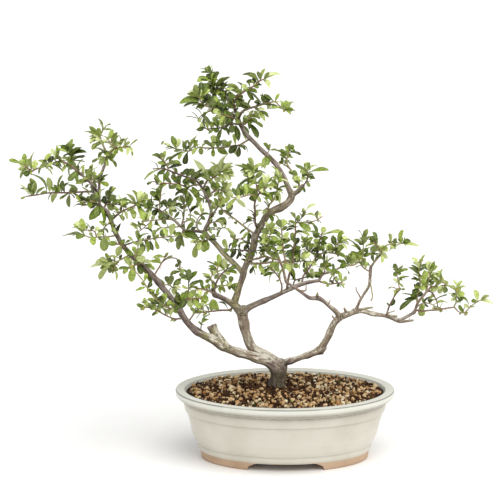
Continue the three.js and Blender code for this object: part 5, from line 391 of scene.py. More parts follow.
  {"name": "spray_light_crown", "fill": 6, "twigs": [
    ["limb_upper_high", 1.5, 0.8, [[-111, 374, 45], [-105, 386, 39], [-98, 389.5, 35], [-91, 394, 30],
      [-85, 399, 26]]]],
   "leaves": [[-105, 387, -123, 415, 8], [-102, 388, -106, 402, 9], [-98, 390, -99, 404, 9],
    [-94, 392, -95, 407, 10], [-91, 394, -88, 410, 10], [-87, 397, -83, 411, 9],
    [-86, 398, -77, 422, 6], [-85, 399, -70, 410, 5], [-89, 395, -80, 386, 8], [-86, 398, -68, 391, 6],
    [-85, 399, -71, 401, 5], [-96, 390, -87, 385, 7], [-100, 389, -101, 382, 6],
    [-92, 394, -102, 412, 3], [-104, 388, -112, 397, 6]]},
  {"name": "spray_light_low", "fill": 4, "twigs": [
    ["limb_upper_high", 1.3, 0.8, [[-106, 364, 42], [-97, 371, 50], [-88, 374, 56], [-80, 370, 61]]]],
   "leaves": [[-92, 373, -101, 379, 4], [-89, 374, -93, 385, 6], [-86, 373, -79, 384, 6],
    [-83, 372, -72, 382, 6], [-88, 374, -96, 365, 5], [-84, 372, -90, 360, 6], [-80, 370, -70, 373, 5],
    [-81, 370, -74, 361, 6], [-84, 372, -84, 383, 5]]},
  {"name": "spray_upper_side", "fill": 3, "twigs": [
    ["limb_upper_high", 1.6, 1.0, [[-101.5, 336, 36], [-98, 341, 28], [-93.5, 347, 23],
      [-90, 352.5, 20]]]],
   "leaves": [[-91, 351, -99, 358, 5], [-91, 351, -96, 363, 5], [-90, 352, -97, 348, 3]]},
  {"name": "spray_upper_ring", "fill": 2, "twigs": [
    ["limb_upper_high", 1.2, 0.8, [[-103, 358, 41], [-107, 362, 50], [-111, 362, 55]]]],
   "leaves": [[-110, 362, -120, 361, 7], [-106, 361, -97, 355, 4], [-105, 360, -105, 380, 8],
    [-108, 361, -119, 349, 5]]},
  {"name": "spray_pale_twig", "fill": 2, "twigs": [
    ["limb_upper_high", 1.0, 0.6, [[-105, 326, 34], [-98, 330, 26], [-90, 331, 20]]],
    ["limb_upper_high", 0.9, 0.6, [[-107, 319, 32], [-95, 320.5, 22], [-86, 322, 16], [-80, 324, 13]]]],
   "leaves": [[-96, 330, -80, 334, 7], [-97, 330, -93, 323, 5], [-90, 331, -79, 327, 4],
    [-86, 322, -92, 309, 3], [-84, 322, -70, 313, 3]]},
  {"name": "spray_leader_heart", "fill": 6, "twigs": [
    ["limb_leader", 1.6, 1.1, [[-42, 320, -8], [-42, 333, -20], [-41, 342, -26], [-42, 353.5, -32],
      [-39, 364, -36], [-34, 371, -40], [-28, 378, -44]]],
    [0, 1.1, 0.7, [[-38, 366, -36], [-49, 367, -44], [-60, 364, -52], [-72, 363.5, -59]]],
    [0, 1.0, 0.7, [[-36, 370, -38], [-40, 382, -32], [-43, 392, -27], [-45, 402, -23]]]],
   "leaves": [[-41, 357, -47, 366, 7], [-37, 367, -34, 357, 5], [-38, 368, -50, 377, 8],
    [-36, 369, -18, 361, 6], [-40, 381, -51, 387, 6], [-42, 388, -52, 399, 6], [-44, 397, -51, 411, 6],
    [-43, 395, -38, 405, 6], [-41, 388, -32, 398, 7], [-39, 382, -27, 392, 7], [-45, 400, -44, 409, 4],
    [-44, 399, -38, 408, 4], [-34, 371, -24, 381, 7], [-37, 372, -31, 388, 7], [-44, 396, -60, 397, 3],
    [-45, 399, -69, 408, 3], [-43, 391, -65, 376, 3], [-70, 363, -54, 350, 5], [-71, 364, -77, 372, 5],
    [-66, 364, -62, 374, 4], [-60, 364, -56, 376, 4], [-41, 380, -35, 373, 5]]},
  {"name": "spray_leader_right", "fill": 4, "twigs": [
    ["limb_leader", 1.4, 0.8, [[-24, 341, -10], [-23, 352, -18], [-17, 360, -24], [-12.3, 371.5, -30],
      [-11, 380, -34], [-9, 390, -38]]]],
   "leaves": [[-12, 371, -24, 366, 6], [-12, 374, -22, 382, 5], [-11, 379, -20, 388, 5],
    [-12, 374, -4, 373, 4], [-10, 386, -14, 396, 5], [-10, 388, -20, 406, 3], [-10, 383, -3, 389, 4],
    [-9, 390, -7, 398, 4], [-12, 376, -30, 377, 5], [-13, 370, -28, 362, 5], [-17, 361, -29, 370, 5],
    [-11, 380, -24, 378, 5], [-10, 389, -18, 391, 5]]},
  {"name": "spray_leader_single", "fill": 0, "twigs": [["limb_leader", 0.9, 0.6, [[-8, 351, -12],
      [-8, 356, -18]]]],
   "leaves": [[-8, 355, -11, 370, 7]]},
  {"name": "spray_leader_drop", "fill": 0, "twigs": [["limb_leader", 0.9, 0.6, [[-27, 422, 6],
      [-28, 419, -1]]]],
   "leaves": [[-28, 420, -28, 402, 7]]},
  {"name": "spray_leader_up", "fill": 0, "twigs": [["limb_leader", 0.9, 0.6, [[-26, 421, 5],
      [-22, 428, 12]]]],
   "leaves": [[-22, 427, -30, 437, 5], [-22, 427, -13, 429, 3]]},
  {"name": "spray_leader_green", "fill": 3, "twigs": [
    ["limb_leader", 1.5, 1.0, [[-42, 314, -6], [-51, 320.5, 4], [-61, 328.5, 11], [-71, 336.5, 17],
      [-77.7, 341, 21], [-84, 346, 25], [-87.5, 352, 28], [-88, 360, 31]]]],
   "leaves": [[-84, 345, -90, 341, 8], [-79, 342, -74, 356, 10], [-86, 349, -92, 357, 6],
    [-87, 354, -82, 362, 6], [-88, 356, -98, 354, 6], [-88, 358, -75, 361, 6], [-86, 350, -81, 354, 4],
    [-52, 321, -49, 306, 4], [-53, 321, -62, 314, 3], [-88, 357, -84, 366, 5]]},
  {"name": "spray_leader_left", "fill": 0, "twigs": [
    ["limb_leader", 1.0, 0.7, [[-43, 300, -4], [-52, 303, 5], [-60, 307, 10], [-68, 307, 14]]]],
   "leaves": [[-67, 307, -71, 295, 7], [-52, 303, -63, 299, 3], [-60, 307, -54, 310, 3]]},
  {"name": "spray_leader_dark", "fill": 0, "twigs": [
    ["limb_leader", 1.2, 0.7, [[-46, 292, -2], [-59, 291.5, 9], [-68, 293, 14], [-78, 292, 18]]]],
   "leaves": [[-66, 292, -74, 281, 6], [-64, 292, -60, 283, 5], [-60, 291.5, -66, 279, 4]]},
  {"name": "spray_leader_long", "fill": 5, "twigs": [
    ["limb_leader", 1.3, 0.8, [[-48, 442, 12], [-62, 434, 21], [-70, 433, 27], [-80, 431, 33],
      [-92, 430, 39], [-108, 430, 46], [-115, 431, 50], [-122, 428, 54], [-130, 426, 58],
      [-140, 428, 62], [-150, 430, 66], [-162, 436, 70]]]],
   "leaves": [[-64, 434, -76, 423, 9], [-92, 430, -77, 422, 9], [-76, 431, -64, 417, 5],
    [-64, 434, -54, 427, 3], [-82, 431, -72, 440, 6], [-84, 431, -80, 441, 8], [-92, 430, -89, 443, 6],
    [-96, 430, -97, 447, 9], [-97, 430, -109, 440, 6], [-96, 430, -97, 418, 6], [-91, 430, -88, 453, 5],
    [-114, 431, -112, 421, 7], [-116, 430, -127, 441, 6], [-112, 431, -105, 436, 3],
    [-121, 428, -117, 441, 5], [-128, 426, -130, 441, 3], [-128, 427, -118, 447, 4],
    [-136, 427, -131, 441, 5], [-146, 429, -151, 447, 8], [-146, 429, -142, 443, 7],
    [-150, 430, -164, 437, 3], [-130, 426, -156, 412, 3], [-128, 426, -142, 414, 3],
    [-138, 427, -149, 425, 3], [-134, 427, -127, 434, 4]]},
  {"name": "spray_center_low", "fill": 8, "twigs": [
    ["limb_leader", 1.7, 1.2, [[-51, 273, 2], [-34.5, 273.5, -14], [-21, 275, -22], [-10, 275, -29],
      [6.5, 275, -37]]],
    ["limb_leader", 1.6, 1.0, [[-49, 277, 1], [-36.7, 280.5, -14], [-28, 283, -20], [-19, 280.5, -25],
      [-8, 277.5, -30]]],
    [1, 1.1, 0.7, [[-36, 281, -14], [-30, 288, -22], [-25, 297, -28], [-22, 308, -33],
      [-20, 320, -37]]],
    [0, 1.3, 0.8, [[0, 275, -33], [-2, 285, -34], [-4, 298, -34], [-5, 312, -33], [-6, 324, -32]]],
    [0, 1.1, 0.7, [[4, 275, -36], [14, 276, -42], [24, 277, -46], [36, 276, -50]]]],
   "leaves": [[-24, 300, -24, 287, 9], [-23, 306, -33, 302, 8], [-22, 308, -33, 312, 8],
    [-21, 313, -32, 320, 8], [-21, 316, -26, 327, 7], [-20, 319, -19, 331, 6], [-21, 314, -11, 318, 7],
    [-21, 311, -10, 307, 7], [-23, 303, -13, 299, 7], [-24, 298, -33, 293, 7], [-20, 318, -14, 329, 4],
    [-12, 278, -20, 291, 6], [-10, 279, -14, 291, 5], [-6, 322, -10, 334, 8], [-6, 322, -2, 334, 9],
    [-6, 318, 2, 324, 5], [-5, 312, -14, 316, 6], [-5, 310, 4, 316, 6], [-4, 304, -13, 303, 7],
    [-4, 302, 6, 307, 7], [-4, 298, -12, 293, 6], [-3, 294, 6, 298, 6], [-3, 290, -10, 287, 5],
    [-2, 286, 6, 290, 5], [-10, 275, -22, 269, 5], [-8, 275, -14, 264, 6], [0, 275, 6, 262, 6],
    [4, 275, 10, 266, 7], [2, 275, -3, 264, 6], [24, 277, 20, 284, 5], [36, 276, 43, 271, 4],
    [14, 276, 18, 282, 6]]},
  {"name": "spray_center_post", "fill": 6, "twigs": [
    ["limb_right_up", 1.8, 0.8, [[2, 236, 19], [3, 248, 14], [5, 258, 10], [8, 270, 6], [10, 283, 4],
      [11.5, 300, 2], [12.5, 312, 1], [13, 323, 0], [13, 335, -1]]],
    [0, 0.9, 0.6, [[13, 328, 0], [20.5, 335.5, -6], [25, 340, -9], [26, 346, -11]]],
    [0, 0.8, 0.6, [[13, 329, 0], [24, 330, 7], [33, 330, 11], [42, 333.5, 14], [49, 338, 17]]]],
   "leaves": [[14, 334, 5, 344, 5], [25, 343, 22, 350, 4], [25, 340, 41, 338, 3], [42, 333, 42, 346, 5],
    [16, 330, 33, 317, 9], [14, 331, 18, 340, 5], [13, 330, 3, 331, 3], [13, 322, 2, 323, 3],
    [13, 320, 0, 318, 3], [30, 330, 40, 324, 3], [13, 317, 32, 311, 4], [12, 306, 8, 316, 6],
    [12, 297, 17, 309, 6], [11, 290, 20, 297, 6], [10, 284, 20, 291, 8], [10, 282, 3, 292, 6],
    [9, 279, 18, 279, 6], [8, 270, 18, 270, 6], [13, 314, 22, 318, 4], [20, 335, 28, 344, 3]]},
  {"name": "spray_center_right", "fill": 7, "twigs": [
    ["limb_right_up", 1.5, 0.9, [[22, 245, 24], [24, 256, 33], [31, 266, 38], [38, 277, 42],
      [42, 286, 45], [44, 296, 47], [46, 306, 49], [49, 316, 51]]],
    [0, 1.1, 0.7, [[42, 286, 45], [52, 288, 40], [60, 288, 37], [69, 286, 34]]],
    [0, 1.0, 0.7, [[41, 284, 44], [34, 289, 52], [28, 294, 57], [25, 302, 60]]],
    [1, 0.9, 0.7, [[61, 288, 37], [66, 296, 32], [71, 303, 29]]]],
   "leaves": [[49, 314, 52, 324, 8], [48, 312, 79, 314, 4], [47, 310, 36, 314, 7],
    [46, 307, 57, 309, 7], [46, 306, 37, 304, 7], [46, 303, 55, 299, 7], [45, 298, 36, 297, 6],
    [44, 296, 53, 294, 6], [43, 290, 36, 294, 6], [46, 287, 45, 279, 9], [26, 301, 28, 310, 6],
    [25, 302, 21, 311, 5], [26, 298, 34, 302, 6], [27, 296, 20, 299, 5], [30, 293, 38, 301, 6],
    [33, 290, 25, 287, 5], [26, 303, 36, 310, 6], [67, 298, 62, 312, 8], [70, 302, 74, 313, 7],
    [69, 300, 78, 308, 6], [64, 293, 56, 298, 7], [62, 290, 54, 294, 6], [63, 291, 71, 294, 5],
    [60, 288, 52, 300, 6], [66, 287, 74, 291, 4], [68, 286, 80, 284, 3]]},
  {"name": "spray_right_up_end", "fill": 6, "twigs": [
    ["limb_right_up", 1.8, 0.9, [[45, 249.8, 30], [50, 258, 36], [58, 261, 40], [66, 264, 44],
      [74, 268, 48], [82, 270, 52], [92, 271.5, 57], [98, 276, 60], [102, 283, 62], [105, 290, 64]]],
    [0, 1.0, 0.7, [[51, 258.5, 36], [53, 266, 31], [54, 271, 28]]]],
   "leaves": [[50, 258, 40, 262, 6], [49, 256, 40, 257, 7], [50, 258, 46, 268, 6],
    [53, 268, 47, 274, 6], [53, 269, 52, 278, 6], [54, 269, 61, 274, 5], [53, 267, 66, 270, 3],
    [53, 266, 46, 267, 5], [54, 267, 59, 263, 5], [59, 262, 68, 265, 7], [66, 264, 62, 257, 6],
    [72, 267, 82, 273, 8], [82, 271, 76, 279, 5], [84, 271, 80, 281, 5], [84, 271, 69, 278, 4],
    [87, 271, 82, 285, 6], [90, 272, 86, 283, 6], [88, 272, 93, 281, 7], [94, 273, 90, 285, 6],
    [98, 277, 88, 291, 7], [97, 276, 84, 287, 6], [99, 278, 103, 286, 6], [103, 286, 80, 308, 4],
    [102, 284, 87, 299, 3], [100, 280, 96, 290, 4], [98, 275, 106, 273, 6]]},
  {"name": "spray_right_up_low", "fill": 3, "twigs": [
    ["limb_right_up", 1.3, 0.8, [[43, 249.6, 29], [54, 246, 20], [60, 245, 16], [68, 246, 12],
      [76, 247, 9]]],
    [0, 0.9, 0.6, [[64, 245.5, 14], [65, 253, 9], [66, 260, 6]]]],
   "leaves": [[76, 247, 82, 256, 5], [76, 247, 72, 262, 5], [70, 246, 68, 256, 5],
    [60, 245, 55, 242, 4], [72, 247, 70, 241, 4], [66, 246, 60, 250, 4], [65, 253, 73, 251, 4],
    [66, 258, 60, 259, 5], [66, 260, 73, 262, 5], [76, 247, 80, 243, 4]]},
  {"name": "spray_right_up_base", "fill": 3, "twigs": [
    ["limb_right_up", 1.2, 0.7, [[-6, 232, 17], [-5, 242, 8], [-8, 252, 3], [-12, 258, 0],
      [-17, 264, -3], [-21, 269, -5]]]],
   "leaves": [[-19, 266, -9, 271, 6], [-18, 265, -8, 265, 7], [-20, 268, -14, 273, 5],
    [-8, 251, -13, 249, 3]]},
  {"name": "spray_right_up_shelf", "fill": 3, "twigs": [
    ["limb_right_up", 1.2, 0.7, [[10, 240, 21], [12, 249, 30], [18, 252, 34], [26, 254, 38],
      [34, 255, 42]]]],
   "leaves": [[16, 252, 20, 249, 5], [33, 255, 27, 261, 4], [34, 255, 41, 262, 6],
    [33, 255, 36, 267, 6], [34, 255, 46, 258, 6], [14, 251, 8, 262, 5], [13, 250, 2, 270, 5]]},
  {"name": "spray_pale_right", "fill": 5, "twigs": [
    ["limb_pale", 1.6, 0.9, [[114.5, 268, -20], [119, 275, -25], [124, 281, -28], [128, 286, -30],
      [130, 291, -32]]],
    [0, 1.0, 0.7, [[129, 289, -31], [126, 295, -37], [121, 300, -42], [118, 304, -45]]],
    [0, 1.1, 0.7, [[130, 290, -32], [133, 297, -27], [141, 300.5, -22], [148, 302.5, -18],
      [156, 301, -15]]]],
   "leaves": [[119, 302, 114, 311, 8], [121, 300, 118, 317, 5], [122, 298, 113, 304, 6],
    [121, 299, 114, 291, 7], [124, 296, 116, 289, 6], [130, 290, 136, 297, 7], [130, 290, 123, 294, 6],
    [131, 289, 137, 280, 6], [130, 290, 138, 293, 6], [130, 291, 131, 299, 6], [141, 300, 139, 315, 5],
    [140, 300, 145, 294, 4], [142, 301, 137, 305, 3], [148, 302, 146, 308, 5], [155, 301, 154, 311, 7],
    [156, 301, 157, 320, 6], [156, 301, 168, 304, 8], [156, 300, 179, 297, 5], [128, 287, 110, 286, 3],
    [150, 302, 142, 304, 4]]},
  {"name": "spray_pale_left", "fill": 4, "twigs": [
    ["limb_pale", 1.0, 0.7, [[114, 262, -20], [107, 266, -12], [102, 271, -7], [101, 277, -4]]],
    [0, 0.9, 0.6, [[101, 275, -5], [104, 284, -1], [104, 295, 2], [105, 306, 4]]]],
   "leaves": [[105, 306, 109, 321, 7], [104, 304, 97, 319, 2], [105, 304, 114, 311, 3],
    [104, 299, 98, 304, 6], [104, 290, 111, 292, 7], [104, 287, 109, 283, 6], [104, 285, 99, 280, 6],
    [104, 284, 113, 286, 6], [103, 281, 108, 277, 6], [101, 276, 106, 271, 6], [104, 292, 98, 286, 6],
    [108, 266, 110, 276, 4]]},
  {"name": "spray_right_thin", "fill": 2, "twigs": [
    ["limb_right_far", 1.3, 0.7, [[137, 200, 2], [140, 212, -8], [143, 219, -12], [147, 227, -16],
      [151, 233, -19], [156, 238, -22]]],
    [0, 0.9, 0.6, [[155, 237, -21], [152, 247, -16], [151, 255, -12], [150, 260, -10]]],
    [0, 0.8, 0.6, [[151, 233, -19], [149, 239, -25], [143, 241, -29]]]],
   "leaves": [[141, 214, 148, 224, 6], [151, 260, 145, 257, 7], [151, 259, 156, 260, 4],
    [152, 253, 154, 246, 4], [152, 247, 159, 240, 3], [152, 248, 145, 252, 4], [143, 241, 139, 239, 2],
    [156, 238, 162, 238, 3], [151, 234, 146, 236, 3], [152, 250, 160, 250, 2]]},
  {"name": "spray_right_high", "fill": 5, "twigs": [
    ["limb_right_tip", 1.4, 0.8, [[179, 217, 23], [178, 228, 14], [180, 238, 9], [182, 248, 5],
      [180, 258, 1], [180, 268, -2], [182, 276, -4]]]],
   "leaves": [[180, 266, 170, 282, 6], [182, 274, 187, 286, 3], [180, 257, 165, 268, 5],
    [181, 250, 169, 252, 4], [180, 260, 169, 271, 2], [181, 252, 171, 259, 2], [182, 247, 176, 244, 5],
    [182, 246, 190, 252, 7], [182, 252, 192, 261, 9], [180, 262, 187, 269, 4], [181, 268, 190, 273, 3],
    [181, 244, 174, 240, 6], [180, 238, 171, 233, 7], [179, 231, 169, 229, 7], [178, 226, 161, 223, 4],
    [178, 225, 155, 208, 6], [178, 227, 185, 234, 7], [179, 222, 174, 229, 6],
    [181, 240, 188, 238, 6]]},
  {"name": "spray_right_bright", "fill": 4, "twigs": [
    ["limb_right_tip", 1.3, 0.8, [[190, 233, 26], [192, 244, 34], [194, 254, 39], [195, 262, 43]]]],
   "leaves": [[195, 259, 192, 277, 8], [195, 260, 202, 271, 8], [194, 256, 185, 262, 8],
    [194, 254, 204, 258, 7], [195, 257, 210, 258, 7], [193, 250, 185, 248, 7], [193, 248, 184, 243, 7],
    [192, 245, 186, 238, 6], [193, 249, 201, 246, 6], [195, 262, 187, 270, 6]]},
  {"name": "spray_right_brown", "fill": 4, "twigs": [
    ["limb_right_tip", 1.2, 0.7, [[197, 242, 28], [205, 241, 20], [212, 243, 15], [217, 244, 12]]],
    [0, 0.9, 0.6, [[201, 241.5, 24], [206, 247, 19], [210, 251, 16]]]],
   "leaves": [[207, 248, 212, 255, 7], [206, 247, 200, 253, 7], [210, 251, 215, 246, 5],
    [205, 241, 196, 236, 6], [212, 243, 205, 238, 5], [213, 243, 207, 232, 7], [216, 244, 215, 232, 6],
    [217, 244, 219, 248, 4], [215, 243, 227, 238, 2], [205, 241, 199, 234, 5]]},
  {"name": "spray_right_arcs", "fill": 2, "twigs": [
    ["limb_right_tip", 1.2, 0.7, [[193, 237, 27], [199, 232, 36], [203, 225, 42], [206, 217, 46],
      [206, 211, 48]]]],
   "leaves": [[204, 223, 195, 221, 3], [205, 221, 213, 222, 4], [206, 214, 199, 210, 3],
    [206, 214, 213, 208, 4], [204, 225, 219, 230, 2], [201, 229, 193, 226, 4]]},
  {"name": "spray_right_lower", "fill": 2, "twigs": [
    ["limb_right_tip", 1.1, 0.7, [[178, 213, 21], [186, 218, 29], [195, 218, 33], [203, 214, 36],
      [210, 209, 39]]]],
   "leaves": [[182, 216, 186, 200, 10], [183, 216, 189, 211, 6], [188, 218, 194, 213, 3],
    [190, 218, 186, 225, 4], [187, 218, 195, 227, 3], [208, 211, 200, 208, 3]]},
  {"name": "spray_far_right", "fill": 4, "twigs": [
    ["limb_right_tip", 1.3, 0.8, [[176, 209, 20], [186, 207.5, 9], [197, 208.5, 2], [208, 209, -4],
      [216, 211, -8], [224, 212, -12], [229, 212.5, -14], [233, 208, -16], [238, 205, -18],
      [244, 204.5, -21]]],
    [0, 1.1, 0.7, [[228, 212.5, -14], [231, 220, -19], [231, 229, -23], [232, 236, -26]]],
    [0, 0.9, 0.6, [[243, 204.5, -21], [247, 209, -25], [254, 216, -29], [263, 222, -33],
      [270, 226, -36]]]],
   "leaves": [[232, 236, 226, 252, 3], [232, 236, 238, 250, 4], [232, 235, 244, 242, 3],
    [232, 235, 224, 244, 3], [232, 233, 222, 240, 2], [232, 231, 243, 231, 8], [231, 228, 241, 224, 7],
    [232, 232, 236, 241, 6], [231, 228, 224, 231, 6], [231, 224, 224, 223, 5], [231, 221, 238, 220, 3],
    [242, 205, 235, 216, 5], [249, 211, 242, 217, 5], [231, 227, 249, 216, 3], [258, 219, 252, 223, 6],
    [260, 220, 256, 237, 7], [264, 222, 276, 229, 5], [250, 212, 258, 213, 2],
    [243, 204.5, 244, 200, 2], [238, 205, 236, 202, 2]]},
  {"name": "spray_stub_top", "fill": 4, "twigs": [
    ["limb_stub_right", 1.1, 0.7, [[22, 378.5, -14], [27.5, 386, -22], [29, 392, -26],
      [28, 399, -29]]]],
   "leaves": [[28, 396, 22, 404, 6], [28, 397, 18, 399, 6], [28, 398, 12, 408, 4],
    [28, 399, 24, 410, 5], [28, 399, 31, 411, 6], [28, 399, 42, 407, 3], [29, 396, 57, 400, 4],
    [28, 394, 36, 395, 3], [28, 392, 39, 389, 4], [28, 390, 20, 390, 5], [27, 386, 32, 378, 5],
    [28, 393, 21, 396, 7]]},
  {"name": "spray_stub_left", "fill": 4, "twigs": [
    ["limb_stub_right", 1.7, 0.9, [[18, 374, -12], [17, 382, -2], [14, 390, 3], [9.7, 396, 6],
      [6.5, 400.5, 8], [1.5, 408, 11], [1, 415, 13], [3, 422, 15], [5, 430, 17]]],
    [0, 1.0, 0.7, [[4, 404, 9], [-2, 407, 14], [-6, 410, 17]]]],
   "leaves": [[17, 381, 11, 393, 9], [13, 391, 3, 397, 4], [10, 396, 3, 399, 3], [14, 390, 8, 390, 5],
    [1, 420, -20, 428, 3], [2, 421, -8, 428, 6], [3, 424, -1, 433, 5], [4, 427, 4, 436, 5],
    [5, 429, 10, 434, 6], [5, 427, 12, 426, 6], [4, 424, 20, 421, 3], [2, 419, -9, 421, 3],
    [2, 418, 9, 417, 3], [4, 425, -2, 424, 5]]},
  {"name": "spray_top_right", "fill": 4, "twigs": [
    ["limb_leader", 1.8, 0.9, [[-63, 469, 17], [-58, 478, 8], [-49, 482.5, 3], [-41.5, 484.5, 0],
      [-32.5, 487.5, -3], [-24, 489.5, -6], [-15, 491, -9], [-9.7, 486, -12], [-4, 481, -14]]]],
   "leaves": [[-29, 488, -26, 500, 7], [-28, 488, -21, 496, 5], [-31, 488, -11, 484, 3],
    [-32, 488, -48, 504, 3], [-33, 488, -43, 491, 3], [-4, 481, 4, 491, 10], [-4, 481, 9, 481, 6],
    [-6, 483, -8, 494, 3], [-4, 482, 0, 493, 4], [-4, 481, 12, 491, 2], [-4, 481, 6, 474, 3],
    [-4, 481, 12, 479, 2], [-50, 483, -66, 488, 6], [-46, 484, -60, 491, 5], [-42, 485, -36, 480, 4]]},
  {"name": "spray_top_right_low", "fill": 3, "twigs": [
    ["limb_leader", 1.3, 0.8, [[-60, 460, 16], [-54, 462, 6], [-50, 467, 1], [-46, 472, -3]]],
    [0, 0.8, 0.6, [[-47, 470.5, -2], [-41, 476, -6], [-37, 480, -9]]]],
   "leaves": [[-47, 471, -37, 476, 8], [-38, 480, -31, 471, 6], [-52, 463, -45, 470, 8],
    [-50, 466, -38, 466, 4], [-52, 463, -31, 457, 3], [-51, 464, -38, 443, 7], [-54, 462, -55, 474, 6],
    [-50, 467, -44, 480, 4]]},
  {"name": "spray_top_back", "fill": 6, "twigs": [
    ["limb_leader", 1.8, 0.9, [[-62, 465, 17], [-68, 480, 28], [-74, 487, 31], [-78.5, 495.5, 35],
      [-80.5, 503, 38], [-86, 507, 41], [-94, 509, 44], [-98, 516, 46], [-99, 526, 48],
      [-103, 534, 50]]]],
   "leaves": [[-101, 530, -107, 536, 5], [-100, 529, -113, 530, 3], [-99, 524, -96, 539, 3],
    [-98, 518, -89, 530, 6], [-98, 518, -94, 530, 5], [-98, 520, -105, 527, 7],
    [-98, 519, -116, 523, 7], [-98, 517, -118, 518, 5], [-95, 511, -79, 522, 7],
    [-93, 509, -86, 516, 7], [-90, 508, -97, 500, 6], [-82, 504, -74, 510, 6], [-92, 509, -74, 524, 4],
    [-90, 508, -67, 514, 3], [-79, 497, -86, 492, 6], [-80, 500, -72, 503, 5], [-97, 514, -108, 511, 6],
    [-99, 524, -103, 538, 4]]},
  {"name": "spray_top_left", "fill": 6, "twigs": [
    ["limb_leader", 1.6, 0.9, [[-65, 471.5, 18], [-76, 477, 7], [-87, 480.5, 2], [-98, 483.5, -3],
      [-107, 486, -7], [-112, 491, -10], [-114, 498, -13]]],
    [0, 0.9, 0.6, [[-92, 482, 0], [-99, 479, 8], [-106, 477, 12], [-112, 473, 15], [-117, 467, 18]]]],
   "leaves": [[-112, 491, -141, 489, 8], [-113, 494, -128, 503, 7], [-114, 498, -131, 502, 4],
    [-113, 497, -120, 514, 8], [-113, 497, -112, 517, 8], [-112, 494, -105, 516, 8],
    [-110, 489, -100, 501, 8], [-108, 487, -95, 494, 8], [-103, 485, -91, 498, 9],
    [-99, 484, -87, 494, 8], [-96, 483, -83, 487, 7], [-90, 481, -78, 488, 7], [-84, 480, -92, 471, 6],
    [-98, 483, -95, 475, 6], [-108, 487, -136, 484, 3], [-108, 487, -119, 482, 4],
    [-107, 486, -113, 480, 4], [-100, 479, -86, 474, 3], [-104, 478, -110, 470, 3]]},
  {"name": "spray_top_mid", "fill": 6, "twigs": [
    ["limb_leader", 1.5, 0.8, [[-65, 473, 18], [-68, 484, 12], [-69, 491, 6], [-62, 500, 0],
      [-55.5, 504.5, -4], [-48, 508.5, -8], [-41.5, 513, -11], [-35, 518.5, -14], [-28.5, 521, -17]]]],
   "leaves": [[-29, 520, -6, 527, 6], [-37, 517, -49, 527, 7], [-36, 518, -58, 527, 4],
    [-34, 519, -38, 531, 5], [-34, 519, -28, 535, 4], [-30, 521, -23, 530, 5], [-29, 520, -21, 514, 5],
    [-38, 516, -53, 518, 5], [-42, 512, -32, 513, 3], [-44, 511, -36, 510, 4], [-50, 508, -59, 514, 7],
    [-49, 508, -39, 504, 3], [-56, 504, -68, 507, 5], [-60, 502, -80, 508, 6], [-60, 502, -78, 514, 5],
    [-64, 497, -76, 501, 7], [-66, 494, -57, 499, 7], [-68, 490, -55, 493, 5], [-68, 485, -74, 499, 8],
    [-68, 484, -59, 489, 7], [-68, 482, -79, 490, 7]]},
  {"name": "spray_top_front", "fill": 3, "twigs": [
    ["limb_leader", 1.3, 0.8, [[-62, 466, 17], [-70, 470, 3], [-77, 472, -4], [-85, 474, -9]]]],
   "leaves": [[-70, 470, -84, 479, 9], [-68, 469, -86, 466, 10], [-72, 471, -90, 478, 8],
    [-70, 470, -80, 462, 7], [-80, 473, -95, 470, 6], [-84, 474, -97, 480, 7], [-67, 468, -64, 479, 6],
    [-68, 469, -60, 463, 6]]},
  {"name": "spray_top_low", "fill": 4, "twigs": [
    ["limb_leader", 1.4, 0.8, [[-61, 461, 16], [-71.7, 462, 24], [-81.5, 459, 29], [-88, 456.5, 32],
      [-96, 456, 35], [-104.5, 455.5, 38], [-111, 457.5, 41]]]],
   "leaves": [[-88, 457, -97, 471, 7], [-86, 458, -84, 469, 8], [-90, 457, -95, 466, 7],
    [-98, 456, -109, 473, 6], [-108, 456, -119, 454, 6], [-108, 456, -114, 462, 6],
    [-106, 456, -100, 451, 3], [-88, 456, -95, 451, 6], [-84, 458, -89, 441, 5],
    [-74, 461, -71, 450, 9], [-67, 462, -63, 439, 8]]},
]

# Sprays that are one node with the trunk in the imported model.
FUSED = {
    "spray_stem_left", "spray_left_tendril", "spray_left_broad", "spray_limb_leaves", "spray_left_pair",
    "spray_mid_under", "spray_side_reach", "spray_side_tuft", "spray_side_right", "spray_upper_side",
    "spray_upper_ring", "spray_pale_twig", "spray_upper_shelf", "spray_upper_hang", "spray_leader_single",
    "spray_leader_drop", "spray_leader_up", "spray_leader_left", "spray_leader_dark",
    "spray_right_up_base", "spray_side_under", "spray_upper_fork", "spray_upper_drop",
}

# How light a spray's leaves are, from 0 to 1, where they differ from the usual.
USUAL_TONE = 0.45
SPRAY_TONE = {
    "spray_left_bright": 0.62, "spray_light_crown": 0.74, "spray_light_low": 0.64,
    "spray_right_bright": 0.56, "spray_crown_left": 0.68, "spray_far_right": 0.52,
    "spray_left_low": 0.5, "spray_low_left": 0.58, "spray_left_knot_back": 0.16,
    "spray_left_knot_front": 0.22, "spray_top_left": 0.32, "spray_top_back": 0.3,
    "spray_far_left_high": 0.38, "spray_upper_brown": 0.42, "spray_upper_nest": 0.38,
    "spray_leader_dark": 0.22, "spray_leader_long": 0.54, "spray_leader_right": 0.52,
}

# The constants of the seeds and the random draws, and what moves one noise away from another.
SEED_START = 2166136261
SEED_PRIME = 16777619
DRAW_STEP = 0x6D2B79F5
WORD = 0xFFFFFFFF
NOISE_STEPS = (17.3, 5.1, 11.7)
TINY = 1e-6


def seed_of(name):
    value = SEED_START
    for letter in name:
        value = ((value ^ ord(letter)) * SEED_PRIME) & WORD
    return value


def random_from(seed):
    """Even draws from 0 to 1, the same on every run."""
    state = seed & WORD

    def draw():
        nonlocal state
        state = (state + DRAW_STEP) & WORD
        t = ((state ^ (state >> 15)) * (state | 1)) & WORD
        t ^= (t + (t ^ (t >> 7)) * (t | 61)) & WORD
        return (t ^ (t >> 14)) / (WORD + 1)

    return draw


def unit(v):
    return v / np.linalg.norm(v)


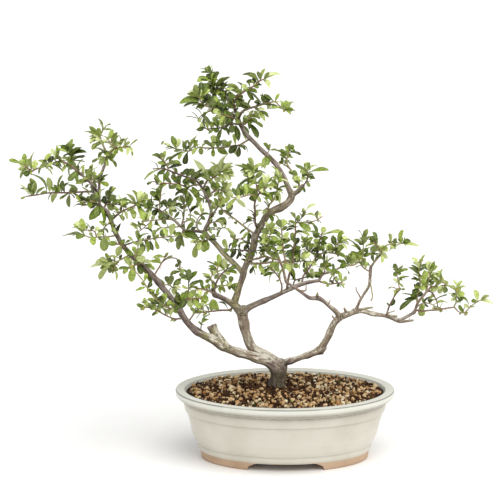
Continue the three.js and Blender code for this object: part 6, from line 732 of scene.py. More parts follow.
def in_metres(places):
    """Places in millimetres from the middle of the pot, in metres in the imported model's frame."""
    return np.asarray(places) * MM + np.array(POT_MIDDLE)


def seen(x, z, depth):
    """The place that looks to be at x, z and lies that deep behind the middle plane."""
    share = (EYE_DISTANCE + depth * DEPTH_STRETCH) / EYE_DISTANCE
    return EYE + (np.array([x, 0.0, z]) - EYE) * share


def nearest_on(route, x, z):
    """How far the route passes from x, z as it looks, and the point where it does."""
    best = (math.inf, None)
    for a, b in zip(route, route[1:]):
        run = (b[0] - a[0]) ** 2 + (b[1] - a[1]) ** 2
        t = min(1, max(0, ((x - a[0]) * (b[0] - a[0]) + (z - a[1]) * (b[1] - a[1])) / run))
        point = [p + (q - p) * t for p, q in zip(a, b)]
        away = math.hypot(point[0] - x, point[1] - z)
        if away < best[0]:
            best = (away, point)
    return best


def twig_routes(spray):
    """Each twig's points with radii, the first moved onto the middle line of its parent."""
    routes = []
    for parent, root_radius, end_radius, points in spray["twigs"]:
        parent_route = LIMBS[parent] if isinstance(parent, str) else routes[parent]
        start = nearest_on(parent_route, points[0][0], points[0][1])[1][:3]
        route = [start] + [list(point) for point in points[1:]]
        last = len(route) - 1
        routes.append([
            point + [root_radius + (end_radius - root_radius) * i / last] for i, point in enumerate(route)
        ])
    return routes


def smooth_line(route, step):
    """Places and radii along a smooth curve through the route's points, about a step apart."""
    knots = np.array([[*seen(x, z, depth), radius] for x, z, depth, radius in route])
    ends = np.vstack([2 * knots[0] - knots[1], knots, 2 * knots[-1] - knots[-2]])
    rows = []
    for i in range(1, len(ends) - 2):
        p0, p1, p2, p3 = ends[i - 1 : i + 3]
        count = max(1, round(np.linalg.norm(p2[:3] - p1[:3]) / step))
        for t in np.arange(count) / count:
            rows.append(0.5 * (2 * p1 + (p2 - p0) * t + (2 * p0 - 5 * p1 + 4 * p2 - p3) * t * t
                               + (3 * p1 - p0 - 3 * p2 + p3) * t ** 3))
    rows.append(knots[-1])
    return np.array(rows)


def run_along(points):
    """How far along the line each of its points is."""
    steps = np.linalg.norm(np.diff(points, axis=0), axis=1)
    return np.concatenate([[0], np.cumsum(steps)])


def add_object(name, data):
    made = bpy.data.objects.new(name, data)
    bpy.context.scene.collection.objects.link(made)
    return made


class Shape:
    """Vertices in millimetres, faces and values for each vertex, gathered for one mesh."""

    def __init__(self):
        self.vertices, self.faces, self.values, self.count = [], [], {}, 0

    def add(self, vertices, faces, **values):
        vertices = np.asarray(vertices, dtype=float)
        self.vertices.append(vertices)
        self.faces.extend([corner + self.count for corner in face] for face in faces)
        for name, value in values.items():
            value = np.asarray(value, dtype=float)
            if value.ndim == 0:
                value = np.full(len(vertices), float(value))
            self.values.setdefault(name, []).append(value)
        self.count += len(vertices)

    def piece(self, name, material, slot, nodes=(), smooth=True):
        """The gathered mesh as a piece of the bonsai."""
        mesh = bpy.data.meshes.new(name)
        mesh.from_pydata(in_metres(np.vstack(self.vertices)).tolist(), [], self.faces)
        for key, parts in self.values.items():
            set_values(mesh, key, np.concatenate(parts))
        mesh.validate()
        mesh.update()
        return as_piece(name, mesh, material, nodes, smooth)


def set_values(mesh, name, values):
    kind = "FLOAT" if values.ndim == 1 else "FLOAT_VECTOR"
    attribute = mesh.attributes.new(name, kind, "POINT")
    attribute.data.foreach_set("value" if kind == "FLOAT" else "vector", values.astype(np.float32).ravel())


def as_piece(name, mesh, material, nodes=(), smooth=True):
    if smooth:
        mesh.shade_smooth()
    else:
        mesh.shade_flat()
    mesh.materials.clear()
    mesh.materials.append(material)
    piece = add_object(name, mesh)
    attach(piece, "root")
    if nodes:
        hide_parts(*nodes)
    return piece


def places_of(mesh):
    """The mesh's vertices in millimetres from the middle of the pot."""
    flat = np.empty(len(mesh.vertices) * 3)
    mesh.vertices.foreach_get("co", flat)
    return (flat.reshape(-1, 3) - np.array(POT_MIDDLE)) / MM


def set_places(mesh, places):
    mesh.vertices.foreach_set("co", in_metres(places).astype(np.float32).ravel())
    mesh.update()


def normals_of(mesh):
    flat = np.empty(len(mesh.vertices) * 3)
    mesh.vertex_normals.foreach_get("vector", flat)
    return flat.reshape(-1, 3)


def evaluated(mesh, *modifiers):
    """The mesh after modifiers, each given as its kind and settings."""
    stand_in = add_object("stand_in", mesh)
    for kind, settings in modifiers:
        modifier = stand_in.modifiers.new(kind.lower(), kind)
        for key, value in settings.items():
            setattr(modifier, key, value)
    graph = bpy.context.evaluated_depsgraph_get()
    result = bpy.data.meshes.new_from_object(stand_in.evaluated_get(graph))
    bpy.data.objects.remove(stand_in)
    return result


def rough(places, size, seed, octaves=3):
    """Noise from about -1 to 1 at each place, with lumps of the given size."""
    shift = Vector([seed * step for step in NOISE_STEPS])
    return np.array([noise.fractal(Vector(p) / size + shift, 1.0, 2.0, octaves) for p in places])


def ring_frames(points):
    """Two directions across the line at each point, turned as little as they can be."""
    along = np.gradient(points, axis=0)
    along /= np.linalg.norm(along, axis=1)[:, None]
    across = np.array([0.0, 1.0, 0.0]) if abs(along[0][1]) < 0.9 else np.array([1.0, 0.0, 0.0])
    sides = []
    for direction in along:
        across = unit(across - direction * across.dot(direction))
        sides.append(across)
    sides = np.array(sides)
    return sides, np.cross(along, sides)


def ring_faces(count, segments):
    """Quads between rings, one after the other."""
    k = np.arange(segments)
    after = (k + 1) % segments
    faces = []
    for i in range(count - 1):
        low, high = i * segments, (i + 1) * segments
        faces.extend(np.stack([low + k, low + after, high + after, high + k], axis=1).tolist())
    return faces


def tube(line, sides, swell=None):
    """Vertices and faces of a closed tube round a line of places and radii."""
    points, radii = line[:, :3], line[:, 3]
    across, up = ring_frames(points)
    angles = 2 * np.pi * np.arange(sides) / sides
    radius = radii[:, None] * (np.ones(sides) if swell is None else swell(points, angles))
    rings = (points[:, None] + across[:, None] * (np.cos(angles) * radius)[..., None]
             + up[:, None] * (np.sin(angles) * radius)[..., None])
    count = len(points)
    vertices = np.vstack([rings.reshape(-1, 3), points[0], points[-1]])
    start, end, last = count * sides, count * sides + 1, (count - 1) * sides
    edges = [(k, (k + 1) % sides) for k in range(sides)]
    faces = ring_faces(count, sides)
    faces += [[start, b, a] for a, b in edges]
    faces += [[end, last + a, last + b] for a, b in edges]
    return vertices, faces


# Materials.

def add(tree, kind, inputs=None, **settings):
    """A shader node, with its settings and its inputs, which are values or other nodes' outputs."""
    made = tree.nodes.new("ShaderNode" + kind)
    for key, value in settings.items():
        setattr(made, key, value)
    for key, value in (inputs or {}).items():
        if isinstance(value, bpy.types.NodeSocket):
            tree.links.new(value, made.inputs[key])
        else:
            made.inputs[key].default_value = value
    return made


def new_tree(name):
    material = bpy.data.materials.new(name)
    material.use_nodes = True
    material.node_tree.nodes.clear()
    return material, material.node_tree


def place_in(tree):
    """Object coordinates, in millimetres."""
    place = add(tree, "TexCoord").outputs["Object"]
    return add(tree, "VectorMath", {0: place, 3: 1 / MM}, operation="SCALE").outputs[0]


def value_of(tree, name):
    return add(tree, "Attribute", attribute_name=name).outputs["Fac"]


def vector_of(tree, name):
    return add(tree, "Attribute", attribute_name=name).outputs["Vector"]


def noise_of(tree, place, size, detail=3.0, roughness=0.55, distortion=0.0):
    """Noise that fills 0 to 1, with lumps of about the given size in millimetres."""
    pattern = add(tree, "TexNoise", {
        "Vector": place, "Scale": 1 / size,
        "Detail": detail, "Roughness": roughness, "Distortion": distortion,
    })
    return span(tree, pattern.outputs["Fac"], 0.33, 0.67)


def stretched(tree, place, factors):
    return add(tree, "VectorMath", {0: place, 1: factors}, operation="MULTIPLY").outputs[0]


def maths(tree, operation, a, b=0.0):
    return add(tree, "Math", {0: a, 1: b}, operation=operation).outputs[0]


def times(tree, a, b):
    return maths(tree, "MULTIPLY", a, b)


def plus(tree, a, b):
    return maths(tree, "ADD", a, b)


def minus(tree, a, b):
    return maths(tree, "SUBTRACT", a, b)


def span(tree, value, low, high, to_low=0.0, to_high=1.0):
    """The value carried from low..high to to_low..to_high, smoothly and held at the ends."""
    return add(tree, "MapRange", {0: value, 1: low, 2: high, 3: to_low, 4: to_high},
               interpolation_type="SMOOTHSTEP").outputs[0]


def linear_ramp(tree, value, stops):
    """A colour for the value, between stops of a position and a linear colour."""
    made = add(tree, "ValToRGB", {0: value})
    elements = made.color_ramp.elements
    while len(elements) < len(stops):
        elements.new(0.5)
    for element, (position, colour) in zip(elements, stops):
        element.position = position
        element.color = (*colour, 1)
    return made.outputs[0]


def ramp(tree, value, *stops):
    """The same with stops of a position and a colour in display values."""
    return linear_ramp(tree, value, [(position, linear(colour)) for position, colour in stops])


def linear(colour):
    """Display values from 0 to 255 as the linear values that shaders take."""
    shares = [c / 255 for c in colour]
    return tuple(c / 12.92 if c <= 0.04045 else ((c + 0.055) / 1.055) ** 2.4 for c in shares)


def blend(tree, factor, a, b):
    """Colour a where the factor is 0, b where it is 1; each is display values or an output."""
    inputs = {0: factor}
    for key, colour in ((6, a), (7, b)):
        inputs[key] = colour if isinstance(colour, bpy.types.NodeSocket) else (*linear(colour), 1)
    return add(tree, "Mix", inputs, data_type="RGBA").outputs[2]


def spots(tree, place, spacing, reach, chosen):
    """Round spots that fade out over that reach, in the cells whose own draw is over the chosen one."""
    cells = add(tree, "TexVoronoi", {"Vector": place, "Scale": 1 / spacing}, feature="F1")
    near = span(tree, cells.outputs["Distance"], *reach, 1.0, 0.0)
    draw = add(tree, "SeparateColor", {0: cells.outputs["Color"]}).outputs[0]
    return times(tree, near, span(tree, draw, *chosen))


def relief(tree, height, depth, under=None):
    """A bump of that height pattern, at most depth millimetres deep."""
    inputs = {"Height": height, "Distance": depth * MM, "Strength": 1.0}
    if under is not None:
        inputs["Normal"] = under
    return add(tree, "Bump", inputs).outputs[0]


def surface(material, tree, **inputs):
    """The material's shader; socket names are given with underscores."""
    named = {key.replace("_", " "): value for key, value in inputs.items()}
    shader = add(tree, "BsdfPrincipled", named)
    output = add(tree, "OutputMaterial")
    tree.links.new(shader.outputs[0], output.inputs[0])
    return material


def glaze_material():
    """Cream glaze over tan clay: it runs thin and dark at the lip and pools under the mouldings, darkened
    there and under the rim as painted shade; the bare underside is painted near black as painted shade.
    """
    material, tree = new_tree("glaze_coat")
    place = place_in(tree)
    edge, pool_and_shade, lip, under = (value_of(tree, name) for name in ("edge", "pool_and_shade", "lip", "under"))
    height = add(tree, "SeparateXYZ", {0: place}).outputs[2]
    broad = noise_of(tree, place, 60, 2)
    fine = noise_of(tree, place, 7, 4)
    cream = ramp(tree, broad, (0.1, (200, 195, 181)), (0.9, (209, 205, 192)))
    cream = blend(tree, times(tree, lip, 0.8), cream, (222, 223, 213))
    drips = noise_of(tree, stretched(tree, place, (1.0, 1.0, 0.25)), 9, 2, 0.5)
    cream = blend(tree, span(tree, drips, 0.4, 1.0, 0.0, 0.1), cream, (200, 196, 180))
    # Painted shade under the rim and in the grooves of the mouldings, laid on as pooled glaze.
    pooled_and_shaded = times(tree, pool_and_shade, span(tree, fine, 0, 1, 0.75, 0.95))
    cream = blend(tree, pooled_and_shaded, cream, (126, 121, 107))
    worn = times(tree, edge, span(tree, noise_of(tree, place, 45, 3, 0.6), 0.1, 0.6, 0.7, 1.0))
    cream = blend(tree, worn, cream, (36, 40, 40))
    cream = blend(tree, spots(tree, place, 10, (0.03, 0.06), (0.72, 0.76)), cream, (120, 108, 92))
    grain = noise_of(tree, place, 0.7, 4, 0.7)
    mixed = plus(tree, times(tree, grain, 0.5), times(tree, broad, 0.5))
    clay = ramp(tree, mixed, (0.1, (178, 148, 120)), (0.5, (196, 166, 138)), (0.9, (208, 180, 152)))
    clay = blend(tree, span(tree, height, 0.2, 3.5, 0.45, 0.0), clay, (150, 122, 98))
    # Painted shade: the bare underside inside the foot is painted near black for the shade under the pot.
    clay = blend(tree, under, clay, (30, 20, 14))
    line = plus(tree, height, span(tree, noise_of(tree, place, 20, 2), 0, 1, -0.3, 0.3))
    bare = maths(tree, "MAXIMUM", span(tree, line, 11.4, 11.8, 1.0, 0.0), under)
    colour = blend(tree, bare, cream, clay)
    shine = plus(tree, span(tree, bare, 0, 1, 0.3, 0.65), times(tree, fine, 0.06))
    wavy = relief(tree, broad, 0.35)
    grainy = relief(tree, times(tree, grain, bare), 0.2, wavy)
    return surface(
        material, tree, Base_Color=colour, Roughness=shine, Normal=grainy, Specular_IOR_Level=0.5,
    )


def bark_material():
    """Brown bark in long fine streaks, with cream bare patches laid most on the sides facing up as a painted
    highlight, olive lichen, and painted shade on the undersides and deep in the crown.
    """
    material, tree = new_tree("bark_skin")
    place = place_in(tree)
    along = vector_of(tree, "along")
    thick, kind = value_of(tree, "thick"), value_of(tree, "kind")
    lichen, paleness, darkness = (value_of(tree, name) for name in ("lichen", "paleness", "darkness"))
    up = add(tree, "SeparateXYZ", {0: add(tree, "NewGeometry").outputs["Normal"]}).outputs[2]
    streak = noise_of(tree, stretched(tree, along, (0.14, 1.0, 1.0)), 1.5, 4, 0.6)
    blotch = noise_of(tree, stretched(tree, along, (0.45, 1.0, 1.0)), 7.0, 5, 0.7, 0.4)
    speckle = noise_of(tree, stretched(tree, along, (0.6, 1.0, 1.0)), 1.6, 3, 0.6)
    patch = noise_of(tree, place, 11, 4, 0.65, 0.4)
    mauve = ramp(tree, streak, (0.05, (100, 80, 76)), (0.5, (130, 110, 106)), (0.95, (160, 144, 138)))
    beige = ramp(tree, streak, (0.05, (136, 116, 96)), (0.5, (162, 144, 124)), (0.95, (188, 174, 152)))
    colour = blend(tree, paleness, mauve, beige)
    # Painted deep shade, where limbs lie in shadow under the crown.
    colour = blend(tree, span(tree, darkness, 1.0, 2.0, 0.0, 0.55), colour, (84, 66, 60))
    moss = times(tree, lichen, span(tree, patch, 0.15, 0.7))
    olive = ramp(tree, streak, (0.1, (112, 104, 62)), (0.55, (156, 148, 98)), (0.9, (192, 186, 136)))
    colour = blend(tree, moss, colour, olive)
    # lit is higher on the sides facing up. The cream patches lie where it is high, as pale skin and a painted
    # highlight.
    lit = plus(tree, times(tree, up, 0.5), times(tree, blotch, 0.6))
    lit = plus(tree, lit, span(tree, speckle, 0, 1, 0.0, 0.2))
    bare = times(tree, span(tree, lit, 0.42, 0.8), span(tree, paleness, 0.1, 0.75, 0.25, 1.0))
    cream = ramp(tree, streak, (0.1, (204, 194, 174)), (0.6, (238, 232, 216)))
    colour = blend(tree, bare, colour, cream)
    # The dark crust lies where lit is low, on the sides facing down: crust and painted shade.
    crust_and_underside_shade = times(tree, span(tree, lit, 0.05, 0.4, 1.0, 0.0), darkness)
    colour = blend(tree, times(tree, crust_and_underside_shade, 0.85), colour, (68, 52, 44))
    # Painted shade on the sides facing down.
    below = span(tree, up, -0.8, 0.12, 0.9, 0.0)
    below = times(tree, below, span(tree, patch, 0.1, 0.6, 1.0, 0.6))
    colour = blend(tree, below, colour, (58, 48, 30))
    pit = spots(tree, stretched(tree, along, (0.5, 1.0, 1.0)), 3.2, (0.1, 0.24), (0.72, 0.77))
    pit = times(tree, pit, span(tree, thick, 1.5, 3.5))
    colour = blend(tree, times(tree, pit, 0.8), colour, (66, 52, 42))
    grain = noise_of(tree, stretched(tree, along, (0.1, 1.0, 1.0)), 2.6, 3, 0.6, 0.5)
    crack = maths(tree, "ABSOLUTE", minus(tree, grain, 0.5))
    crack = span(tree, crack, 0.01, 0.06, 1.0, 0.0)
    crack = times(tree, crack, span(tree, thick, 2.0, 9.0, 0.15, 0.5))
    colour = blend(tree, crack, colour, (70, 56, 46))
    young = ramp(tree, kind, (0.0, (150, 146, 82)), (0.3, (168, 150, 102)), (0.5, (152, 116, 82)),
                 (0.75, (132, 86, 64)), (1.0, (84, 60, 50)))
    young = blend(tree, span(tree, streak, 0.5, 1.0, 0.0, 0.5), young, (206, 192, 150))
    colour = blend(tree, span(tree, thick, 0.9, 2.2, 0.9, 0.0), colour, young)
    crease = span(tree, value_of(tree, "seam"), 0.45, 0.95)
    scurf = noise_of(tree, place, 2.2, 5, 0.75)
    scurfy = ramp(tree, scurf, (0.15, (84, 72, 54)), (0.5, (134, 120, 94)), (0.85, (190, 178, 150)))
    colour = blend(tree, crease, colour, scurfy)
    # Dirt and painted shade on the stump's foot, and painted shade in the creases under the cut limb and in
    # the forks.
    grime = times(tree, value_of(tree, "grime"), span(tree, streak, 0.2, 0.9, 0.95, 0.6))
    grime_and_shade_colour = ramp(tree, blotch, (0.2, (58, 46, 38)), (0.5, (84, 76, 56)), (0.8, (106, 90, 74)))
    colour = blend(tree, grime, colour, grime_and_shade_colour)
    lumps = plus(tree, times(tree, streak, 0.5), times(tree, patch, 0.4))
    lumps = minus(tree, lumps, times(tree, crack, 0.8))
    lumps = minus(tree, lumps, times(tree, pit, 0.7))
    lumps = minus(tree, lumps, times(tree, bare, 0.5))
    lumps = plus(tree, times(tree, lumps, minus(tree, 1.0, crease)), times(tree, scurf, crease))
    bump = relief(tree, lumps, 0.8)
    bump = relief(tree, noise_of(tree, place, 0.5, 4, 0.7), 0.12, bump)
    rough_bark = plus(tree, 0.55, times(tree, streak, 0.3))
    return surface(material, tree, Base_Color=colour, Roughness=rough_bark, Normal=bump)


def leaf_material():
    """A leathery leaf: green of several ages, paler beneath, with a light rib and side veins."""
    material, tree = new_tree("leaf_skin")
    place = place_in(tree)
    split = add(tree, "SeparateXYZ", {0: vector_of(tree, "blade")})
    across, run, top = (split.outputs[i] for i in range(3))
    off = maths(tree, "ABSOLUTE", across)
    mottle = noise_of(tree, place, 3, 3)
    tone = plus(tree, value_of(tree, "tone"), span(tree, mottle, 0, 1, -0.08, 0.08))
    green = ramp(tree, tone, (0.0, (22, 34, 0)), (0.25, (54, 76, 4)), (0.5, (106, 132, 26)),
                 (0.75, (170, 190, 84)), (1.0, (228, 236, 172)))
    rib = span(tree, off, 0.02, 0.12, 1.0, 0.0)
    turn = minus(tree, times(tree, run, 8.5), times(tree, off, 1.7))
    wave = maths(tree, "ABSOLUTE", minus(tree, maths(tree, "FRACT", turn), 0.5))
    vein = span(tree, wave, 0.02, 0.14, 1.0, 0.0)
    colour = blend(tree, times(tree, vein, 0.2), green, (176, 186, 104))
    colour = blend(tree, times(tree, rib, 0.5), colour, (186, 190, 110))
    burnt = span(tree, noise_of(tree, place, 9, 2), 0.5, 0.9)
    burnt = times(tree, span(tree, off, 0.8, 1.0), burnt)
    colour = blend(tree, times(tree, burnt, 0.6), colour, (140, 104, 50))
    beneath = blend(tree, 0.5, colour, (148, 158, 100))
    colour = blend(tree, span(tree, top, 0.3, 0.7), beneath, colour)
    colour = blend(tree, span(tree, run, 0.02, 0.1, 1.0, 0.0), colour, (140, 126, 66))
    shine = span(tree, top, 0.3, 0.7, 0.6, 0.26)
    veins = plus(tree, times(tree, vein, -0.6), times(tree, rib, -1.0))
    bump = relief(tree, veins, 0.12)
    bump = relief(tree, noise_of(tree, place, 0.9, 3), 0.08, bump)
    return surface(material, tree, Base_Color=colour, Roughness=shine, Normal=bump, Specular_IOR_Level=0.45)


def bud_material():
    """Yellow green, paler here and there."""
    material, tree = new_tree("bud_skin")
    place = place_in(tree)
    green = ramp(tree, noise_of(tree, place, 3, 3), (0.1, (104, 114, 42)), (0.5, (150, 156, 66)),
                 (0.9, (190, 180, 96)))
    bump = relief(tree, noise_of(tree, place, 0.6, 3), 0.1)
    return surface(material, tree, Base_Color=green, Roughness=0.5, Normal=bump)


def soil_material():
    """Dark crumbly soil between the grit."""
    material, tree = new_tree("soil_mass")
    place = place_in(tree)
    crumbs = noise_of(tree, place, 2.2, 5, 0.7)
    colour = ramp(tree, crumbs, (0.1, (26, 13, 5)), (0.5, (56, 33, 15)), (0.9, (96, 62, 32)))
    bump = relief(tree, crumbs, 1.6)
    return surface(material, tree, Base_Color=colour, Roughness=0.95, Normal=bump, Specular_IOR_Level=0.2)


def grit_material(name, dark, middle, light):
    """Broken stone or crumbs of one colour, each with a lightness of its own."""
    material, tree = new_tree(name)
    place = place_in(tree)
    grain = noise_of(tree, place, 1.1, 4, 0.7)
    tone = value_of(tree, "tone")
    level = plus(tree, times(tree, grain, 0.55), times(tree, tone, 0.45))
    colour = ramp(tree, level, (0.1, dark), (0.5, middle), (0.9, light))
    bump = relief(tree, noise_of(tree, place, 0.45, 4, 0.75), 0.25)
    return surface(material, tree, Base_Color=colour, Roughness=0.85, Normal=bump, Specular_IOR_Level=0.25)


def screen_material():
    """Black plastic mesh, a little dusty."""
    material, tree = new_tree("drain_screen")
    place = place_in(tree)
    dust = noise_of(tree, place, 3, 4, 0.6)
    colour = ramp(tree, dust, (0.3, (20, 20, 19)), (0.7, (34, 33, 30)), (0.95, (74, 64, 50)))
    strands = add(tree, "TexWave", {"Vector": place, "Scale": 0.9, "Distortion": 0.4}, wave_type="BANDS")
    bump = relief(tree, strands.outputs["Fac"], 0.1)
    return surface(material, tree, Base_Color=colour, Roughness=0.55, Normal=bump)


# Pot.

# How far apart the profile's points are at most. Its first points are inside the pot, under the
# soil, and lie further apart.
SPACING = 1.6
INSIDE_SPACING = 5
INSIDE_POINTS = 30


def rounded(corners, steps=5):
    """The profile with each corner, (inset, z, radius), rounded off, and points along its runs."""
    points = [np.array(corners[0][:2], dtype=float)]
    for before, corner, after in zip(corners, corners[1:], corners[2:]):
        middle = np.array(corner[:2], dtype=float)
        arms = [np.array(other[:2], dtype=float) - middle for other in (before, after)]
        lengths = [np.linalg.norm(arm) for arm in arms]
        half = math.acos(np.clip(arms[0].dot(arms[1]) / (lengths[0] * lengths[1]), -1, 1)) / 2
        cut = min(corner[2] / math.tan(half), 0.48 * min(lengths))
        start, end = (middle + arm / length * cut for arm, length in zip(arms, lengths))
        for t in np.linspace(0, 1, steps):
            points.append((1 - t) ** 2 * start + 2 * t * (1 - t) * middle + t * t * end)
    points.append(np.array(corners[-1][:2], dtype=float))
    filled = [points[0]]
    for a, b in zip(points, points[1:]):
        spacing = SPACING if len(filled) > INSIDE_POINTS else INSIDE_SPACING
        count = max(1, math.ceil(np.linalg.norm(b - a) / spacing))
        filled.extend(a + (b - a) * t for t in np.arange(1, count + 1) / count)
    return np.array(filled)


# Distances in from the rim, heights and corner radii, from the inside floor over the lip and
# down the outside to the underside.
POT_PROFILE = [
    (46, FLOOR_Z, 1), (43, FLOOR_Z, 3), (35.5, 28, 8), (30.5, 40, 14), (27.5, 54, 14), (23, 68, 12),
    (17.5, 84, 10), (13, 97.4, 1.5), (0, 99, 2), (0, 90.8, 3), (5, 86, 4), (10.6, 81.8, 3.4), (11.6, 74, 8),
    (12.8, 68.8, 1.6), (15.6, 66.2, 1.8), (16.6, 61, 6), (19.6, 50, 14), (22, 38, 14), (26, 28, 10),
    (30.4, 20.9, 1.8), (29.9, 17.2, 2.6), (31.5, 13.8, 2), (32.8, 11.9, 0.6), (33.2, 10.8, 1),
    (35, 0, 0.8), (47, 0, 0.8), (47, FOOT_TOP_Z, 2), (52, FOOT_TOP_Z, 1),
]
# The rings of the floor and of the underside, as shares of the profile's first and last ring.
PLATE_SHARES = (0.03, 0.3, 0.6)
# Where the glaze is worn thin, and where it pools in the mouldings and is darkened as painted shade, most
# under the rim: inset, z, reach and strength.
WORN_EDGES = [(12.6, 97, 0.55, 1.0), (0.2, 98.0, 0.7, 1.0)]
POOLS_AND_SHADE = [
    (1, 89, 3, 0.5), (4.5, 86.4, 3.6, 0.95), (9.4, 82.6, 3.2, 0.95), (14.4, 67.2, 1.9, 0.4),
    (30.4, 20.8, 1.8, 0.25), (32.6, 12.4, 0.9, 0.3),
]
# The lip is above this height and outside this inset, and the bare underside is inside that one.
LIP_Z = 88
LIP_INSET = 16
UNDER_INSET = 36
SHARP_ANGLE = 50
DRAIN_SIDES = 48
OVERCUT = 3
ARCH = [(-52.5, -1), (-52.5, 0), (-50, 6), (-40.5, 11.1), (40.5, 11.1), (50, 6), (52.5, 0), (52.5, -1)]


def inset_ring(inset, z, segments):
    """The rim's oval moved in by the inset along its normals."""
    angles = 2 * np.pi * np.arange(segments) / segments
    x, y = RIM_HALF_LENGTH * np.cos(angles), RIM_HALF_WIDTH * np.sin(angles)
    normal = np.stack([np.cos(angles) / RIM_HALF_LENGTH, np.sin(angles) / RIM_HALF_WIDTH], axis=1)
    normal /= np.linalg.norm(normal, axis=1)[:, None]
    return np.column_stack([x - normal[:, 0] * inset, y - normal[:, 1] * inset, np.full(segments, float(z))])


def marks_of(profile, corners):
    """How strongly each profile point carries a mark: corners are (inset, z, reach, strength)."""
    marks = np.zeros(len(profile))
    for inset, z, reach, strength in corners:
        away = np.hypot(profile[:, 0] - inset, profile[:, 1] - z)
        marks = np.maximum(marks, strength * np.exp(-(away / reach) ** 2))
    return marks


def cutter(outline, opposite):
    """A prism between two outlines, which cuts a hole and is thrown away."""
    count = len(outline)
    faces = [list(range(count))[::-1], list(range(count, 2 * count))]
    faces += [[k, (k + 1) % count, count + (k + 1) % count, count + k] for k in range(count)]
    mesh = bpy.data.meshes.new("cutter")
    mesh.from_pydata(in_metres(outline + opposite).tolist(), [], faces)
    return add_object("cutter", mesh)


def arch_cutter():
    reach = 2 * RIM_HALF_WIDTH
    return cutter(*([(x, y, z) for x, z in ARCH] for y in (-reach, reach)))


def drain_cutter(middle):
    angles = 2 * np.pi * np.arange(DRAIN_SIDES) / DRAIN_SIDES
    circle = [(middle + DRAIN_RADIUS * math.cos(a), DRAIN_RADIUS * math.sin(a)) for a in angles]
    return cutter(*([(x, y, z) for x, y in circle] for z in (FOOT_TOP_Z - OVERCUT, FLOOR_Z + OVERCUT)))


def cut_away(piece, cutters):
    """Takes the cutters out of the piece and removes them."""
    for tool in cutters:
        cut = piece.modifiers.new("cut", "BOOLEAN")
        cut.object, cut.operation, cut.solver = tool, "DIFFERENCE", "EXACT"
    graph = bpy.context.evaluated_depsgraph_get()
    mesh = bpy.data.meshes.new_from_object(piece.evaluated_get(graph))
    piece.modifiers.clear()
    piece.data = mesh
    for tool in cutters:
        bpy.data.objects.remove(tool)
    mesh.set_sharp_from_angle(angle=math.radians(SHARP_ANGLE))


def make_pot():
    """The pot in one skin from its floor over the lip to its underside, with the marks for the glaze."""
    profile = rounded(POT_PROFILE)
    inset, height = profile[:, 0], profile[:, 1]
    marks = {
        "edge": marks_of(profile, WORN_EDGES),
        "pool_and_shade": marks_of(profile, POOLS_AND_SHADE),
        "lip": np.clip((height - LIP_Z) / 5, 0, 1) * (inset < LIP_INSET),
        "under": np.clip((inset - UNDER_INSET) / 2, 0, 1) * (height < FOOT_TOP_Z + 1),
    }
    values = {}
    for name, marked in marks.items():
        underside = float(name == "under")
        whole = [[0.0] * len(PLATE_SHARES), marked, [underside] * len(PLATE_SHARES)]
        values[name] = np.repeat(np.concatenate(whole), POT_SEGMENTS)
    wall = [inset_ring(*point, POT_SEGMENTS) for point in profile]
    plate = [wall[0] * [share, share, 1] for share in PLATE_SHARES]
    underside = [wall[-1] * [share, share, 1] for share in reversed(PLATE_SHARES)]
    rings = plate + wall + underside
    faces = [face[::-1] for face in ring_faces(len(rings), POT_SEGMENTS)]
    faces.append(list(range(POT_SEGMENTS)))
    last = (len(rings) - 1) * POT_SEGMENTS
    faces.append([last + k for k in range(POT_SEGMENTS)][::-1])
    shape = Shape()
    shape.add(np.vstack(rings), faces, **values)
    pot = shape.piece("pot_glazed", glaze_material(), "glaze", ["pot"])
    cut_away(pot, [arch_cutter(), drain_cutter(-DRAIN_X), drain_cutter(DRAIN_X)])


# Soil and grit.

SOIL_HALF_LENGTH = RIM_HALF_LENGTH - SOIL_EDGE_INSET
SOIL_HALF_WIDTH = RIM_HALF_WIDTH - SOIL_EDGE_INSET
SOIL_SEGMENTS = 192
# Inset and height of the soil's rings along the pot's wall, from its underside up.
SOIL_SIDES = [
    (47, 18.4), (43.4, 18.4), (35.9, 28), (30.9, 40), (27.9, 54), (23.4, 68), (17.9, 84),
    (SOIL_EDGE_INSET + 0.2, 93),
]
# The middle of its underside, and how much higher it lies, over the drain screens.
SOIL_MIDDLE = 0.3
SCREEN_ROOM = 1.4
# Circles from the top's edge to its middle, the first few of them not yet as rough as the rest.
SOIL_CIRCLES = 60
CALM_CIRCLES = 3


def mound(x, y):
    """The soil's height at a place, before it is made rough."""
    share = np.hypot(x / SOIL_HALF_LENGTH, y / SOIL_HALF_WIDTH)
    return SOIL_EDGE_Z + SOIL_MOUND * (1 - share ** 2)


def soil_relief(places):
    return 1.5 * rough(places, 16, 3) + 0.7 * rough(places, 5, 8)


def make_soil():
    """The soil's skin: up along the pot's wall, then over the mound to its middle."""
    rings = [inset_ring(inset, z, SOIL_SEGMENTS) for inset, z in SOIL_SIDES]
    edge = inset_ring(SOIL_EDGE_INSET, 0, SOIL_SEGMENTS)
    for circle in range(SOIL_CIRCLES, 0, -1):
        ring = edge * (circle / SOIL_CIRCLES)
        ring[:, 2] = mound(ring[:, 0], ring[:, 1])
        fade = min(1, (SOIL_CIRCLES - circle) / CALM_CIRCLES)
        ring[:, 2] += fade * soil_relief(ring)
        rings.append(ring)
    rings = [rings[0] * [SOIL_MIDDLE, SOIL_MIDDLE, 1] + [0, 0, SCREEN_ROOM]] + rings
    faces = ring_faces(len(rings), SOIL_SEGMENTS)
    faces.append(list(range(SOIL_SEGMENTS))[::-1])
    last = (len(rings) - 1) * SOIL_SEGMENTS
    faces.append([last + k for k in range(SOIL_SEGMENTS)])
    shape = Shape()
    shape.add(np.vstack(rings), faces)
    shape.piece("soil_bed", soil_material(), "soil", ["soil"])


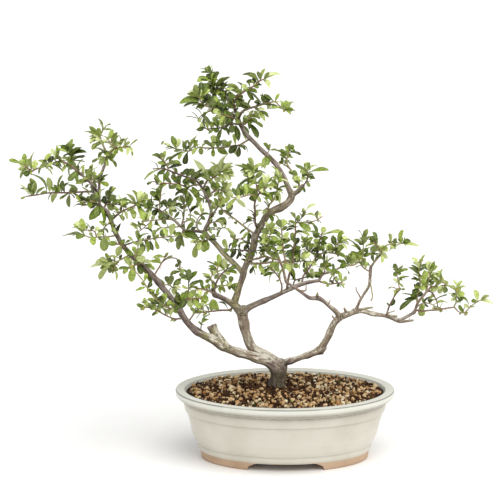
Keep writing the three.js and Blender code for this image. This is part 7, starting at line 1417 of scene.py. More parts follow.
# Kinds of grit: name, share of all, whether it is soft crumbs, and dark, middle and light colours.
GRIT = [
    ("soil_crumbs", 0.56, True, (30, 15, 5), (68, 41, 21), (124, 88, 56)),
    ("grit_tan", 0.2, False, (150, 110, 68), (208, 170, 120), (242, 216, 170)),
    ("grit_orange", 0.06, False, (146, 94, 52), (202, 148, 92), (234, 192, 138)),
    ("grit_cream", 0.12, False, (196, 166, 120), (232, 212, 172), (250, 240, 212)),
    ("grit_grey", 0.045, False, (104, 82, 62), (148, 124, 100), (190, 170, 144)),
    ("moss_crumbs", 0.015, True, (34, 48, 10), (74, 96, 26), (126, 146, 60)),
]
GRIT_COUNT = 5400
# Sizes: the least, how much larger the first ones are, how fast that falls off, and a drawn part.
GRIT_LEAST = 1.4
GRIT_LARGER = 4.8
GRIT_FALL = 2.3
GRIT_STRAY = 1.2
# Bits larger than this have more faces.
FINE_GRIT = 4.6
FLATS = 5
# Round the stem, and a little in front of it, there are more crumbs than stones: how strongly,
# how far along x and y, and how far forward the middle of it lies.
STEM_CRUMBS = 0.3
STEM_REACH_X = 50
STEM_REACH_Y = 48
STEM_FORWARD = 8


def icosahedron():
    """The 12 corners and 20 faces of a regular solid of radius 1, worked out with edges 2 long."""
    g = (1 + 5 ** 0.5) / 2
    corners = np.array([(0, a, b * g) for a in (-1, 1) for b in (-1, 1)], dtype=float)
    corners = np.vstack([corners, corners[:, [1, 2, 0]], corners[:, [2, 0, 1]]])
    faces = []
    for i in range(12):
        for j in range(i + 1, 12):
            for k in range(j + 1, 12):
                sides = [np.linalg.norm(corners[a] - corners[b]) for a, b in ((i, j), (j, k), (i, k))]
                if max(sides) < 2.1:
                    outward = np.cross(corners[j] - corners[i], corners[k] - corners[i]).dot(corners[i]) > 0
                    faces.append((i, j, k) if outward else (i, k, j))
    return corners / np.linalg.norm(corners[0]), faces


def split_once(corners, faces):
    """The solid with each face cut in four and its new corners pushed out to the round."""
    corners, middles, made = [np.array(c) for c in corners], {}, []
    for face in faces:
        halves = []
        for a, b in zip(face, face[1:] + face[:1]):
            key = (min(a, b), max(a, b))
            if key not in middles:
                middles[key] = len(corners)
                corners.append(unit(corners[a] + corners[b]))
            halves.append(middles[key])
        a, b, c = face
        ab, bc, ca = halves
        made += [(a, ab, ca), (b, bc, ab), (c, ca, bc), (ab, bc, ca)]
    return np.array(corners), made


def random_way(random):
    return unit(np.array([random() - 0.5, random() - 0.5, random() - 0.5]) + TINY)


def turned_at_random(random):
    """A rotation drawn evenly enough for pebbles."""
    axis = random_way(random)
    return np.array(Matrix.Rotation(2 * math.pi * random(), 3, Vector(axis)))


def chip(corners, size, soft, random):
    """A broken bit of stone: a round solid with flats struck off it. Soft crumbs are only lumpy."""
    uneven_by = 0.5 if soft else 0.22
    bit = corners * (1 + uneven_by * (np.array([random() for _ in corners]) - 0.5))[:, None]
    if not soft:
        for _ in range(FLATS):
            flat = random_way(random)
            over = np.maximum(bit @ flat - (0.5 + 0.25 * random()), 0)
            bit = bit - over[:, None] * flat
    bit = bit * [1, 0.65 + 0.35 * random(), 0.5 + 0.4 * random()]
    return (bit @ turned_at_random(random).T) * size / 2


def make_grit(stem, stem_radius):
    """Grit and crumbs scattered over the soil, the large bits first and clear of the stem."""
    random = random_from(seed_of("grit"))
    small = icosahedron()
    large = split_once(*small)
    shapes = {name: Shape() for name, *_ in GRIT}
    shares = np.cumsum([kind[1] for kind in GRIT])
    for index in range(GRIT_COUNT):
        share = index / GRIT_COUNT
        size = GRIT_LARGER * (1 - share) ** GRIT_FALL + GRIT_LEAST + GRIT_STRAY * random()
        angle, out = 2 * math.pi * random(), math.sqrt(random())
        reach = 1 - (0.4 * size + 0.5) / SOIL_HALF_WIDTH
        x = SOIL_HALF_LENGTH * out * reach * math.cos(angle)
        y = SOIL_HALF_WIDTH * out * reach * math.sin(angle)
        dark = 0.22 * rough([(x, y, 0)], 24, 5)[0]
        away_x = (x - stem[0]) / STEM_REACH_X
        away_y = (y - stem[1] + STEM_FORWARD) / STEM_REACH_Y
        dark += STEM_CRUMBS * math.exp(-away_x ** 2 - away_y ** 2)
        draw = min(0.999, max(0.0, random() - dark))
        kind = int(np.searchsorted(shares, draw))
        name, _, soft = GRIT[kind][:3]
        size *= 0.8 if soft else 1.1
        corners, faces = large if size > FINE_GRIT else small
        bit = chip(corners, size, soft, random)
        tone = random()
        if math.hypot(x - stem[0], y - stem[1]) < stem_radius + size / 2 - 0.8:
            continue
        z = mound(x, y) + soil_relief([(x, y, SOIL_EDGE_Z)])[0] + size * (0.05 + 0.22 * random())
        shapes[name].add(bit + [x, y, z], faces, tone=tone)
    for name, _, soft, *colours in GRIT:
        shapes[name].piece(name, grit_material(name, *colours), "soil", smooth=soft)


# Wood.

# Swellings on the limbs: where they show, how far they reach, and how much thicker the limb is.
KNOTS = [
    (-11, 126, 9, 0.1), (-98, 168, 7, 0.16), (-34, 148, 7, 0.1), (-59, 208, 9, 0.14), (48, 153.5, 6.5, 0.22),
    (30, 145, 4, 0.12), (76, 200, 6, 0.18), (-64, 149, 5, 0.1), (-122, 180, 5, 0.12), (-144, 210, 5, 0.1),
    (-173, 250, 5, 0.14), (-212, 290, 5, 0.14), (-239, 344, 6, 0.2), (-56, 190, 5, 0.1), (-57, 257, 6, 0.16),
    (-41, 308, 6, 0.12), (-8, 349, 6, 0.14), (6, 364, 7, 0.2), (-17, 412, 5, 0.14), (-49, 443, 5, 0.14),
    (-28, 222, 5, 0.15), (8, 239, 5, 0.15), (-84, 289, 5, 0.12), (-106, 312, 6, 0.2), (95, 207, 6, 0.2),
    (118, 204, 4, 0.2), (152, 195, 5, 0.25), (175, 206, 4, 0.25), (60, 177, 4, 0.12), (8, 137.5, 5, 0.12),
    (-95, 230, 5, 0.15), (114, 255, 4, 0.15), (44, 225, 5, 0.2),
]
# The lip round the end of the cut limb: share of its length, and how much wider it is there.
CUT_LIP = [(0.0, 1.0), (0.72, 0.95), (0.84, 1.12), (0.93, 1.3), (0.98, 1.34), (1.0, 1.2)]
# The stump flares at this height, just under the soil's top.
FLARE_Z = 92
FLARE_REACH = 7
FLARE = 0.1
# How far the width of a limb wanders, in lumps of this size.
WANDER = 0.07
WANDER_SIZE = 22
# How far a section is from round: waves round it, share of the radius, and turn with the phase.
SECTION_WAVES = [(2, 0.055, 1), (3, 0.035, -1.7), (5, 0.025, 2.3)]
# Spacing of the rings along thick limbs, and how much of a run one limb has to itself.
WOOD_STEP = 1.2
LIMB_RUN = 900
# The stump's own run is shorter than this. Its grain goes on over the fork up to about this
# height, at this place and so far to either side.
FOOT_RUN = 100
FORK_Z = 125
FORK_X = -9
FORK_HALF_WIDTH = 17
# Wood whose runs differ by more is another limb. How many points are looked at for it, and how
# wide the seam is on either side.
OTHER_RUN = 60
NEIGHBOURS = 24
SEAM_WIDTH = 2.5
# Where a row of the guide has its radius, its run and its frame.
RADIUS, RUN, ACROSS, UP = 3, 4, slice(5, 8), slice(8, 11)


def limb_line(name, route, step):
    """A limb's smooth line with its knots, the cut limb's lip, the stump's flare and a wandering width."""
    line = smooth_line(route, step)
    shown = smooth_line([[*p[:3], 0] for p in route], step)
    for x, z, reach, more in KNOTS:
        away = np.linalg.norm(shown[:, :3] - seen(x, z, nearest_on(route, x, z)[1][2]), axis=1)
        line[:, 3] *= 1 + more * np.exp(-(away / reach) ** 2)
    share = np.linspace(0, 1, len(line))
    if name == "limb_cut":
        line[:, 3] *= np.interp(share, *zip(*CUT_LIP))
    if name == "limb_stump":
        line[:, 3] *= 1 + FLARE * np.exp(-((line[:, 2] - FLARE_Z) / FLARE_REACH) ** 2)
    wander = rough(line[:, :3], WANDER_SIZE, 2, 2)
    line[:, 3] *= 1 + WANDER * wander
    return line


def uneven(points, angles):
    """How far a limb's section is from round at each point and angle."""
    phase = (points[:, 0] * 0.05 + points[:, 2] * 0.07)[:, None]
    section = 1
    for waves, share, turn in SECTION_WAVES:
        section = section + share * np.sin(waves * angles[None] + turn * phase)
    return section


def split_wood(route):
    """The start of the route that is thick wood, and what follows it, from one point earlier."""
    count = next((i for i, point in enumerate(route) if point[3] < THICK_WOOD), len(route))
    return route[:count], route[max(0, count - 1):] if count < len(route) else []


def smoothed(mesh, places, times, strength=0.5):
    """The places drawn towards the middle of their neighbours a few times."""
    edges = np.empty(len(mesh.edges) * 2, dtype=np.int64)
    mesh.edges.foreach_get("vertices", edges)
    a, b = edges[::2], edges[1::2]
    number = np.bincount(np.concatenate([a, b]), minlength=len(places))[:, None]
    for _ in range(times):
        total = np.zeros_like(places)
        np.add.at(total, a, places[b])
        np.add.at(total, b, places[a])
        places = places + strength * (total / np.maximum(number, 1) - places)
    return places


def wood_guide(lines):
    """A tree for looking up the nearest limb point, with each point's limb, run and frame."""
    rows = []
    for number, line in enumerate(lines):
        across, up = ring_frames(line[:, :3])
        run = run_along(line[:, :3]) + LIMB_RUN * number
        rows.append(np.column_stack([line, run, across, up]))
    rows = np.vstack(rows)
    tree = kdtree.KDTree(len(rows))
    for index, row in enumerate(rows):
        tree.insert(Vector(row[:3]), index)
    tree.balance()
    return tree, rows


# Where the bark has lichen, pale skin, dark crust (laid only on the sides facing down, so partly painted
# shade) and painted deep shade: x, z, reach and strength.
LICHEN = [
    (-93, 174, 20, 1.6), (-60, 212, 12, 1), (-66, 240, 26, 1), (-60, 275, 22, 1), (-36, 158, 12, 1),
    (-88, 292, 30, 1), (2, 350, 26, 1), (-3, 118, 8, 1), (-24, 285, 26, 1), (-84, 162, 9, 1), (-8, 96, 12, 1),
]
PALE_SKIN = [
    (-90, 170, 18, 1), (-34, 142, 26, 1), (-54, 182, 20, 1), (-68, 156, 22, 1), (-16, 134, 14, 1),
    (30, 146, 34, 1), (60, 176, 34, 1), (100, 205, 40, 1), (-40, 260, 14, 1), (130, 205, 30, 1),
    (-14, 330, 34, 1), (98, 240, 30, 1),
]
CRUST = [
    (-12, 106, 20, 1), (-160, 225, 50, 1), (-235, 340, 60, 1), (20, 350, 24, 0.5), (-64, 148, 16, 1),
    (-20, 320, 30, 0.5),
]
SHADE = [(-235, 340, 50, 1), (-34, 440, 44, 1), (2, 392, 24, 1), (-190, 270, 30, 1)]
# A healed wound, and creases under the cut limb and in the forks where painted shade darkens the bark: x, z
# and reach.
WOUND = (52.5, 152, 4.6)
CREASE_SHADE = [(-97, 158, 6), (-88, 152, 6), (3, 132, 6), (-3, 128, 5), (-34, 128, 8), (-60, 141, 6)]
# The middle of the stump, how far its ridges reach to either side and how high, and how far its dark bark and
# its dirt and painted shade do.
STUMP_X = -11
RIDGED_HALF_WIDTH = 22
RIDGED_Z = 128
DARK_HALF_WIDTH = 24
SHADED_GRIME_HALF_WIDTH = 27
SHADED_GRIME_Z = 134
# The fork above the stump is as dark, between these and up to here.
FORK_LEFT = -26
FORK_RIGHT = 12
FORK_TOP = 144


def bark_tints(places):
    """Lichen, pale skin, and dark crust with painted deep shade, by where on the tree the bark is."""
    x, z = places[:, 0], places[:, 2]

    def near(spots):
        return sum(
            strength * np.exp(-((x - spot_x) ** 2 + (z - spot_z) ** 2) / reach ** 2)
            for spot_x, spot_z, reach, strength in spots
        )

    lichen = 0.06 + 0.94 * np.clip(near(LICHEN), 0, 1)
    paleness = np.clip(near(PALE_SKIN), 0.12, 1)
    darkness = np.clip(near(CRUST), 0.35, 1)
    darkness += np.clip(near(SHADE), 0, 1)
    stump = np.clip((SHADED_GRIME_Z - z) / 12, 0, 1) * (np.abs(x - STUMP_X) < DARK_HALF_WIDTH)
    fork = np.clip((FORK_TOP - z) / 8, 0, 1)
    fork = fork * np.clip((x - FORK_LEFT) / 8, 0, 1) * np.clip((FORK_RIGHT - x) / 6, 0, 1)
    return lichen, paleness * (1 - 0.9 * np.maximum(stump, fork)), darkness


def bark_values(places, tree, rows):
    """Values for the bark's colour: limb coordinates, thickness and tints at each place.

    calm is 1 where a limb's bark is its own and 0 where it meets another limb's; seam is the rest.
    """
    near, calm = [], []
    ragged = rough(places, 9, 21)
    foot = rows[rows[:, RUN] < FOOT_RUN]
    for place, stray in zip(places, ragged):
        close = tree.find_n(Vector(place), NEIGHBOURS)
        first = rows[close[0][1]]
        if place[2] < FORK_Z + 9 * stray and abs(place[0] - FORK_X) < FORK_HALF_WIDTH:
            first = foot[np.argmin(np.abs(foot[:, 2] - place[2]))]
        others = (away for _, at, away in close if abs(rows[at][RUN] - first[RUN]) > OTHER_RUN)
        gap = next(others, close[-1][2] + 4)
        near.append(first)
        calm.append(min(1, (gap - close[0][2]) / SEAM_WIDTH))
    near, calm = np.array(near), np.array(calm)
    out = places - near[:, :3]
    side, over = (np.einsum("ij,ij->i", out, near[:, columns]) for columns in (ACROSS, UP))
    angle = np.arctan2(over, side)
    radius = near[:, RADIUS]
    along = np.column_stack([near[:, RUN], radius * np.cos(angle), radius * np.sin(angle)])
    lichen, paleness, darkness = bark_tints(places)
    low = SHADED_GRIME_Z + 10 * ragged - places[:, 2] - 0.5 * np.maximum(0, -22 - places[:, 0])
    beside = np.abs(places[:, 0] - STUMP_X)
    grime = np.clip(low / 12, 0, 1) * np.clip((SHADED_GRIME_HALF_WIDTH - beside) / 8, 0, 1)
    for x, z, reach in CREASE_SHADE:
        away = np.hypot(places[:, 0] - x, places[:, 2] - z)
        grime = np.maximum(grime, 0.9 * np.exp(-(away / reach) ** 2))
    return {
        "along": along, "thick": radius, "lichen": lichen, "paleness": paleness, "darkness": darkness,
        "grime": grime, "kind": np.full(len(places), 0.6), "calm": calm, "seam": 1 - calm,
    }


def bark_relief(places, values):
    """How far the bark stands out: furrows and ridges, deepest on the stump, and a healed wound."""
    along, thick = values["along"], values["thick"]
    furrows = 0.5 - np.abs(rough(along * [0.12, 1.0, 1.0], 3.6, 4, 2)) * 2.6
    ridges = rough(along * [0.06, 1.0, 1.0], 5.0, 11, 2)
    plates = rough(along * [0.4, 1, 1], 7, 6, 2)
    fine = rough(along * [0.35, 1, 1], 2.0, 9, 2)
    beside = np.abs(places[:, 0] - STUMP_X)
    stump = np.clip((RIDGED_Z - places[:, 2]) / 14, 0, 1) * (beside < RIDGED_HALF_WIDTH)
    depth = np.clip(thick / 6, 0.3, 1)
    raised = depth * (0.75 * ridges + 0.5 * plates + 0.35 * fine + 0.25 * furrows)
    raised = (raised + stump * (1.3 * furrows + 0.8 * plates)) * values["calm"]
    x, z, size = WOUND
    ring = np.linalg.norm((places - seen(x, z, -6)) * [1, 0.6, 1], axis=1) / size
    return raised + 0.9 * np.exp(-((ring - 1) / 0.3) ** 2) - 0.7 * np.exp(-(ring / 0.5) ** 2)


def make_wood(bark):
    """The thick limbs in one skin with bark raised on it. Gives back the routes of the thin ends."""
    lines, thin = [], {}
    shape = Shape()
    for name, route in LIMBS.items():
        thick_route, rest = split_wood(route)
        if len(thick_route) > 1:
            line = limb_line(name, thick_route, WOOD_STEP)
            lines.append(line)
            sides = 40 if line[0, 3] > 9 else 24
            shape.add(*tube(line, sides, uneven))
        if len(rest) > 1:
            thin[name] = rest
    mesh = bpy.data.meshes.new("wood")
    mesh.from_pydata(in_metres(np.vstack(shape.vertices)).tolist(), [], shape.faces)
    remesh = {"mode": "VOXEL", "voxel_size": WOOD_VOXEL * MM, "use_smooth_shade": True}
    mesh = evaluated(mesh, ("REMESH", remesh))
    places = smoothed(mesh, places_of(mesh), 3)
    set_places(mesh, places)
    tree, rows = wood_guide(lines)
    values = bark_values(places, tree, rows)
    set_places(mesh, places + normals_of(mesh) * bark_relief(places, values)[:, None])
    for name, value in values.items():
        set_values(mesh, name, value)
    as_piece("wood", mesh, bark, ["trunk"])
    return thin


# How far apart a twig's nodes are, and by how much the next twig's run starts later.
NODE_SPACING = 9
TWIG_RUN = 37.0
# The share of a circle that the golden angle leaves out, which spreads the twigs' colours.
GOLDEN_SHARE = 0.381966
THORN_SEED_STEP = 53
THORN_RADIUS = 0.55
THORN_END = 0.09


def add_twig(shape, line, sides, serial):
    """A thin tube with small nodes along it and the values that bark reads."""
    points = line[:, :3]
    run = run_along(points)
    node = np.maximum(0, np.cos(run * 2 * np.pi / NODE_SPACING + serial)) ** 6
    swelling = 1 + 0.16 * node + 0.08 * rough(points, 4, 7, 2)
    line = np.column_stack([points, line[:, 3] * swelling])
    vertices, faces = tube(line, sides)
    per_ring = np.repeat(np.arange(len(line)), sides)
    ring_of = np.concatenate([per_ring, [0, len(line) - 1]])
    radius = line[ring_of, 3]
    out = vertices - points[ring_of]
    across, up = ring_frames(points)
    along = np.column_stack([
        run[ring_of] + TWIG_RUN * serial,
        np.einsum("ij,ij->i", out, across[ring_of]),
        np.einsum("ij,ij->i", out, up[ring_of]),
    ])
    lichen, paleness, darkness = bark_tints(vertices)
    kind = (GOLDEN_SHARE * serial + 0.1 * math.sin(5 * serial)) % 1
    shape.add(
        vertices, faces, along=along, thick=radius,
        lichen=0.6 * lichen, paleness=paleness, darkness=darkness, kind=kind,
    )


def thorn_line(root, way, length):
    """A thorn's places and radii: it bends up a little and narrows to a sharp end."""
    bend = np.array([0, 0, 1.0])
    rows = []
    for t in (0, 0.12, 0.4, 0.75, 1):
        place = root + way * length * t + bend * 0.4 * t * t
        rows.append([*place, THORN_RADIUS * (1 - t) ** 0.8 + THORN_END])
    return np.array(rows)


def add_thorns(shape, line, serial, every):
    """Thorns along a twig, one for about every so many millimetres, round it at the golden angle."""
    random = random_from(seed_of("thorn") + THORN_SEED_STEP * serial)
    points = line[:, :3]
    run = run_along(points)
    across, up = ring_frames(points)
    count = int(run[-1] / every + random() * 0.8)
    for index in range(count):
        at = int(np.searchsorted(run, run[-1] * (0.15 + 0.75 * (index + random()) / count)))
        at = min(at, len(points) - 2)
        angle = GOLDEN_ANGLE * index + 6.3 * random()
        way = across[at] * math.cos(angle) + up[at] * math.sin(angle)
        way = unit(way + 0.45 * unit(points[at + 1] - points[at]))
        length = 4.5 + 4 * random()
        add_twig(shape, thorn_line(points[at], way, length), 5, serial + 7 * index)


# Leaves.

# Where a leaf has corners, along and across it: for large leaves and for small ones.
LEAF_GRIDS = [
    ([0, 0.06, 0.17, 0.32, 0.48, 0.64, 0.79, 0.92, 1.0], [-1, -0.55, 0, 0.55, 1]),
    ([0, 0.08, 0.26, 0.5, 0.74, 0.92, 1.0], [-1, 0, 1]),
]
SMALL_LEAF = 10.5
# The draws of the leaves that show, and of those that are placed by rule along the twigs.
LEAF_SEED_STEP = 97
FILL_SEED = 7001
FILL_SEED_STEP = 131
FILL_START = 0.2
FILL_STRAY = 1.2
FILL_LENGTH = 11
FILL_LONGER = 8
FILL_FORWARD = 0.55
FILL_RISE = 0.25
FILL_UPRIGHT = 1.1
FILL_WIDTH_SHARE = 0.42


def across_blade(root, tip, turn):
    """The direction across a blade turned by that much about its length, its upper face up."""
    along, view = unit(tip - root), unit(root - EYE)
    flat = unit(np.cross(view, along))
    facing = np.cross(along, flat)
    turned = [flat * math.cos(angle) + facing * math.sin(angle) for angle in (turn, -turn)]
    rises = [np.cross(across, along)[2] for across in turned]
    pick = 0 if abs(rises[0]) >= abs(rises[1]) else 1
    return -turned[pick] if rises[pick] < 0 else turned[pick]


def shown_leaf(spray, index, routes):
    """A leaf that shows: its root goes onto the nearest twig and its depth is drawn by its seed."""
    root_x, root_z, tip_x, tip_z, looks = spray["leaves"][index]
    spots_on = (nearest_on(route, root_x, root_z) for route in routes)
    x, z, depth = min(spots_on, key=lambda spot: spot[0])[1][:3]
    random = random_from(seed_of(spray["name"]) + LEAF_SEED_STEP * index)
    reach = math.hypot(tip_x - x, tip_z - z)
    root, tip = seen(x, z, depth), seen(tip_x, tip_z, depth + (random() - 0.5) * reach)
    width = max(looks, LEAF_WIDTH_SHARE * np.linalg.norm(tip - root))
    turn = math.acos(min(1, looks / width))
    return root, tip, width, across_blade(root, tip, turn), random


def fill_leaf(spray, index, routes):
    """One of a spray's other leaves: along its twigs in turn, at the golden angle round the stem."""
    random = random_from(seed_of(spray["name"]) + FILL_SEED + FILL_SEED_STEP * index)
    route = routes[index % len(routes)]
    place = (FILL_START + (1 - FILL_START) * (index + random()) / spray["fill"]) * (len(route) - 1)
    step = min(int(place), len(route) - 2)
    share = min(place - step, 1)
    spot = [a + (b - a) * share for a, b in zip(route[step], route[step + 1])]
    along = unit(seen(*route[step + 1][:3]) - seen(*route[step][:3]))
    side = unit(np.cross([0, 0, 1], along))
    rise = np.cross(along, side)
    angle = GOLDEN_ANGLE * index + random() * FILL_STRAY
    way = side * math.cos(angle) + rise * math.sin(angle)
    root = seen(*spot[:3])
    length = FILL_LENGTH + FILL_LONGER * random()
    direction = unit(way + FILL_FORWARD * along + [0, 0, FILL_RISE])
    up = np.array([random() - 0.5, random() - 0.5, FILL_UPRIGHT])
    across = unit(np.cross(direction, up))
    return root, root + direction * length, FILL_WIDTH_SHARE * length, across, random


def cluster_leaf(root, tip, random):
    """A small leaf from the same bud as a larger one, turned away from it."""
    along = tip - root
    length = np.linalg.norm(along) * (0.45 + 0.35 * random())
    away = unit(np.array([random() - 0.5, random() - 0.5, 0.8 * random() - 0.3]) + TINY)
    direction = unit(along / np.linalg.norm(along) + away * (0.9 + 0.5 * random()))
    up = np.array([random() - 0.5, random() - 0.5, 1.0])
    across = unit(np.cross(direction, up))
    return root, root + direction * length, (0.36 + 0.12 * random()) * length, across, random


# Where the crown is thick with small leaves: x and z as they look, and how many there are.
TUFTS = [
    (-100, 506, 18), (-84, 496, 12), (-60, 500, 8), (-22, 480, 10), (-74, 454, 12), (-50, 470, 8),
    (-313, 424, 8), (-290, 418, 12), (-262, 428, 12), (-236, 436, 12), (-214, 430, 10), (-300, 398, 8),
    (-262, 398, 10), (-236, 404, 10), (-154, 398, 10), (-75, 401, 12), (-262, 372, 10), (-236, 362, 12),
    (-75, 374, 12), (-48, 376, 16), (-21, 372, 12), (12, 376, 5), (30, 374, 3), (-225, 345, 14),
    (-182, 347, 16), (-155, 345, 12), (-24, 350, 8), (-285, 317, 6), (-236, 322, 8), (-128, 322, 8),
    (-102, 316, 10), (-40, 318, 12), (34, 322, 8), (-182, 290, 8), (-102, 292, 12), (-44, 294, 20),
    (-22, 288, 20), (6, 294, 22), (33, 292, 20), (60, 300, 8), (86, 294, 14), (-264, 264, 6),
    (-48, 268, 10), (-102, 240, 10), (-75, 240, 8), (-130, 344, 10), (-110, 372, 10), (20, 276, 10),
    (-60, 420, 8), (120, 296, 6), (150, 262, 8), (-170, 222, 8), (-100, 500, 10), (-88, 506, 8),
    (-110, 488, 8), (-84, 482, 8), (-66, 460, 6), (-20, 500, 5), (-106, 470, 6), (-314, 408, 6),
    (-284, 398, 6), (-270, 424, 6), (-240, 426, 6), (-262, 380, 6), (-182, 360, 8), (-130, 380, 6),
    (-76, 386, 10), (-24, 398, 8), (-16, 380, 8), (-210, 330, 6), (-76, 300, 8), (-50, 290, 8),
    (-24, 296, 8), (4, 280, 8), (32, 296, 8), (60, 290, 6), (86, 290, 6), (-74, 322, 8), (-22, 322, 6),
    (5, 320, 6), (-48, 345, 6), (-20, 338, 6), (34, 268, 6), (-150, 240, 6), (-20, 262, 6),
    (182, 232, 8), (196, 246, 6), (208, 268, 4), (-90, 494, 12), (-79, 481, 12), (-105, 503, 10),
    (-71, 498, 8), (-60, 486, 6), (-96, 478, 8), (-300, 412, 6), (-226, 424, 6), (-250, 356, 6),
    (-196, 352, 8), (-96, 388, 8), (-60, 384, 8), (-10, 306, 8), (46, 284, 8),
]
# How wide and how deep a tuft is, and the least and the most length of its leaves.
TUFT_WIDTH = 24
TUFT_DEPTH = 14
TUFT_LEAST = 6.0
TUFT_MOST = 17.0


def tuft_leaf(x, z, route, random):
    """A small leaf that grows from the route towards somewhere near x, z."""
    *near, depth = nearest_on(route, x, z)[1][:3]
    root = seen(*near, depth)
    spot = seen(x, z, depth + TUFT_DEPTH * (random() - 0.5))
    away = np.linalg.norm(spot - root)
    stray = np.array([random() - 0.5, random() - 0.5, random() - 0.35])
    direction = unit(0.7 * (spot - root) / max(4.0, away) + stray + TINY)
    length = min(TUFT_MOST, max(TUFT_LEAST, away + 3 + 5 * random()))
    up = np.array([random() - 0.5, random() - 0.9, 0.9])
    across = unit(np.cross(direction, up))
    return root, root + direction * length, (0.24 + 0.2 * random()) * length, across, random


def tuft_leaves(routes_of):
    """The small leaves of each tuft, by spray: they stand on the twig that passes nearest."""
    random = random_from(seed_of("tufts"))
    found = {name: [] for name in routes_of}
    twigs = [(name, route) for name, routes in routes_of.items() for route in routes]
    for tuft_x, tuft_z, number in TUFTS:
        for _ in range(number):
            x, z = tuft_x + TUFT_WIDTH * (random() - 0.5), tuft_z + TUFT_WIDTH * (random() - 0.5)
            name, route = min(twigs, key=lambda twig: nearest_on(twig[1], x, z)[0])
            found[name].append(tuft_leaf(x, z, route, random))
    return found


def leaf_faces(rows, columns):
    """Faces of a leaf's two skins, closed round the margin."""
    below = rows * columns
    faces = []
    for i in range(rows - 1):
        for j in range(columns - 1):
            a = i * columns + j
            faces.append((a, a + 1, a + columns + 1, a + columns))
            faces.append((below + a, below + a + columns, below + a + columns + 1, below + a + 1))
    ring = list(range(columns)) + [i * columns + columns - 1 for i in range(1, rows)]
    ring += [(rows - 1) * columns + j for j in range(columns - 2, -1, -1)]
    ring += [i * columns for i in range(rows - 2, 0, -1)]
    faces += [(b, a, below + a, below + b) for a, b in zip(ring, ring[1:] + ring[:1])]
    return faces


LEAF_FACES = [leaf_faces(len(rows), len(columns)) for rows, columns in LEAF_GRIDS]
# The share of the leaves that have a small one beside them, and its seed.
CLUSTER_SHARE = 0.6
CLUSTER_SEED = 31
# No leaf's tip is further than this before or behind the pot's middle.
LEAF_REACH = 98
LEAF_WIDENING = 1.02
# How far in from a twig's end its leaves are still young, and how much lighter those are.
YOUNG_REACH = 16
YOUNG_LIGHTER = 0.25
TONE_STRAY = 0.8


def add_leaf(shape, root, tip, width, across, random, tone):
    """A leaf with a stalk, widest past the middle, folded a little at its rib and arched over."""
    length = np.linalg.norm(tip - root)
    grid = int(length < SMALL_LEAF)
    t, s = np.meshgrid(*LEAF_GRIDS[grid], indexing="ij")
    along = (tip - root) / length
    normal = unit(np.cross(across, along))
    narrow, round_tip = 0.7 + 0.45 * random(), 0.42 + 0.45 * random()
    blade = np.clip((t - 0.05) / 0.95, 0, 1)
    peak = narrow / (narrow + round_tip)
    outline = blade ** narrow * (1 - blade) ** round_tip / (peak ** narrow * (1 - peak) ** round_tip)
    half = np.maximum(LEAF_WIDENING * width / 2 * outline, np.where(t > 0.9, 0.12, 0.4))
    arch, fold = 0.02 + 0.16 * random(), 0.08 + 0.4 * random()
    twist, bow = 0.9 * (random() - 0.5), 0.16 * (random() - 0.5)
    wave, phase = 0.03 + 0.06 * random(), 6.28 * random()
    angle = twist * (t - 0.4)
    side = across * np.cos(angle)[..., None] + normal * np.sin(angle)[..., None]
    over = normal * np.cos(angle)[..., None] - across * np.sin(angle)[..., None]
    lift = (length * arch * np.sin(np.pi * t) + half * fold * (np.abs(s) - 0.3 * s * s)
            + half * wave * np.abs(s) * np.sin(9 * t + phase + 1.5 * s))
    groove = np.where(s == 0, 0.2, 0.0) * (t > 0.08) * (t < 0.97)
    middle = root + along * (t * length)[..., None]
    middle = middle + across * (length * bow * np.sin(np.pi * t))[..., None]
    top = middle + side * (half * s)[..., None] + over * (lift - groove)[..., None]
    stalk = 0.45 * np.clip(1 - t / 0.1, 0, 1) * (1 - 0.5 * np.abs(s))
    rib = np.where(s == 0, 0.24, 0.0) * (1 - t)
    bottom = top - over * (0.3 - 0.12 * np.abs(s) + stalk + rib)[..., None]
    blades = np.stack([s, t, np.ones_like(s)], axis=-1).reshape(-1, 3)
    under = blades * [1, 1, 0]
    skins = np.vstack([top.reshape(-1, 3), bottom.reshape(-1, 3)])
    shape.add(skins, LEAF_FACES[grid], blade=np.vstack([blades, under]), tone=tone)


def make_leaves(spray, routes, tuft, nodes, material):
    """All of a spray's leaves, the outer ones on each twig younger and lighter."""
    shape = Shape()
    usual = SPRAY_TONE.get(spray["name"], USUAL_TONE)
    ends = [seen(*route[-1][:3]) for route in routes]
    found = [shown_leaf(spray, i, routes) for i in range(len(spray["leaves"]))]
    found += [fill_leaf(spray, i, routes) for i in range(spray["fill"])]
    random = random_from(seed_of(spray["name"]) + CLUSTER_SEED)
    found += [cluster_leaf(*leaf[:2], random) for leaf in list(found) if random() < CLUSTER_SHARE]
    found += tuft
    for root, tip, width, across, random in found:
        if abs(tip[1]) > LEAF_REACH and abs(tip[1]) > abs(root[1]):
            tip[1] = math.copysign(max(LEAF_REACH, abs(root[1])), tip[1])
        young = math.exp(-min(np.linalg.norm(root - end) for end in ends) / YOUNG_REACH)
        tone = usual + YOUNG_LIGHTER * young + TONE_STRAY * (random() - 0.5)
        add_leaf(shape, root, tip, width, across, random, min(1, max(0, tone)))
    shape.piece(spray["name"].replace("spray", "leaves"), material, "foliage", nodes)


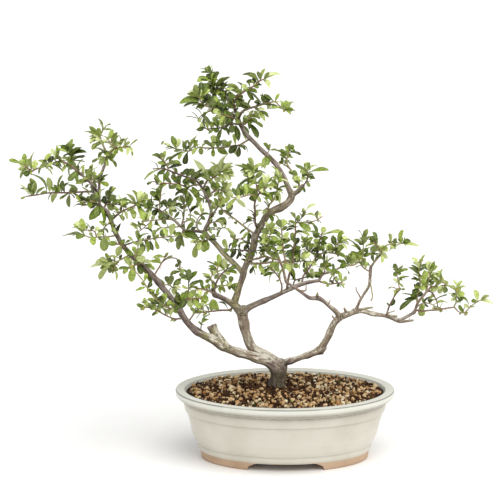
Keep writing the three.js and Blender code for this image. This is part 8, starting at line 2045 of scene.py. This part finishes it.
def add_buds(shape, end, way, random, solid):
    """A flat head of round buds on short stalks at a shoot's end."""
    corners, faces = solid
    count = 5 + int(5 * random())
    for index in range(count):
        angle = GOLDEN_ANGLE * index
        out = 1.1 * math.sqrt(index + 0.3)
        side = unit(np.cross(way, [0.3, 0.9, 0.2]))
        other = np.cross(way, side)
        spot = end + way * (2.6 - 0.12 * out ** 2)
        spot = spot + side * out * math.cos(angle) + other * out * math.sin(angle)
        size = 0.75 + 0.45 * random()
        shape.add(corners * size * [1, 1, 1.15] + spot, faces)
        stalk = np.array([[*end, 0.3], [*(end + (spot - end) * 0.5 + way * 0.3), 0.24], [*spot, 0.22]])
        shape.add(*tube(stalk, 5))


# The areas of the crown, by how the names of their sprays start.
AREAS = {
    "left": ("crown_left", "stem", "far_left", "left"),
    "middle": ("low", "mid", "limb", "side", "upper", "light", "pale_twig"),
}


def area_of(name):
    """The part of the crown whose twigs are one piece with this spray's."""
    for area, starts in AREAS.items():
        if name.removeprefix("spray_").startswith(starts):
            return area
    return "right"


# Spacing of the rings along thin ends and twigs, and of their thorns.
THIN_STEP = 1.0
TWIG_STEP = 1.6
THIN_THORNS = 26
TWIG_THORNS = 34
# Twigs whose radius at the root is over this have more sides.
STOUT_TWIG = 1
# Each spray's twigs are numbered from a start of its own.
SERIAL_STEP = 40
BUD_SEED = 5
BUD_SHARE = 0.34


def make_tree():
    bark, leaf, bud = bark_material(), leaf_material(), bud_material()
    thin = make_wood(bark)
    twigs = {area: Shape() for area in ("left", "middle", "right", "bare")}
    covered = {area: set() for area in twigs}
    buds = Shape()
    solid = split_once(*icosahedron())
    for serial, (name, route) in enumerate(thin.items()):
        line = smooth_line(route, THIN_STEP)
        add_twig(twigs["bare"], line, 12, serial)
        if not name.startswith("bare"):
            add_thorns(twigs["bare"], line, serial, THIN_THORNS)
    routes_of = {spray["name"]: twig_routes(spray) for spray in SPRAYS}
    tufts = tuft_leaves(routes_of)
    for number, spray in enumerate(SPRAYS):
        name = spray["name"]
        routes = routes_of[name]
        nodes = [node for node in (name, name + "_2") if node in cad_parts]
        if name in FUSED:
            nodes = ["trunk"]
        area = area_of(name)
        covered[area].update(nodes)
        random = random_from(seed_of(name) + BUD_SEED)
        for serial, route in enumerate(routes, SERIAL_STEP * number):
            line = smooth_line(route, TWIG_STEP)
            add_twig(twigs[area], line, 8 if route[0][3] > STOUT_TWIG else 6, serial)
            add_thorns(twigs[area], line, serial, TWIG_THORNS)
            if random() < BUD_SHARE and len(line) > 6:
                add_buds(buds, line[-1, :3], unit(line[-1, :3] - line[-4, :3]), random, solid)
        make_leaves(spray, routes, tufts[name], nodes, leaf)
    for area, shape in twigs.items():
        shape.piece("twigs_" + area, bark, "bark", sorted(covered[area]))
    buds.piece("bud_heads", bud, "foliage")


# Scene.

# Half the floor's side, in metres.
FLOOR_HALF = 400
# Suns: name, the direction that each shines from, strength, spread in degrees and colour.
SUNS = [
    ("key", (0.42, -0.75, 1.7), 1.85, 46, (1, 0.985, 0.96)),
    ("right", (1, -0.3, 0.45), 0.7, 80, (1, 0.99, 0.97)),
    ("left", (-0.9, -0.4, 0.9), 0.3, 60, (1, 1, 1)),
]
# How bright the studio's walls and ceiling are, by the height that one looks at them.
SKY = [(0.17, 1.0), (0.28, 0.4), (0.6, 0.4), (1.0, 0.8)]


def make_camera():
    camera = add_object("camera", bpy.data.cameras.new("camera"))
    camera.data.lens = CAMERA_LENS
    camera.location = POT_MIDDLE + Vector(EYE * MM)
    camera.rotation_euler = (CAMERA_TILT, 0, 0)
    camera.data.clip_end = 100
    bpy.context.scene.camera = camera


def make_floor():
    mesh = bpy.data.meshes.new("floor")
    corners = [(-1, -1), (1, -1), (1, 1), (-1, 1)]
    mesh.from_pydata([(FLOOR_HALF * x, FLOOR_HALF * y, 0) for x, y in corners], [], [(0, 1, 2, 3)])
    material, tree = new_tree("studio_floor")
    surface(material, tree, Base_Color=(0.97, 0.97, 0.97, 1), Roughness=0.9)
    mesh.materials.append(material)
    floor = add_object("floor", mesh)
    floor.location.z = pot_low.z


def add_sun(name, direction, strength, spread, colour):
    """A wide soft sun that shines from the given direction."""
    data = bpy.data.lights.new(name, "SUN")
    data.energy, data.angle, data.color = strength, math.radians(spread), colour
    light = add_object(name, data)
    light.rotation_mode = "QUATERNION"
    light.rotation_quaternion = (-Vector(direction)).to_track_quat("-Z", "Y")


def make_lights():
    world = bpy.data.worlds.new("studio")
    world.use_nodes = True
    tree = world.node_tree
    background = tree.nodes["Background"]
    background.inputs["Strength"].default_value = 1.0
    rise = add(tree, "SeparateXYZ", {0: add(tree, "TexCoord").outputs["Generated"]}).outputs[2]
    sky = linear_ramp(tree, rise, [(height, (level, level, level)) for height, level in SKY])
    tree.links.new(sky, background.inputs["Color"])
    bpy.context.scene.world = world
    for sun in SUNS:
        add_sun(*sun)
    bpy.context.scene.view_settings.view_transform = "Standard"


make_camera()
make_floor()
make_lights()
make_pot()
make_soil()
*stem_spot, stem_radius = LIMBS["limb_stump"][1]
make_grit(seen(*stem_spot), stem_radius)
make_tree()
drain_screen = screen_material()
for node_name in ("screen_left", "screen_right"):
    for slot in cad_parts[node_name].material_slots:
        slot.material = drain_screen
